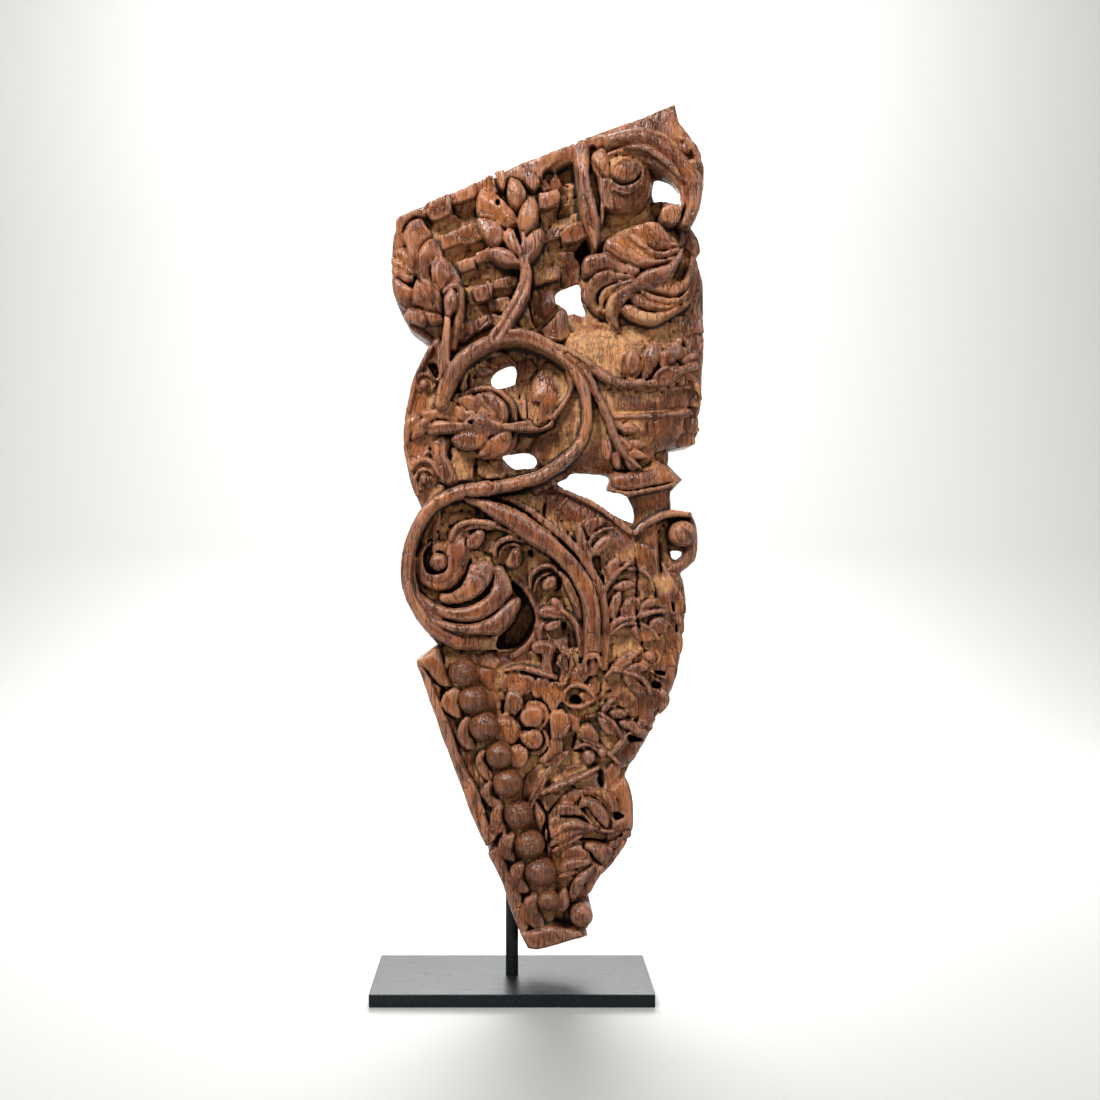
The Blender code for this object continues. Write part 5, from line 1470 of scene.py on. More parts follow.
@dataclass(frozen=True)
class Trunk:
    """The thick stem that runs down the middle, and the small scrolls beside it."""

    crest: float = 0.96

    def scrolls(self) -> list[Form]:
        """The small scrolls and lens-shaped seeds on the stem's left."""
        return [
            facet(((504, 566), (520, 567), (529, 576), (525, 590), (514, 580), (507, 573)), 0.60, gap=0.7),
            facet(((522, 553), (536, 550), (548, 558), (553, 566), (540, 565), (529, 571), (522, 565)), 0.64,
                  (0.004, 0.0), gap=0.7),
            facet(((534, 595), (546, 592.5), (560, 592), (564, 600), (552, 598), (545, 603), (538, 606)),
                0.62, gap=0.7),
            facet(((547, 634), (562, 630), (567, 632), (568, 648), (562, 651), (549, 640)), 0.68, (0.0, 0.004),
                  gap=0.8),
            facet(((568, 628), (576, 634), (577, 647), (569, 648)), 0.56, gap=0.7),
            facet(((514, 661), (521, 656), (531, 653), (541, 657), (541, 664), (537, 668), (527, 667),
                (519, 666)),
                  0.64, gap=0.9),
            facet(((566, 650), (577, 649), (580, 655), (578, 664), (573, 665), (572, 657)), 0.72, gap=0.8),
            Band(((512, 657), (522, 651), (530, 644.5), (536, 634), (537.5, 620), (535, 608), (528, 598)),
                 (6, 7, 7, 6, 5, 4, 3), (0.66, 0.64), FLAT, 2, gap=0.5, drop=0.04),
            Band(((494.5, 556), (496, 547), (503, 541), (513, 538), (526, 540), (540, 546), (552, 555),
                (560, 562)),
                 (4, 5, 6, 6, 6, 6, 5, 3), (0.78, 0.80), ROUND, 3, gap=0.9, drop=0.08),
            Band(((500, 560), (501, 552), (507, 546), (516, 544.5), (524, 549)), (2, 3, 4, 4, 2), (0.74,),
                ROUND,
                 2, gap=0.6, drop=0.06),
            Petal(((505, 564), (508, 556), (512.5, 550), (518, 548), (522.5, 552), (522.5, 560), (519, 566.5),
                   (513, 569.5), (507, 568)), ((509, 564), (518, 553)), (0.78, 0.78), ROUND, 5, gap=1.5,
                   drop=0.12),
            Band(((530, 588), (530.5, 578), (536, 571), (545, 566.5), (553, 567.5), (559, 575)), (3, 4, 5,
                5, 5, 3),
                 (0.78, 0.80), ROUND, 3, gap=0.8, drop=0.06),
            Band(((534, 592), (536, 583), (542, 576.5), (551, 573.5)), (2, 3, 3, 2), (0.74,), ROUND, 2, gap=0.6,
                 drop=0.05),
            Petal(((541.5, 587), (545, 580.5), (550.5, 577), (556, 578), (556.5, 584), (553, 589), (547, 591),
                   (543, 590.5)), ((545, 588), (554, 580)), (0.80, 0.80), ROUND, 4, gap=1.4, drop=0.12),
            Petal(((560, 583), (567, 591), (572, 602), (575, 613), (569, 612), (563, 604), (560, 594)),
                  ((563, 590), (570, 608)), (0.66, 0.66), RIDGE, 4, gap=0.8),
            Petal(((557.5, 571), (566, 574.5), (573.5, 583), (579, 594), (583, 607), (583, 621), (578, 618),
                   (573, 606), (568, 595), (562, 583)), ((562, 574), (573, 587), (579.5, 604), (581.5, 618)),
                  (0.80, 0.84, 0.84, 0.78), ROUND, 4, gap=1.0),
            Petal(((549.5, 602), (554, 598), (560, 602), (565, 609), (569, 617), (561, 613), (554, 609)),
                  ((553, 602), (566, 614)), (0.80, 0.80), RIDGE, 3, gap=1.0),
            Petal(((538.5, 611), (545, 606.5), (553, 608), (560, 613), (568, 618), (559, 620.5), (549, 619),
                   (540, 617)), ((543, 612), (565, 618)), (0.82, 0.80), ROUND, 4, gap=1.1),
            Band(((539.5, 646), (540, 632), (543, 624), (550, 619.5)), (3, 4, 4, 3), (0.72,), ROUND, 2, gap=0.8,
                 drop=0.06),
            Petal(((544.5, 628), (548, 622.5), (555, 619.5), (562, 620), (561, 625.5), (556, 629.5), (550, 632),
                   (546, 631.5)), ((548, 629), (559, 622)), (0.78, 0.78), ROUND, 4, gap=1.4, drop=0.12),
            Band(((562, 611), (571, 617.5), (577.5, 628), (581, 641), (581.5, 656)), (4, 5, 6, 6, 4),
                (0.84, 0.84),
                 ROUND, 3, gap=1.1),
            Petal(((531, 648.5), (534, 644), (541, 641), (550, 642.5), (555.5, 648), (553.5, 654), (552.5, 664),
                   (555, 675), (547, 676), (540, 672), (542, 663), (541.5, 655.5), (535, 654.5)),
                  ((535, 648.5), (547, 649), (547.5, 672)), (0.80, 0.80, 0.76), ROUND, 6, gap=1.3),
            Band(((562, 651.5), (570, 656), (573, 664), (570, 673), (567.5, 680), (561, 685), (551, 684)),
                 (4, 5, 6, 6, 6, 5, 3), (0.80, 0.82), ROUND, 3, gap=0.9),
            Petal(((558, 658), (562, 655), (566.5, 659), (568.5, 666), (567.5, 672), (562, 668), (559, 663)),
                  ((562, 658), (566, 669)), (0.86, 0.84), ROUND, 3, gap=0.9, drop=0.08),
            Band(((556.5, 663), (561.5, 667), (563.5, 674), (560, 681)), (3, 4, 4, 3), (0.76,), ROUND, 2,
                gap=0.8),
            Petal(((570.5, 677), (573, 668), (580, 664), (588.5, 666), (590, 673), (586, 680.5), (580, 685),
                   (573, 684.5), (564, 689)), ((586, 669), (576, 676), (567, 687)), (0.82, 0.82, 0.76),
                   RIDGE, 5,
                  gap=1.1),
            Petal(((588, 690), (590, 681), (596, 677.5), (600.5, 681), (600.5, 690), (596, 698), (591, 696)),
                  ((594, 681), (595, 694)), (0.74, 0.74), ROUND, 4, gap=1.0),
        ]

    def forms(self) -> list[Form]:
        """The scrolls, then the stem with the flat band on its right."""
        return [
            Mass(((488, 534), (520, 530), (556, 552), (582, 590), (586, 652), (564, 690), (532, 676), (510,
                660),
                  (516, 652), (534, 642), (538, 612), (526, 594), (505, 572), (492, 562)), 0.58, 0.64, 6),
            *self.scrolls(),
            Opening(((528, 550), (533, 550.5), (534, 557), (530, 557)), 0.36),
            Opening(((557, 579), (562, 579), (561.5, 589), (557, 589)), 0.38),
            Opening(((562, 621), (566, 622), (566, 628), (561, 628)), 0.38),
            Opening(((553, 659), (557, 652), (556.5, 664), (558.5, 671), (561, 675), (558, 680), (553.5,
                675)), 0.36),
            Band(((498, 497.5), (515, 502.5), (530, 510.5), (543.5, 520.5), (557, 531.5), (570, 543), (582,
                556.5),
                  (592, 572), (600, 590), (604.5, 610), (605.5, 636), (604.5, 668)), (2, 5, 7, 8, 8, 8, 8,
                  8, 8, 8, 9, 8),
                 (0.74, 0.80, 0.82, 0.82, 0.80), FLAT, 3, gap=1.0),
            Band(((466, 499), (482, 503.5), (500, 513), (519, 523), (538, 536), (555, 549.5), (568, 563.5),
                  (578, 577), (586, 592.5), (590.5, 608), (592, 626), (592, 654)),
                 (5, 12, 19, 21, 21, 18, 15, 14.5, 15, 16.5, 17.5, 17), (0.84, 0.93, self.crest,
                 self.crest, 0.94, 0.90),
                 ROUND, 8, floor=0.3, gap=1.5),
            Band(((543, 531), (558, 544), (571, 557.5), (582.5, 571.5), (591, 587), (596.5, 603), (599.5, 622)),
                 (2, 4, 4, 4, 5, 4, 2), (0.95, 0.97, 0.97, 0.93), ROUND, 1.5, gap=0.6, drop=0.025),
            Groove(((545, 546), (562, 564), (575, 588), (582, 612), (584, 646)), 1.8, 1.8, 0.9),
            Groove(((592, 612), (592.5, 648)), 1.5, 1.4, 0.93),
            Band(((586.5, 672), (585.5, 662), (590, 655), (597.5, 657), (601, 667)), (3, 4, 5, 5, 3),
                (0.88, 0.90),
                 ROUND, 3, gap=1.2),
            Petal(((588.5, 676), (588.5, 665), (592, 659.5), (597, 662), (599, 669), (598, 676)),
                  ((594, 663), (594, 674)), (0.84, 0.80), ROUND, 4, gap=0.8, drop=0.06),
        ]


@dataclass(frozen=True)
class RightDome:
    """The swelling lower right of the block, with its sprays of small leaves."""

    crown: float = 0.72

    def edge_tufts(self) -> list[Form]:
        """The worn, ragged foliage down the right edge."""
        high = self.crown
        return [
            Petal(outline, (outline[0], outline[2]), (high - 0.02, high + extra), RIDGE, 3, gap=0.9, drop=0.06)
            for outline, extra in (
                (((661, 561), (670, 572), (681, 594), (675, 598), (668, 584)), 0.0),
                (((663, 583), (670, 592), (677, 617), (671, 614), (666, 600)), 0.02),
                (((679, 590), (685, 599), (686.5, 613), (681, 612), (677, 602)), -0.02),
                (((670, 618), (680, 615), (685, 622), (684.5, 634), (676, 629)), 0.0),
                (((671, 632), (680, 634), (684, 640), (681, 655), (675, 646)), -0.01),
                (((663, 636), (670, 648), (677, 666), (671, 668), (665, 655)), 0.0),
                (((666, 668), (678, 667), (676, 678), (668, 691), (663, 684)), -0.02),
                (((652, 709), (660, 700), (669, 696), (668, 706), (657, 717)), 0.0),
                (((638, 716), (648, 721), (653, 728), (646, 733), (639, 726)), 0.02),
                (((656, 692), (664, 689), (667, 697), (658, 701), (652, 698)), 0.03),
            )
        ]

    def sprays(self) -> list[Form]:
        """The four sprays, each with its stem and leaves."""
        high = 0.84
        leaves = (
            ((575, 530), (579, 525.5), (583.5, 530), (587, 540), (586.5, 549), (580, 550), (576.5, 541)),
            ((607, 575), (606.5, 567), (610, 561), (615.5, 557.5), (621, 557), (621, 564), (617, 572),
                (611, 580)),
            ((612, 581), (618, 572), (625, 564), (632, 560), (637.5, 561), (633, 567), (626, 570), (619, 576)),
            ((611.5, 588.5), (616, 583), (625, 580), (634, 580.5), (636, 585), (630, 589), (621, 590.5)),
            ((611, 618), (610, 606), (614, 595), (621, 591), (622, 600), (619, 611), (615, 619)),
            ((622.5, 620), (621, 610), (625.5, 601), (632, 596.5), (639, 596), (642.5, 600), (641, 607),
                (636, 615),
             (631, 620)),
            ((641, 607), (646, 600.5), (653, 597.5), (659, 600), (655.5, 606), (648, 610), (640, 612)),
            ((631.5, 629), (636, 625), (646, 626), (653, 631.5), (658, 639), (650, 642), (642, 642.5),
                (635.5, 636)),
            ((649.5, 624), (653, 619.5), (660, 619), (666, 623), (669, 629), (664.5, 634), (658, 634),
                (652, 630)),
            ((610, 669), (619, 659), (628, 652), (636, 649.5), (642, 652), (635, 659), (626, 664.5), (617,
                671)),
            ((625, 670), (633, 664.5), (643, 662.5), (651, 667), (643, 672), (632, 674)),
            ((622.5, 677), (628, 675), (636, 678.5), (643, 685.5), (648, 692.5), (641, 695.5), (633, 692.5),
             (627, 686)),
            ((598.5, 718), (604, 718.5), (611, 725), (618, 735), (610, 736), (603, 731), (599, 725)),
            ((600, 710), (603, 704), (610, 698.5), (619, 698), (612, 706.5), (606, 713)),
            ((609, 713), (617, 709.5), (624.5, 711), (629, 716), (620, 720), (612, 718)),
            ((619, 722), (630, 720.5), (640, 726), (647, 732), (640, 736.5), (630, 731), (622, 728)),
            ((579, 731), (587, 724), (594, 728), (600, 738), (596, 745), (586, 743), (578, 739)),
        )
        made = [
            Petal(outline, (outline[1], outline[len(outline) // 2 + 1]), (high, high - 0.02), ROUND, 4, gap=1.2)
            for outline in leaves
        ]
        stems = (
            (((585, 542), (588, 553), (591, 566), (596, 578)), (5, 7, 6, 4), high),
            (((603.5, 598), (606, 588), (613, 579), (621, 570), (632, 566.5)), (4, 5, 5, 4, 2), high + 0.03),
            (((630, 569), (642, 570), (650, 578), (656, 594)), (5, 5, 3, 2), 0.80),
            (((609.5, 634), (612.5, 625), (622, 619), (634, 618), (646, 614), (657, 611.5), (667, 611)),
             (5, 6, 6, 6, 6, 5, 5), high + 0.02),
            (((612, 634), (620, 626.5), (632, 622.5), (644, 625), (653, 631), (659, 640)), (3, 4, 4, 4, 3),
                high + 0.01),
            (((655, 617), (664, 619.5), (672, 627)), (2, 3, 2), 0.82),
            (((605, 678), (612, 672), (622, 667.5), (631, 662)), (3, 5, 5, 3), high),
            (((612, 671), (628, 673.5), (639, 676.5), (647, 683.5), (651, 694)), (3, 5, 6, 6, 4), high + 0.02),
            (((649, 670), (658, 674), (666, 678)), (2, 3, 2), 0.80), (((652, 677), (660, 681)), (3, 2), 0.78),
            (((599, 714), (608, 718.5), (616, 726.5), (622, 737)), (3, 4, 5, 3), high),
            (((630, 734), (622, 742), (613, 753)), (4, 6, 4), 0.80),
            (((590, 550), (590, 541), (595, 534), (604, 529), (614, 527.5)), (3, 4, 4, 4, 2), 0.80),
            (((583, 740), (596, 745), (607, 752), (620, 764)), (4, 5, 5, 3), 0.80),
            (((575, 749), (586, 745), (597, 750), (603, 760)), (3, 4, 4, 3), 0.78),
        )
        made += [Band(path, widths, (crest,), ROUND, 3, gap=1.0) for path, widths, crest in stems]
        return made

    def forms(self) -> list[Form]:
        """The swelling ground, its rim and the sprays."""
        return [
            Mass(((558, 486), (586, 499), (614, 515), (636, 532), (655, 568), (681, 574), (686, 610),
                  (677, 676), (655, 722), (630, 766), (604, 760), (590, 700), (590, 600), (572, 540), (548,
                  520),
                  (520, 508), (500, 498), (540, 492)), 0.58, self.crown, 30),
            Band(((556, 486.5), (575, 494), (590, 502), (605, 511), (619, 522), (632, 532.5)), (5, 7, 7, 7,
                7, 5),
                 (0.74, 0.74), FLAT, 2, gap=0.9, drop=0.05),
            facet(((500, 500), (517, 498), (520, 506), (530, 515), (516, 508), (504, 504)), 0.62, gap=0.6),
            Petal(((534, 496), (546, 497), (544.5, 510), (548, 523), (538, 516), (534, 506)), ((540, 498),
                (542, 518)),
                  (0.66, 0.64), ROUND, 4, gap=0.9, drop=0.1),
            Petal(((549, 493), (557, 496), (552, 508), (553, 519), (560, 530), (552, 527), (546.5, 516),
                (547, 504)),
                  ((552, 496), (549.5, 512), (555, 527)), (0.70, 0.70, 0.68), ROUND, 4, gap=1.3, drop=0.14),
            Band(((567, 498), (560, 507), (557, 518), (562, 530), (575, 544)), (3, 5, 6, 5, 3), (0.72,
                0.72), ROUND, 3,
                 gap=1.2, drop=0.12),
            Groove(((573, 500), (588, 510), (601, 519), (612, 525)), 1.5, 2.0, 0.7),
            Groove(((567, 506), (577, 506), (586, 513)), 1.4, 1.4, 0.7), Groove(((562, 514), (566, 528)),
                1.4, 1.2, 0.7),
            facet(((592, 556), (600, 553), (600, 576), (594, 580), (592, 568)), 0.62, gap=0.6),
            facet(((636, 575), (645, 574), (653, 588), (656, 600), (645, 598), (636, 592)), 0.72, gap=0.5,
                drop=0.03),
            facet(((613, 640), (625, 634), (642, 646), (660, 648), (640, 648), (620, 655), (612, 660)), 0.73,
                  gap=0.5, drop=0.02),
            Petal(((583, 524), (591, 518.5), (600, 517), (608, 521), (603, 525.5), (595, 529.5), (590, 537),
                   (586, 532)), ((588, 523), (604, 520)), (0.80, 0.80), ROUND, 4, gap=1.2),
            Petal(((591, 552), (593.5, 545), (599, 538.5), (605, 534.5), (612, 533.5), (612, 541), (608, 548.5),
                   (602, 554), (595, 556)), ((596, 552), (608, 538)), (0.83, 0.83), RIMMED, 4, gap=1.5,
                   drop=0.12),
            *self.edge_tufts(),
            *self.sprays(),
            Band(((656.5, 651), (660, 657), (656, 663), (649, 664), (643, 659), (643, 651), (650, 648)),
                (2, 3, 3, 3, 2),
                 (0.76,), ROUND, 1.5, gap=0.5, drop=0.04),
            Dome((650.5, 656.3), 5.6, 0.82, 4, gap=1.2), Dome((664.5, 611.5), 3.2, 0.90, 2, gap=0.7, drop=0.05),
            Dome((624.5, 714.5), 2.2, 0.90, 1.5, gap=0.5, drop=0.03),
            Dome((589, 758), 7, 0.80, 4), Dome((603, 753), 5, 0.80, 4), Dome((642, 723), 5, 0.80, 3),
            Petal(((631, 742), (642, 739), (641, 748), (636, 757), (627, 761), (622, 752)), ((637, 743),
                (629, 757)),
                  (0.70, 0.68), ROUND, 5, gap=1.0),
            Opening(((628, 734), (640, 738.5), (642, 741), (630, 742)), 0.40),
            Opening(((600.5, 577), (604, 575), (604.5, 590), (602, 592)), 0.42),
            Opening(((653, 670), (663, 671), (665, 675.5), (657, 673.5)), 0.46),
            Opening(((651.5, 681), (660, 683), (660, 688), (653, 688)), 0.48),
            Opening(((675, 627), (677, 622), (678.5, 629), (676.5, 633)), 0.42),
            Opening(((671, 601), (674, 603), (675, 612), (672, 610)), 0.46),
            Opening(((653, 712), (658, 709), (658, 716), (654, 718)), 0.48),
            Groove(((641, 567), (648, 577), (654, 588), (657, 599)), 1.5, 2.2, 0.72),
            Groove(((608, 702), (622, 708), (636, 710)), 1.8, 2.4, 0.72), Groove(((620, 700), (622, 705)),
                2.4, 4, 0.7),
            Groove(((618, 720), (632, 718), (646, 727)), 1.8, 3.0, 0.74),
        ]


@dataclass(frozen=True)
class BossBorder:
    """The smooth slanted border at the lower left, with half discs inside it."""

    def forms(self) -> list[Form]:
        """The wedge's ground, the border and the half discs."""
        discs = (
            ((440.5, 702), (445, 693), (455, 688.5), (462, 690), (458, 703), (461, 719), (452, 718), (444,
                711)),
            ((456, 736), (459.5, 724), (466, 717), (472, 718), (468, 732), (476, 748), (468, 750), (460, 745)),
            ((475.5, 762), (479.5, 752), (487, 749), (484, 762), (494, 778), (488, 781), (480, 776)),
            ((480.5, 792), (486, 784), (493, 782), (492, 795), (502, 804), (494, 808.5), (486, 804)),
            ((489.5, 819), (493.5, 808), (503, 805), (502, 820), (507, 833), (499, 837), (492, 831)),
            ((498, 843), (505, 836), (515, 835), (513, 850), (515, 862.5), (505, 860), (499, 852)),
            ((510, 874), (514, 866), (525, 864), (523, 880), (530, 892), (520, 894), (511.5, 887)),
            ((521.5, 912), (526, 899), (538, 895), (537, 910), (545, 927), (536, 930.5), (526, 925)),
        )
        return [
            Mass(((441, 650), (500, 654), (560, 662), (600, 690), (622, 776), (598, 770), (556, 812),
                  (562, 896), (536, 936), (506, 892), (488, 848), (466, 776)), 0.58, 0.64, 14),
            facet(((432, 681), (441, 689), (440, 704), (446, 716), (455, 722), (458, 745), (462, 750),
                (470, 752),
                   (472, 770), (478, 782), (480, 800), (488, 812), (490, 838), (484, 820), (470, 778),
                   (455, 744),
                   (438, 702)), 0.68, gap=0.4, drop=0.03),
            facet(((447, 655), (458, 652), (474, 656), (476, 664), (464, 660), (452, 664), (446, 672)), 0.66,
                  gap=0.7, drop=0.05),
            facet(((478, 655), (492, 655), (500, 662), (494, 668), (480, 664)), 0.66, (0.0, 0.003),
                gap=0.7, drop=0.05),
            facet(((482, 670), (496, 670), (502, 680), (498, 692), (488, 688), (480, 680)), 0.66, gap=0.6,
                drop=0.04),
            Mass(((415, 661), (420, 664), (431, 679), (440, 704), (448, 724), (456, 744), (463, 762), (471,
                779),
                  (477, 795), (484, 814), (492, 832), (500, 834), (497, 841), (488, 851), (470, 812), (455,
                  770),
                  (440, 735), (424, 686)), 0.76, 0.82, 4, gap=0.8, smooth=False, tilt=(0.001, 0.0)),
            facet(((467, 779), (473, 781), (479, 797), (484, 812), (478, 813), (472, 803), (467, 790)),
                0.84, gap=0.6,
                  drop=0.04),
            Petal(((416, 662), (426, 655), (438, 648), (442, 661), (447, 676), (451, 688), (443, 688),
                (434, 681),
                   (426, 670)), ((424, 661), (438, 664), (446, 684)), (0.80, 0.82, 0.78), ROUND, 6, gap=0.9),
            Groove(((431, 678), (438, 686), (451, 688)), 2.0, 4, 0.78),
            Petal(((488, 854), (499, 845), (505, 862), (512, 880), (519, 893), (524, 909), (529, 927),
                (520, 935),
                   (508, 901), (497, 873)), ((492, 855), (508, 885), (523, 928)), (0.80, 0.82, 0.80), ROUND, 6,
                  gap=1.0),
            Groove(((507, 864), (512, 884), (522, 904), (526, 922)), 1.6, 2.4, 0.78),
            *(Petal(disc, (disc[2], disc[0], disc[6]), (0.82, 0.82, 0.80), ROUND, 3.5, gap=1.3, drop=0.1)
              for disc in discs),
        ]


@dataclass(frozen=True)
class FlowerFace:
    """The flower beside the bosses and the eye-shaped leaf to its right."""

    def forms(self) -> list[Form]:
        """The petals, the folded bands round them and the eye shape."""
        plates = (
            (((500, 686), (505, 675), (514, 671.5), (524, 674), (534, 678), (530, 691), (522, 695), (512, 690),
              (504, 694)), 0.74),
            (((535.5, 679), (545, 678), (550, 681), (545, 692), (537, 698), (531, 693)), 0.76),
            (((549, 683), (560, 687), (567, 690), (561, 701), (552, 712), (545, 702), (541, 695)), 0.76),
            (((550.5, 713), (562, 710), (569, 716), (569.5, 730), (562, 739.5), (552, 739.5), (550, 726)),
                0.78),
            (((550.5, 741.5), (561, 740.5), (562.5, 750), (555, 756), (546, 764), (539, 761), (547, 752)),
                0.76),
            (((545, 765.5), (555, 757), (563, 752), (569, 753), (557, 769), (549, 774)), 0.74),
            (((524, 778), (532, 770), (541, 763), (547, 768), (538, 783), (528, 800), (522, 796)), 0.68),
            (((570, 713), (577, 710), (580, 722), (576, 734), (571, 730)), 0.72),
            (((580, 707), (592, 708), (596, 716), (584, 718)), 0.70),
        )
        petals = (
            ((504.5, 703), (506.5, 694.5), (512, 690), (518.5, 692), (522.5, 700), (521.5, 708), (516, 714.5),
             (509, 713), (505.5, 709)),
            ((520.5, 719), (521.5, 711), (526.5, 706.5), (534, 705.5), (541, 709), (543.5, 716), (541, 723.5),
             (535, 728), (526, 727)),
            ((520.5, 738), (525, 731.5), (533, 729), (540, 732), (543.5, 739), (541.5, 746), (535, 750),
             (526.5, 747)),
            ((509, 752), (516, 746.5), (526, 747.5), (529, 756), (525.5, 764.5), (519, 770), (511, 767)),
        )
        return [
            Dome((507, 731), 14.5, 0.78, 4, gap=1.0),
            Band(((505, 671.5), (518, 668), (530, 669.5), (542, 673.5), (556, 678)), (3, 5, 6, 6, 4),
                (0.78, 0.80),
                 ROUND, 3, gap=0.8, drop=0.06),
            *(Petal(outline, (outline[0], outline[len(outline) // 2]), (level, level), FLAT, 3, gap=1.0,
                drop=0.08)
              for outline, level in plates),
            Band(((552, 768), (545, 777), (538, 789), (531, 801), (527, 812)), (5, 8, 9, 9, 5), (0.74,),
                TWIN, 4,
                 gap=1.0),
            Band(((523, 708), (528, 703.5), (535, 702.5), (543, 706.5), (547, 714), (545, 723), (538, 729)),
                 (2, 4, 4, 4, 4, 3), (0.78,), ROUND, 2, gap=0.7, drop=0.06),
            Band(((542, 729), (547, 737), (546, 746), (539, 753), (530, 753)), (2, 4, 4, 4, 2), (0.76,),
                ROUND, 2,
                 gap=0.7, drop=0.06),
            *(Petal(outline, (outline[0], outline[4]), (0.84, 0.84), ROUND, 4.5, gap=1.2, drop=0.1)
              for outline in petals),
            Opening(((501.5, 703), (504.3, 701), (504, 711), (502, 714)), 0.36),
            Opening(((515, 717), (518, 711.5), (521, 708), (520, 713.5), (517, 718)), 0.36),
            Opening(((519.5, 740.5), (524, 744), (526.5, 748), (521.5, 746)), 0.36),
            Opening(((523, 727), (533, 726), (531, 730), (525, 730)), 0.50),
            facet(((563, 700), (568, 708), (580, 711), (596, 704), (604, 694), (612, 688), (606, 700),
                (596, 712),
                   (576, 716), (566, 712)), 0.66, gap=0.6, drop=0.05),
            Band(((563, 701), (566, 691), (574, 685.5), (584, 687), (591, 693), (596, 702)), (3, 4, 5, 5, 4, 2),
                 (0.80, 0.82), ROUND, 2.5, gap=1.2, drop=0.12),
            Band(((564, 702), (570, 706.5), (581, 707.5), (594, 702)), (3, 4, 4, 2), (0.78,), ROUND, 2,
                gap=0.8),
            Petal(((579, 694), (586, 691.5), (592, 697), (592, 701), (585, 703.5), (580, 700)), ((582,
                696), (590, 699)),
                  (0.76, 0.74), ROUND, 3, gap=0.7, drop=0.05),
            Opening(((569, 699), (572.5, 694.5), (578, 695.5), (582, 700.5), (579, 704.5), (572.5, 703.5)),
                0.40),
            Opening(((574.5, 733), (577, 733), (575.5, 742), (572, 750.5), (570.5, 746)), 0.40),
            Opening(((572, 750.5), (580, 749), (584, 751.5), (574, 752.5)), 0.44),
        ]


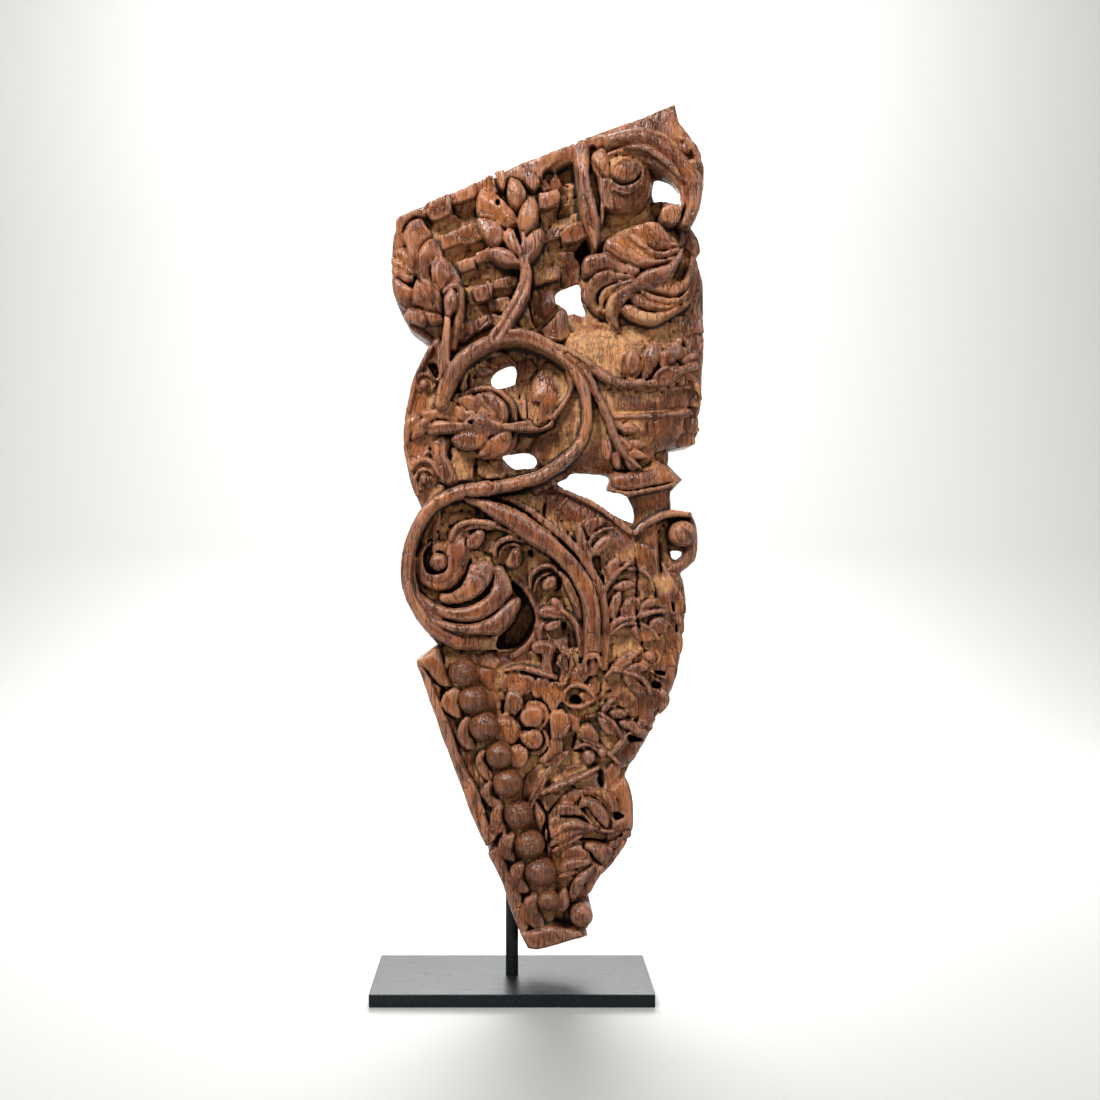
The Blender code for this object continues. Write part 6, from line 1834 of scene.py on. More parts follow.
@dataclass(frozen=True)
class LowerFoliage:
    """The leaves at the lower right and the knob at the foot."""

    level: float = 0.84

    def upper(self) -> list[Form]:
        """The planes, the lens and the folds over the recess."""
        high = self.level
        return [
            facet(((541, 797), (550, 795), (561, 796), (554, 808), (547.5, 815), (542, 806)), 0.66, gap=0.7,
                  drop=0.05),
            facet(((548, 776), (560, 768), (578, 764), (590, 770), (572, 778), (556, 785)), 0.68, gap=0.7,
                drop=0.05),
            facet(((573, 785), (582, 780), (597, 773), (601, 786), (590, 790), (578, 788)), 0.68, (0.0, 0.003),
                  gap=0.7),
            facet(((560, 798), (575, 790.5), (590, 791), (600, 791), (596, 797), (582, 797.5), (574, 803),
                (562, 804)),
                  0.72, gap=0.6, drop=0.05),
            Petal(((604, 772), (613, 762), (621, 768), (618, 782), (611, 790), (606, 784)), ((613, 766),
                (610, 786)),
                  (0.72, 0.72), RIDGE, 4, gap=0.9),
            Mass(((609, 791), (618, 784), (625, 779), (631, 792), (634, 812), (632, 832), (622, 832), (609,
                829),
                  (618, 818), (619, 802)), 0.72, 0.76, 8, gap=0.6, drop=0.06),
            Petal(((595, 793), (604, 791), (612, 795), (617.5, 803), (619.5, 812), (614, 819), (607, 809),
                   (600, 800)), ((600, 794), (610, 802), (615, 815)), (0.78, 0.80, 0.78), RIDGE, 5, gap=1.2),
            Opening(((612.5, 812), (621, 813.5), (624.5, 817), (615.5, 820)), 0.56),
            Opening(((598, 776), (601, 778), (603.5, 783), (602, 788), (598, 784)), 0.38),
            Petal(((551, 813), (559, 805), (570, 804.5), (580, 809), (587, 816), (576, 816.5), (562, 817.5),
                   (553, 822)), ((556, 811), (570, 809), (583, 814)), (0.76, 0.78, 0.76), ROUND, 5, gap=1.0),
            Petal(((580, 810), (580.5, 802), (586, 799.5), (595, 801.5), (602.5, 807), (607.5, 815),
                (609.5, 823),
                   (607, 829), (600.5, 824), (593.5, 816), (587.5, 808)),
                  ((589, 802), (600, 810), (606, 825)), (high, high + 0.03, high), ROUND, 6, gap=2.0, drop=0.2),
            Band(((583, 813), (588, 820), (595, 826.5), (604, 831), (614, 831)), (2, 3, 4, 4, 2), (0.80,),
                ROUND, 2,
                 gap=0.8, drop=0.06),
        ]

    def forms(self) -> list[Form]:
        """The leaves from the back one to the front one."""
        high = self.level
        return [
            Mass(((546, 806), (583, 797), (606, 776), (627, 780), (632, 812), (626, 845), (600, 878),
                  (588, 896), (562, 900), (548, 850)), 0.60, 0.72, 14),
            *self.upper(),
            Band(((541, 794), (556, 788), (570, 782), (584, 775.5), (600, 767)), (4, 7, 7, 6, 4), (0.80, 0.80),
                 RIDGE, 3, gap=1.1),
            Petal(((536, 802), (541, 806), (546.5, 816), (543.5, 828), (541.5, 836), (536, 827), (534, 812)),
                  ((538, 806), (541, 818), (539, 830)), (0.76, 0.78, 0.74), ROUND, 4, gap=0.9),
            Petal(((547, 858), (543.5, 840), (546.5, 824), (556, 816.5), (566, 819), (556, 828), (550, 840),
                   (551, 852)), ((556, 820), (548, 832), (548, 852)), (0.80, 0.80, 0.76), ROUND, 4, gap=1.2),
            Petal(((549, 839), (556, 829), (566, 822), (577, 820), (588, 825), (601, 829.5), (590, 831.5),
                   (577, 828.5), (564, 831.5), (555, 838)), ((556, 834), (572, 825), (594, 829.5)),
                  (high, high + 0.02, 0.80), RIDGE, 3.5, gap=1.1),
            Petal(((549, 848), (553, 840), (563, 833), (576, 829.5), (583, 832), (570, 839), (558, 845)),
                  ((553, 844), (566, 836), (580, 831)), (high - 0.02, high, 0.80), RIDGE, 3, gap=1.0),
            Petal(((552, 851), (560, 844), (571, 838), (584, 836), (577, 842), (566, 848), (557, 853)),
                  ((557, 849), (579, 839)), (0.80, 0.80), RIDGE, 3, gap=1.0),
            facet(((583, 834), (590, 831), (605, 832), (604, 841), (590, 841), (579, 840)), 0.62, gap=0.8),
            Petal(((560, 852), (571, 846), (584, 845), (592, 852), (588, 858.5), (574, 858), (562, 863)),
                  ((566, 853), (587, 853)), (0.76, 0.78), ROUND, 5, gap=0.9),
            Petal(((583, 848), (589, 843), (600, 844.5), (608, 846), (614, 849), (613, 858), (608, 865),
                   (599, 866.5), (593, 860), (589, 853)), ((590, 847), (600, 855), (609, 852)),
                  (0.78, 0.80, 0.76), RIDGE, 5, gap=1.7, drop=0.16),
            Groove(((590, 852), (594, 860), (602, 866)), 2.2, 5, 0.74),
            Petal(((615, 850), (622, 840), (628, 838), (625, 847), (615, 862), (604, 874), (596, 881),
                (602, 870)),
                  ((622, 843), (600, 876)), (0.70, 0.68), ROUND, 4, gap=0.8),
            Dome((627, 834), 5, 0.74, 3),
            Petal(((559, 871), (565, 861.5), (577, 858.5), (590, 860), (589, 866), (574, 870), (563, 874)),
                  ((565, 867), (585, 863)), (high - 0.02, high - 0.02), ROUND, 4.5, gap=1.2),
            Petal(((557.5, 878), (564, 873.5), (575, 871), (576, 874.5), (567, 879)), ((562, 876), (573, 873)),
                  (0.82, 0.80), ROUND, 2.5, gap=0.9),
            Petal(((558, 882), (568, 878), (577, 876), (572, 886), (566, 893), (560, 891)), ((563, 882),
                (570, 880)),
                  (0.72, 0.72), RIDGE, 4, gap=0.9),
            Petal(((585, 888), (594, 871), (604, 866.5), (600, 878), (590, 893)), ((596, 871), (590, 888)),
                  (0.74, 0.72), ROUND, 4, gap=0.9),
            Petal(((570.5, 900), (571, 891), (575.5, 880), (584, 871), (595, 866), (590, 878), (582, 890),
                   (576, 901)), ((573, 898), (577, 884), (592, 868)), (0.80, 0.84, 0.80), RIDGE, 5, gap=1.2),
            Petal(((555.5, 913), (556.5, 900), (560, 891.5), (566.5, 890), (569.5, 900), (568.5, 909),
                (562, 914)),
                  ((562, 894), (561.5, 909)), (0.82, 0.82), ROUND, 5, gap=1.3),
            Mass(((519, 934), (535, 931), (552, 926), (566, 929), (578, 931), (589, 936), (568, 942), (540,
                950),
                  (529, 949)), 0.78, 0.82, 4, gap=0.8, smooth=False),
            Dome((582, 918), 11.5, 0.90, 8, gap=1.8, drop=0.2),
            Groove(((547, 816), (546, 823), (543, 831), (543, 839), (546, 848), (547.5, 859)), 2.6, 12, 0.8),
            Groove(((535, 799), (541, 808), (547, 817)), 2.0, 6, 0.74), Groove(((560, 798), (553, 809),
                (547, 817)),
                                                                           1.8, 4, 0.74),
            Groove(((557, 820), (566, 817.5), (578, 818), (589, 823)), 2.4, 6, 0.8),
            Groove(((580, 842.5), (595, 842), (605, 843.5), (616, 838.5), (625, 834)), 2.2, 8, 0.76),
        ]


@dataclass(frozen=True)
class Damage:
    """Cracks, splits and worn places."""

    def forms(self) -> list[Form]:
        """The cracks as grooves over everything."""
        return [
            Groove(((493, 173), (500, 190), (510, 206)), 3.0, 9, 0.74),
            Groove(((636, 539), (637, 580), (636, 612), (644, 651)), 2.4, 5, 0.68),
            Groove(((486, 850), (503, 832)), 3.0, 9, 0.8, 0.0),
            Groove(((546, 816), (548, 836), (545, 858)), 3.5, 6, 0.8),
            Groove(((640, 110), (642, 132)), 2.0, 1.5, 0.74), Groove(((652, 106), (655, 134)), 2.0, 1.8, 0.74),
            Groove(((662, 108), (665, 140)), 2.0, 1.5, 0.74), Groove(((630, 114), (632, 128)), 2.0, 1.5, 0.74),
        ]


class Nodes:
    """A short way to lay out a node tree."""

    def __init__(self, tree: bpy.types.NodeTree) -> None:
        """Work on a tree."""
        self.tree = tree

    def add(self, kind: str, inputs: dict | None = None, **settings: object) -> bpy.types.Node:
        """Add a node.

        Args:
            kind: The node's type.
            inputs: Values or sockets by input name or number.
            settings: The node's own properties.

        Returns:
            The new node.
        """
        node = self.tree.nodes.new(kind)
        for name, value in settings.items():
            setattr(node, name, value)
        for name, value in (inputs or {}).items():
            if isinstance(value, bpy.types.NodeSocket):
                self.tree.links.new(value, node.inputs[name])
            else:
                node.inputs[name].default_value = value
        return node

    def math(self, operation: str, a: object, b: object = 0.0, clamp: bool = False) -> bpy.types.NodeSocket:
        """A sum of two values."""
        return self.add("ShaderNodeMath", {0: a, 1: b}, operation=operation, use_clamp=clamp).outputs[0]

    def mix(self, share: object, a: object, b: object, blend: str = "MIX") -> bpy.types.NodeSocket:
        """A blend of two colours."""
        node = self.add("ShaderNodeMix", {0: share, 6: a, 7: b}, data_type="RGBA", blend_type=blend)
        return node.outputs[2]

    def ramp(self, value: object, low: float, high: float) -> bpy.types.NodeSocket:
        """A value spread from 0 to 1 between two limits."""
        node = self.add("ShaderNodeMapRange", {0: value, 1: low, 2: high, 3: 0.0, 4: 1.0},
                        interpolation_type="SMOOTHSTEP")
        return node.outputs[0]

    def noise(self, place: object, scale: float, detail: float = 3.0,
              rough: float = 0.55) -> bpy.types.NodeSocket:
        """A noise value."""
        node = self.add("ShaderNodeTexNoise", {"Vector": place, "Scale": scale, "Detail": detail,
                                               "Roughness": rough})
        return node.outputs[0]

    def stretched(self, place: object, scale: Sequence[float]) -> bpy.types.NodeSocket:
        """Coordinates stretched along the axes."""
        return self.add("ShaderNodeMapping", {"Vector": place, "Scale": scale}).outputs[0]


def node_group(name: str, inputs: Sequence[tuple[str, str, object]],
               outputs: Sequence[tuple[str, str]]) -> tuple[bpy.types.NodeTree, Nodes]:
    """Start a shader node group with named sockets.

    Args:
        name: The group's name.
        inputs: Name, socket type and value of each input.
        outputs: Name and socket type of each output.

    Returns:
        The group and a helper for its nodes.
    """
    tree = bpy.data.node_groups.new(name, "ShaderNodeTree")
    for label, kind, value in inputs:
        socket = tree.interface.new_socket(label, in_out="INPUT", socket_type=kind)
        socket.default_value = value
    for label, kind in outputs:
        tree.interface.new_socket(label, in_out="OUTPUT", socket_type=kind)
    return tree, Nodes(tree)


def grain_group() -> bpy.types.NodeTree:
    """Long upright wood grain: a value for colour, a height for bumps, pores and fine splits."""
    tree, nodes = node_group("wood grain", [("Fineness", "NodeSocketFloat", 1.0)],
                             [("Shade", "NodeSocketFloat"), ("Height", "NodeSocketFloat"),
                              ("Pores", "NodeSocketFloat"), ("Splits", "NodeSocketFloat")])
    given = nodes.add("NodeGroupInput")
    place = nodes.add("ShaderNodeTexCoord").outputs["Object"]
    wander = nodes.noise(nodes.stretched(place, (14, 14, 8)), 1.0, 3.0)
    sideways = nodes.add("ShaderNodeCombineXYZ", {0: nodes.math("MULTIPLY", wander, 0.03)}).outputs[0]
    bent = nodes.add("ShaderNodeVectorMath", {0: place, 1: sideways}, operation="ADD").outputs[0]
    fine = nodes.add("ShaderNodeVectorMath", {0: bent, 3: given.outputs["Fineness"]},
                     operation="SCALE").outputs[0]
    fibres = nodes.noise(nodes.stretched(fine, (720, 720, 60)), 1.0, 3.0, 0.65)
    streaks = nodes.noise(nodes.stretched(fine, (210, 210, 16)), 1.0, 4.0, 0.6)
    pores = nodes.ramp(nodes.noise(nodes.stretched(fine, (1100, 1100, 150)), 1.0, 2.0), 0.60, 0.72)
    cells = nodes.add("ShaderNodeTexVoronoi", {"Vector": nodes.stretched(fine, (75, 75, 11)), "Scale": 1.0},
                      feature="DISTANCE_TO_EDGE").outputs[0]
    patchy = nodes.ramp(nodes.noise(place, 24.0, 3.0), 0.50, 0.66)
    splits = nodes.math("MULTIPLY", nodes.math("SUBTRACT", 1.0, nodes.ramp(cells, 0.0, 0.035)), patchy)
    small = nodes.add("ShaderNodeTexVoronoi", {"Vector": nodes.stretched(fine, (230, 230, 46)), "Scale": 1.0},
                      feature="DISTANCE_TO_EDGE").outputs[0]
    here = nodes.ramp(nodes.noise(place, 41.0, 3.0), 0.44, 0.60)
    checks = nodes.math("MULTIPLY", nodes.math("SUBTRACT", 1.0, nodes.ramp(small, 0.0, 0.060)), here)
    splits = nodes.math("MAXIMUM", splits, nodes.math("MULTIPLY", checks, 0.75))
    shade = nodes.math("ADD", nodes.math("MULTIPLY", fibres, 0.5), nodes.math("MULTIPLY", streaks, 0.5))
    height = nodes.math("SUBTRACT", shade, nodes.math("MULTIPLY", pores, 0.35))
    height = nodes.math("SUBTRACT", height, nodes.math("MULTIPLY", splits, 0.9))
    nodes.add("NodeGroupOutput", {"Shade": shade, "Height": height, "Pores": pores, "Splits": splits})
    return tree


def speckle_group() -> bpy.types.NodeTree:
    """Blotches and specks, for old paint, dust and scuffs."""
    tree, nodes = node_group("blotches",
                             [("Size", "NodeSocketFloat", 60.0), ("Amount", "NodeSocketFloat", 0.5)],
                             [("Mask", "NodeSocketFloat"), ("Specks", "NodeSocketFloat")])
    given = nodes.add("NodeGroupInput")
    place = nodes.add("ShaderNodeTexCoord").outputs["Object"]
    patches = nodes.add("ShaderNodeTexNoise", {"Vector": place, "Scale": given.outputs["Size"], "Detail": 5.0,
                                               "Roughness": 0.65}).outputs[0]
    limit = nodes.math("SUBTRACT", 0.78, nodes.math("MULTIPLY", given.outputs["Amount"], 0.5))
    mask = nodes.math("MULTIPLY", nodes.math("SUBTRACT", patches, limit), 9.0, clamp=True)
    specks = nodes.ramp(nodes.noise(place, 900.0, 2.0), 0.60, 0.70)
    nodes.add("NodeGroupOutput", {"Mask": mask, "Specks": specks})
    return tree


@dataclass(frozen=True)
class CarvedWood:
    """Old oiled hardwood: red-brown and dark where it stands proud, tan and greenish in the hollows, with
    painted shade in its crevices and a pale painted highlight along its edges.
    """

    proud: tuple[float, float, float] = (0.215, 0.057, 0.017)
    umber: tuple[float, float, float] = (0.062, 0.019, 0.008)
    orange: tuple[float, float, float] = (0.440, 0.150, 0.040)
    tan: tuple[float, float, float] = (0.560, 0.290, 0.110)
    paint: tuple[float, float, float] = (0.330, 0.330, 0.170)
    # Near-black: pores and splits, and painted shade in crevices.
    dirt_and_shade: tuple[float, float, float] = (0.012, 0.006, 0.004)
    # Pale pink-tan: worn edges and a painted highlight along convex edges.
    worn_edge_and_highlight: tuple[float, float, float] = (0.560, 0.300, 0.190)
    darker: float = 0.0
    warm_share: float = 0.80
    paint_share: float = 0.45
    grime_share: float = 0.50
    worn_edge_and_highlight_share: float = 0.34
    pore_share: float = 0.60
    split_share: float = 0.80
    # Strength of the painted shade in crevices.
    crevice_shade_share: float = 0.95
    gloss_roughness: float = 0.22

    def worn(self, nodes: Nodes, shade: object, blotch: bpy.types.NodeTree) -> bpy.types.NodeSocket:
        """Colour of the wood where it stands proud: dark between the fibres, warmer in broad patches.

        Args:
            nodes: The material's nodes.
            shade: The grain's light and dark.
            blotch: The blotches group.

        Returns:
            The colour.
        """
        broad = nodes.add("ShaderNodeGroup", {"Size": 21.0, "Amount": 0.60}, node_tree=blotch)
        brown = nodes.mix(shade, (*self.umber, 1), (*self.proud, 1))
        lift = nodes.math("ADD", nodes.math("MULTIPLY", shade, 0.7), 0.3)
        warm = nodes.mix(lift, (*self.proud, 1), (*self.orange, 1))
        share = nodes.math("MULTIPLY", broad.outputs["Mask"], self.warm_share - 0.6 * self.darker)
        return nodes.mix(share, brown, warm)

    def pale(self, nodes: Nodes, shade: object, blotch: bpy.types.NodeTree) -> bpy.types.NodeSocket:
        """Colour of the bare wood in the hollows, with grime in small patches.

        Args:
            nodes: The material's nodes.
            shade: The grain's light and dark.
            blotch: The blotches group.

        Returns:
            The colour.
        """
        grimy = nodes.add("ShaderNodeGroup", {"Size": 190.0, "Amount": 0.60}, node_tree=blotch)
        lift = nodes.math("ADD", nodes.math("MULTIPLY", shade, 0.75), 0.25)
        bare = nodes.mix(lift, (*self.orange, 1), (*self.tan, 1))
        share = nodes.math("MULTIPLY", grimy.outputs["Mask"], self.grime_share)
        return nodes.mix(share, bare, (*self.umber, 1))

    def soiled_and_shaded(self, nodes: Nodes, colour: object, fibre: bpy.types.Node, low: object) -> bpy.types.NodeSocket:
        """Add dark pores and splits, and painted shade in crevices and the deepest recesses, to a colour.

        Args:
            nodes: The material's nodes.
            colour: The clean colour.
            fibre: The wood grain.
            low: How pale and hollow the wood is.

        Returns:
            The colour with its dirt.
        """
        dirt_and_shade = (*self.dirt_and_shade, 1)
        crevice_shade = nodes.add("ShaderNodeAttribute", attribute_name="crevice_shade").outputs["Fac"]
        colour = nodes.mix(nodes.math("MULTIPLY", fibre.outputs["Pores"], self.pore_share), colour, dirt_and_shade)
        seen = nodes.math("SUBTRACT", self.split_share, nodes.math("MULTIPLY", low, 0.45))
        colour = nodes.mix(nodes.math("MULTIPLY", fibre.outputs["Splits"], seen), colour, dirt_and_shade)
        # Painted shade: near-black laid into crevices and the deepest recesses.
        dark = nodes.math("MULTIPLY", nodes.ramp(crevice_shade, 0.22, 0.85), self.crevice_shade_share)
        return nodes.mix(dark, colour, dirt_and_shade)

    def material(self, name: str, grain: bpy.types.NodeTree, blotch: bpy.types.NodeTree) -> bpy.types.Material:
        """Build the wood's material.

        Args:
            name: The material's name.
            grain: The grain group.
            blotch: The blotches group.

        Returns:
            The material.
        """
        material = bpy.data.materials.new(name)
        material.use_nodes = True
        nodes = Nodes(material.node_tree)
        shader = material.node_tree.nodes["Principled BSDF"]
        fibre = nodes.add("ShaderNodeGroup", {"Fineness": 1.0}, node_tree=grain)
        patches = nodes.add("ShaderNodeGroup", {"Size": 46.0, "Amount": 0.62}, node_tree=blotch)
        spots = nodes.add("ShaderNodeGroup", {"Size": 120.0, "Amount": 0.46}, node_tree=blotch)
        hollow = nodes.add("ShaderNodeAttribute", attribute_name="hollow").outputs["Fac"]
        ridge = nodes.add("ShaderNodeAttribute", attribute_name="ridge").outputs["Fac"]
        shade = nodes.ramp(fibre.outputs["Shade"], 0.37, 0.59)
        patchy = nodes.math("ADD", hollow, nodes.math("MULTIPLY", patches.outputs["Mask"], 0.16))
        low = nodes.ramp(patchy, 0.30, 0.62)
        colour = nodes.mix(nodes.math("MULTIPLY", low, 1.0 - self.darker), self.worn(nodes, shade, blotch),
                           self.pale(nodes, shade, blotch))
        green = nodes.math("MULTIPLY", nodes.ramp(hollow, 0.42, 0.80), spots.outputs["Mask"])
        colour = nodes.mix(nodes.math("MULTIPLY", green, self.paint_share), colour, (*self.paint, 1))
        # Worn edges and painted highlight: pale colour laid along convex edges, broken up by the grain.
        highlight_grain = nodes.ramp(fibre.outputs["Shade"], 0.40, 0.52)
        edge = nodes.math("MULTIPLY", nodes.ramp(ridge, 0.45, 1.0), highlight_grain)
        colour = nodes.mix(nodes.math("MULTIPLY", edge, self.worn_edge_and_highlight_share), colour, (*self.worn_edge_and_highlight, 1))
        colour = self.soiled_and_shaded(nodes, colour, fibre, low)
        rough = nodes.math("ADD", nodes.math("MULTIPLY", shade, 0.14),
                           nodes.math("MULTIPLY", nodes.ramp(hollow, 0.25, 0.55), 0.34))
        rough = nodes.math("ADD", rough, self.gloss_roughness - 0.06 * self.darker)
        bump = nodes.add("ShaderNodeBump",
                         {"Strength": 0.85, "Distance": 0.0016, "Height": fibre.outputs["Height"]})
        links = material.node_tree.links
        links.new(colour, shader.inputs["Base Color"])
        links.new(rough, shader.inputs["Roughness"])
        links.new(bump.outputs[0], shader.inputs["Normal"])
        shader.inputs["Specular IOR Level"].default_value = 0.55
        return material


@dataclass(frozen=True)
class BlackSteel:
    """Black satin steel with fine scuffs and dust."""

    base: tuple[float, float, float] = (0.006, 0.008, 0.010)
    scuff: tuple[float, float, float] = (0.10, 0.12, 0.14)
    roughness: float = 0.32

    def material(self, blotch: bpy.types.NodeTree) -> bpy.types.Material:
        """Build the steel's material.

        Args:
            blotch: The blotches group.

        Returns:
            The material.
        """
        material = bpy.data.materials.new("black satin steel")
        material.use_nodes = True
        nodes = Nodes(material.node_tree)
        shader = material.node_tree.nodes["Principled BSDF"]
        dust = nodes.add("ShaderNodeGroup", {"Size": 90.0, "Amount": 0.45}, node_tree=blotch)
        place = nodes.add("ShaderNodeTexCoord").outputs["Object"]
        wipes = nodes.noise(nodes.stretched(place, (60, 900, 300)), 1.0, 3.0, 0.6)
        share = nodes.math("MULTIPLY", dust.outputs["Specks"], 0.35)
        colour = nodes.mix(share, (*self.base, 1), (*self.scuff, 1))
        rough = nodes.math("ADD", self.roughness, nodes.math("MULTIPLY", nodes.ramp(wipes, 0.4, 0.75), 0.12))
        rough = nodes.math("ADD", rough, nodes.math("MULTIPLY", dust.outputs["Mask"], 0.08))
        bump = nodes.add("ShaderNodeBump", {"Strength": 0.08, "Distance": 0.0004, "Height": wipes})
        shader.inputs["Specular IOR Level"].default_value = 0.19
        links = material.node_tree.links
        links.new(colour, shader.inputs["Base Color"])
        links.new(rough, shader.inputs["Roughness"])
        links.new(bump.outputs[0], shader.inputs["Normal"])
        return material


def drop_strays(mesh: bpy.types.Mesh) -> int:
    """Delete the few faces that thinning leaves hanging by themselves.

    Args:
        mesh: The mesh to clean.

    Returns:
        How many faces were deleted.
    """
    work = bmesh.new()
    work.from_mesh(mesh)
    strays = [
        face for face in work.faces
        if all(set(other.verts) <= set(face.verts) for edge in face.edges for other in edge.link_faces)
    ]
    bmesh.ops.delete(work, geom=strays, context="FACES")
    work.to_mesh(mesh)
    work.free()
    return len(strays)


@dataclass
class Carving:
    """The carved bracket: the whole block cut, meshed and dressed as one piece."""

    thickness: float = 0.090
    step: float = 0.0009
    quick_step: float = 0.0016
    faces: int = 190_000
    quick_faces: int = 90_000
    wide_blur: float = 0.012
    near_blur: float = 0.0035
    slit_blur: float = 0.0018
    weathering: float = 0.00045
    bared: tuple[tuple[float, float, float, float], ...] = (
        (597, 345, 46, 20), (603, 300, 16, 20), (640, 322, 34, 12), (545, 275, 14, 12), (455, 655, 18, 12),
        (497, 645, 24, 10), (662, 585, 16, 12),
    )

    def parts(self) -> list[Part]:
        """The carving's parts in the order that they are cut."""
        return [TabletWall(), LeftPalmette(), VineLoop(), Pot(), Baluster(), RightDome(), LargeScroll(),
                Trunk(), BossBorder(), FlowerFace(), LowerFoliage(), LeafSpray(), Whorl(), Head()]

    def cut(self) -> WoodBlock:
        """Cut every part in the block."""
        low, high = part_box("carved_bracket")
        drawing = Drawing(back_y=high[1], thickness=self.thickness)
        block = WoodBlock(drawing, low, high, self.step)
        shape = BlockShape()
        shape.lay(block)
        for part in self.parts():
            for form in part.forms():
                form.carve(block)
            LOG.info("cut %s", type(part).__name__)
        shape.open_up(block)
        for form in Damage().forms():
            form.carve(block)
        block.soften(1)
        block.weather(self.weathering)
        block.keep_inside(np.array(low) + mm(0.1), np.array(high) - mm(0.1))
        return block

    def bare(self, block: WoodBlock, co: Array, height: Array) -> Array:
        """How far the bared patches of wood reach over each point.

        Args:
            block: The wood that the points lie on.
            co: The points.
            height: Each point's height over the back.

        Returns:
            The share at each point.
        """
        drawing = block.drawing
        reach = drawing.reach(np.clip(height / drawing.thickness, 0, 1))
        across = drawing.column + co[:, 0] / reach
        down = drawing.row - (co[:, 2] - drawing.eye_z) / reach
        worn = np.zeros(len(co))
        for middle, row, half_width, half_height in self.bared:
            away = np.hypot((across - middle) / half_width, (down - row) / half_height)
            worn = np.maximum(worn, 0.55 * np.clip(1.6 - away * 1.1, 0, 1))
        return worn * (height > mm(20))

    def plain(self, data: bpy.types.Mesh, solid: Array, height: Array) -> Array:
        """How far each point belongs to the plain back or to the block's outer sides.

        Args:
            data: The mesh.
            solid: Share of the block that is wood round each point.
            height: Each point's height over the back.

        Returns:
            The share at each point.
        """
        facing = np.empty(len(data.vertices) * 3, np.float32)
        data.vertices.foreach_get("normal", facing)
        forward = -facing.reshape(-1, 3)[:, 1]
        rim = np.clip((0.97 - solid) / 0.2, 0, 1) * np.clip((0.45 - forward) / 0.3, 0, 1)
        behind = np.maximum(np.clip((-0.2 - forward) / 0.3, 0, 1), np.clip((mm(7) - height) / mm(2), 0, 1))
        return np.maximum(rim, behind * (solid > 0.4))

    def marks(self, block: WoodBlock, thing: bpy.types.Object) -> None:
        """Store how hollow and how proud each point lies, for the wood's colours, and where painted shade
        darkens crevices and the deepest recesses and a painted highlight runs along convex edges.

        Args:
            block: The wood as it was cut.
            thing: The object made from it, which gets the marks.
        """
        data = thing.data
        co = np.empty(len(data.vertices) * 3, np.float32)
        data.vertices.foreach_get("co", co)
        co = co.reshape(-1, 3)
        front = block.front_map()
        wide = blurred(front, int(self.wide_blur / block.step))
        near = blurred(front, max(int(self.near_blur / block.step), 1))
        i = np.clip(((co[:, 0] - block.low[0]) / block.step).round().astype(int), 0, front.shape[0] - 1)
        k = np.clip(((co[:, 2] - block.low[2]) / block.step).round().astype(int), 0, front.shape[1] - 1)
        height = block.drawing.back_y - co[:, 1]
        slit = blurred(front, max(int(self.slit_blur / block.step), 1))
        hollow = np.clip((wide[i, k] - height) / 0.020 + (near[i, k] - height) / 0.014 + 0.30, 0, 1)
        hollow = np.maximum(hollow, self.bare(block, co, height))
        # Painted highlight: convex edges that stand over their near surroundings are marked for a pale edge
        # colour.
        ridge = np.clip((height - slit[i, k]) / 0.0016, 0, 1)
        # Painted shade: narrow crevices and the deepest recesses are marked for near-black colour.
        deep = np.clip((wide[i, k] - height - 0.022) / 0.010, 0, 1) * (wide[i, k] > 0.042)
        crevice_shade = np.maximum(np.clip((slit[i, k] - height) / 0.0050, 0, 1) * (height > mm(6)), deep)
        solid = blurred((front > 0).astype(np.float32), int(mm(6) / block.step))[i, k]
        plain = self.plain(data, solid, height)
        hollow = hollow * (1 - plain) + 0.24 * plain
        crevice_shade = crevice_shade * (1 - plain)
        for name, values in (("hollow", hollow), ("ridge", ridge), ("crevice_shade", crevice_shade)):
            mark = data.attributes.new(name, "FLOAT", "POINT")
            mark.data.foreach_set("value", values.astype(np.float32))

    def build(self, wood: bpy.types.Material) -> bpy.types.Object:
        """Make the finished piece.

        Args:
            wood: The wood's material.

        Returns:
            The piece, riding on the root body in place of the plain solid.
        """
        block = self.cut()
        piece = block.mesh("carved_relief")
        count = len(piece.data.polygons) * 2
        target = self.faces
        fewer = piece.modifiers.new("fewer faces", "DECIMATE")
        fewer.ratio = min(1.0, target / count)
        graph = bpy.context.evaluated_depsgraph_get()
        mesh = bpy.data.meshes.new_from_object(piece.evaluated_get(graph))
        piece.modifiers.clear()
        piece.data = mesh
        mesh.name = "carved_relief"
        LOG.info("dropped %d stray faces", drop_strays(mesh))
        mesh.shade_smooth()
        self.marks(block, piece)
        mesh.materials.append(wood)
        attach(piece, "root")
        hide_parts("carved_bracket")
        LOG.info("carved relief: %d faces from %d", len(mesh.polygons), count)
        return piece


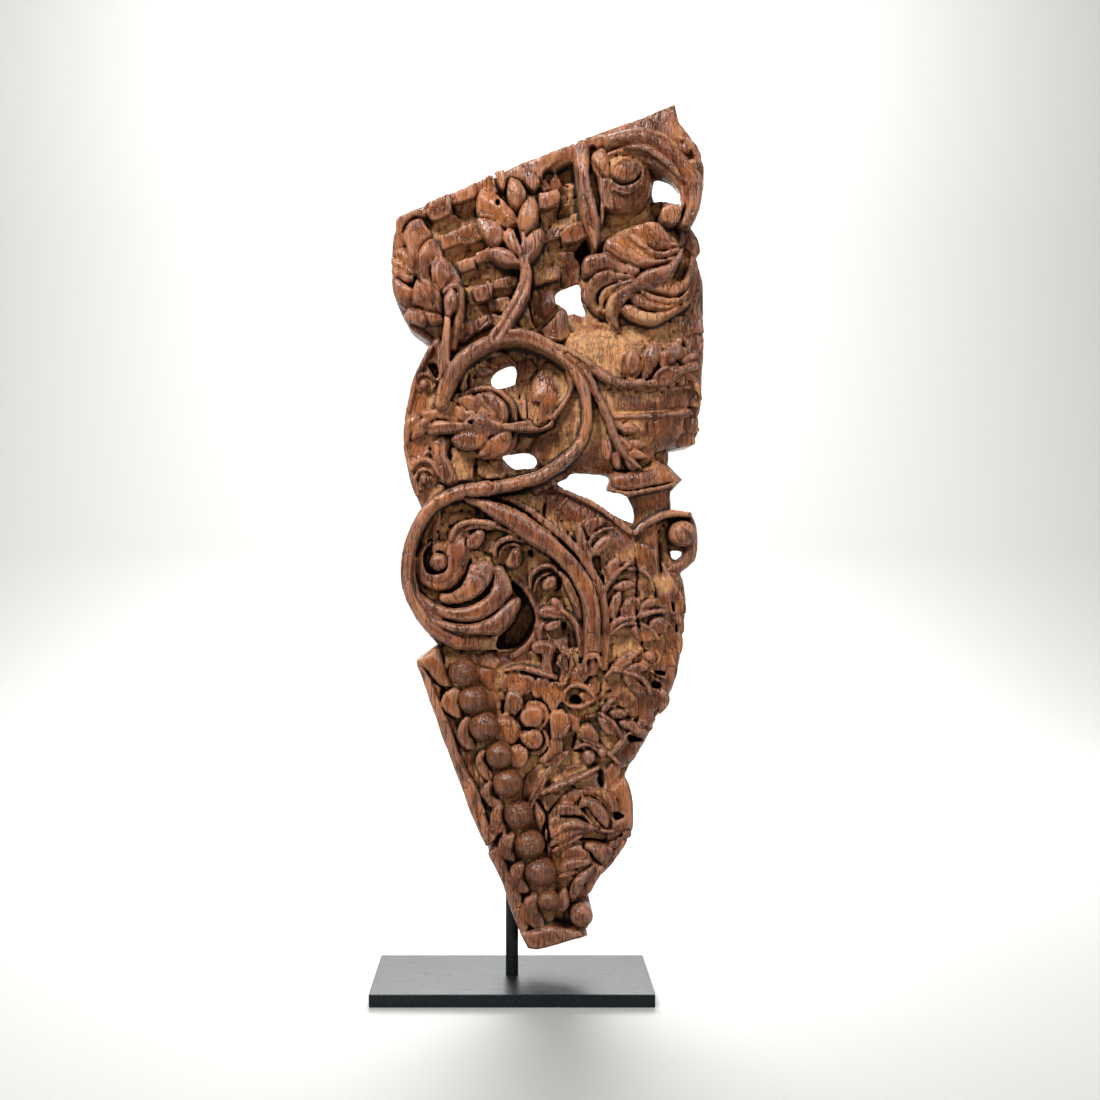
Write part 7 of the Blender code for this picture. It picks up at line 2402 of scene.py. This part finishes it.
@dataclass(frozen=True)
class BossRow:
    """The graduated round bosses down the lower left, set out by geometry nodes."""

    bosses: tuple[tuple[float, float, float], ...] = (
        (463, 674, 14.3), (473, 701, 14.8), (484, 728, 15.3), (499.5, 757, 13.8), (508, 785.5, 15.3),
        (519, 817, 14.4), (530, 847, 15.0), (541, 875, 15.5), (549, 903, 11.0),
    )
    crest: float = 0.985

    def tree(self, wood: bpy.types.Material) -> bpy.types.NodeTree:
        """The node tree: a slightly uneven ball at each point, as large as the point says.

        Args:
            wood: The bosses' material.

        Returns:
            The tree.
        """
        tree = bpy.data.node_groups.new("boss row", "GeometryNodeTree")
        tree.interface.new_socket("Geometry", in_out="INPUT", socket_type="NodeSocketGeometry")
        rough = tree.interface.new_socket("Unevenness", in_out="INPUT", socket_type="NodeSocketFloat")
        rough.default_value = 0.0005
        tree.interface.new_socket("Geometry", in_out="OUTPUT", socket_type="NodeSocketGeometry")
        nodes = Nodes(tree)
        given = nodes.add("NodeGroupInput")
        ball = nodes.add("GeometryNodeMeshIcoSphere", {"Radius": 1.0, "Subdivisions": 5})
        size = nodes.add("GeometryNodeInputNamedAttribute", {"Name": "size"}, data_type="FLOAT").outputs[0]
        many = nodes.add("GeometryNodeInstanceOnPoints", {"Points": given.outputs[0],
                                                          "Instance": ball.outputs["Mesh"], "Scale": size})
        real = nodes.add("GeometryNodeRealizeInstances", {"Geometry": many.outputs[0]})
        place = nodes.add("GeometryNodeInputPosition").outputs[0]
        wave = nodes.add("ShaderNodeTexNoise", {"Vector": place, "Scale": 130.0, "Detail": 2.0}).outputs[0]
        push = nodes.math("SUBTRACT", wave, 0.5)
        push = nodes.math("MULTIPLY", push, given.outputs["Unevenness"])
        push = nodes.math("MULTIPLY", push, 4.0)
        normal = nodes.add("GeometryNodeInputNormal").outputs[0]
        offset = nodes.add("ShaderNodeVectorMath", {0: normal, 3: push}, operation="SCALE").outputs[0]
        moved = nodes.add("GeometryNodeSetPosition", {"Geometry": real.outputs[0], "Offset": offset})
        dressed = nodes.add("GeometryNodeSetMaterial", {"Geometry": moved.outputs[0], "Material": wood})
        nodes.add("NodeGroupOutput", {0: dressed.outputs[0]})
        return tree

    def build(self, drawing: Drawing, wood: bpy.types.Material) -> bpy.types.Object:
        """Make the row as one piece.

        Args:
            drawing: The frame that the bosses are drawn in.
            wood: The wood's material.

        Returns:
            The piece.
        """
        data = bpy.data.meshes.new("boss_row")
        points = []
        sizes = []
        for across, down, radius in self.bosses:
            reach = drawing.reach(self.crest)
            x, z = drawing.world(across, down, self.crest)
            size = radius * reach
            points.append((x, drawing.back_y - self.crest * drawing.thickness + size, z))
            sizes.append(size)
        data.from_pydata(points, [], [])
        mark = data.attributes.new("size", "FLOAT", "POINT")
        mark.data.foreach_set("value", sizes)
        piece = bpy.data.objects.new("boss_row", data)
        bpy.context.scene.collection.objects.link(piece)
        maker = piece.modifiers.new("bosses", "NODES")
        maker.node_group = self.tree(wood)
        graph = bpy.context.evaluated_depsgraph_get()
        mesh = bpy.data.meshes.new_from_object(piece.evaluated_get(graph))
        piece.modifiers.clear()
        piece.data = mesh
        mesh.shade_smooth()
        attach(piece, "root")
        LOG.info("boss row: %d faces", len(mesh.polygons))
        return piece


@dataclass(frozen=True)
class Stand:
    """The rod and base plate, which keep their own solids and get their finish."""

    nodes: tuple[str, ...] = ("stand_rod", "base_plate")

    def dress(self, steel: bpy.types.Material) -> None:
        """Give the stand its steel."""
        for name in self.nodes:
            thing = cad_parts[name]
            thing.data.materials.clear()
            thing.data.materials.append(steel)
            LOG.info("dressed %s", name)


@dataclass(frozen=True)
class Lamp:
    """One soft square light: where it stands, the point it faces, its side and its power in watts."""

    name: str
    place: tuple[float, float, float]
    aim: tuple[float, float, float]
    size: float
    power: float

    def build(self) -> None:
        """Add the light."""
        data = bpy.data.lights.new(self.name, "AREA")
        data.shape = "SQUARE"
        data.size = self.size
        data.energy = self.power
        lamp = bpy.data.objects.new(self.name, data)
        lamp.location = self.place
        lamp.visible_camera = False
        way = np.array(self.aim) - np.array(self.place)
        lamp.rotation_euler = (math.atan2(math.hypot(way[0], way[1]), -way[2]), 0.0,
                               math.atan2(way[1], way[0]) - math.pi / 2)
        bpy.context.scene.collection.objects.link(lamp)


@dataclass(frozen=True)
class Studio:
    """The pale floor, the soft lights and the camera."""

    floor_colour: tuple[float, float, float] = (0.37, 0.373, 0.362)
    camera_place: tuple[float, float, float] = (0.0, -1.3918, 0.4231)
    sight: float = 1442.0
    frame_width: float = 1100.0
    column: float = 512.0
    row: float = 548.0
    sensor: float = 36.0
    world_colour: tuple[float, float, float] = (1.0, 0.98, 0.95)
    world_strength: float = 0.22
    half_width: float = 6.0
    front_edge: float = -5.0
    bend_start: float = 1.6
    bend_radius: float = 1.4
    bend_steps: int = 12
    wall_top: float = 5.0
    lamps: tuple[Lamp, ...] = (
        Lamp("top_left_softbox", (-0.85, -1.25, 1.9), (0.0, 0.0, 0.45), 0.5, 55),
        Lamp("right_softbox", (1.3, -1.3, 1.2), (0.0, 0.0, 0.45), 0.5, 13),
        Lamp("back_light", (0.0, 1.7, 1.5), (0.0, -0.1, 0.0), 1.3, 66),
        Lamp("overhead_light", (0.0, 0.35, 2.8), (0.0, 0.15, 0.0), 1.4, 6),
        Lamp("backdrop_light", (0.0, 0.9, 2.4), (0.0, 3.2, 1.0), 1.6, 170),
    )

    def sweep(self) -> None:
        """A floor that curves up into a backdrop."""
        mesh = bmesh.new()
        start, radius = self.bend_start, self.bend_radius
        profile = [(self.front_edge, 0.0), (start, 0.0)]
        for step in range(1, self.bend_steps + 1):
            turn = math.pi / 2 * step / self.bend_steps
            profile.append((start + radius * math.sin(turn), radius - radius * math.cos(turn)))
        profile.append((start + radius, self.wall_top))
        rows = [[mesh.verts.new((x, y, z)) for x in (-self.half_width, self.half_width)] for y, z in profile]
        for a, b in zip(rows, rows[1:]):
            mesh.faces.new((a[0], a[1], b[1], b[0]))
        data = bpy.data.meshes.new("floor_sweep")
        mesh.to_mesh(data)
        mesh.free()
        data.shade_smooth()
        material = bpy.data.materials.new("pale floor")
        material.use_nodes = True
        shader = material.node_tree.nodes["Principled BSDF"]
        shader.inputs["Base Color"].default_value = (*self.floor_colour, 1)
        shader.inputs["Roughness"].default_value = 0.6
        data.materials.append(material)
        floor = bpy.data.objects.new("floor_sweep", data)
        bpy.context.scene.collection.objects.link(floor)

    def build(self) -> None:
        """Set the stage."""
        self.sweep()
        for lamp in self.lamps:
            lamp.build()
        self.air()
        self.eye()

    def air(self) -> None:
        """Fill the room with a weak even light."""
        bpy.context.scene.view_settings.view_transform = "Standard"
        world = bpy.data.worlds.new("studio")
        world.use_nodes = True
        background = world.node_tree.nodes["Background"]
        background.inputs[0].default_value = (*self.world_colour, 1)
        background.inputs[1].default_value = self.world_strength
        bpy.context.scene.world = world

    def eye(self) -> None:
        """Set the camera at the photograph's viewing angle."""
        data = bpy.data.cameras.new("camera")
        data.sensor_width = self.sensor
        data.lens = self.sensor * self.sight / self.frame_width
        data.shift_x = (self.frame_width / 2 - self.column) / self.frame_width
        data.shift_y = (self.row - self.frame_width / 2) / self.frame_width
        camera = bpy.data.objects.new("camera", data)
        camera.location = self.camera_place
        camera.rotation_euler = (math.pi / 2, 0.0, 0.0)
        bpy.context.scene.collection.objects.link(camera)
        bpy.context.scene.camera = camera


def main() -> None:
    """Build every piece in order."""
    logging.basicConfig(level=logging.INFO, format="%(name)s: %(message)s")
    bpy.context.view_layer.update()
    grain, blotch = grain_group(), speckle_group()
    wood = CarvedWood().material("old carved hardwood", grain, blotch)
    polished = CarvedWood(proud=(0.190, 0.062, 0.023), orange=(0.34, 0.120, 0.045), darker=1.0).material(
        "polished bosses", grain, blotch)
    steel = BlackSteel().material(blotch)
    carving = Carving()
    carving.build(wood)
    drawing = Drawing(back_y=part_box("carved_bracket")[1][1], thickness=carving.thickness)
    BossRow().build(drawing, polished)
    Stand().dress(steel)
    Studio().build()


if __name__ == "__main__":
    main()
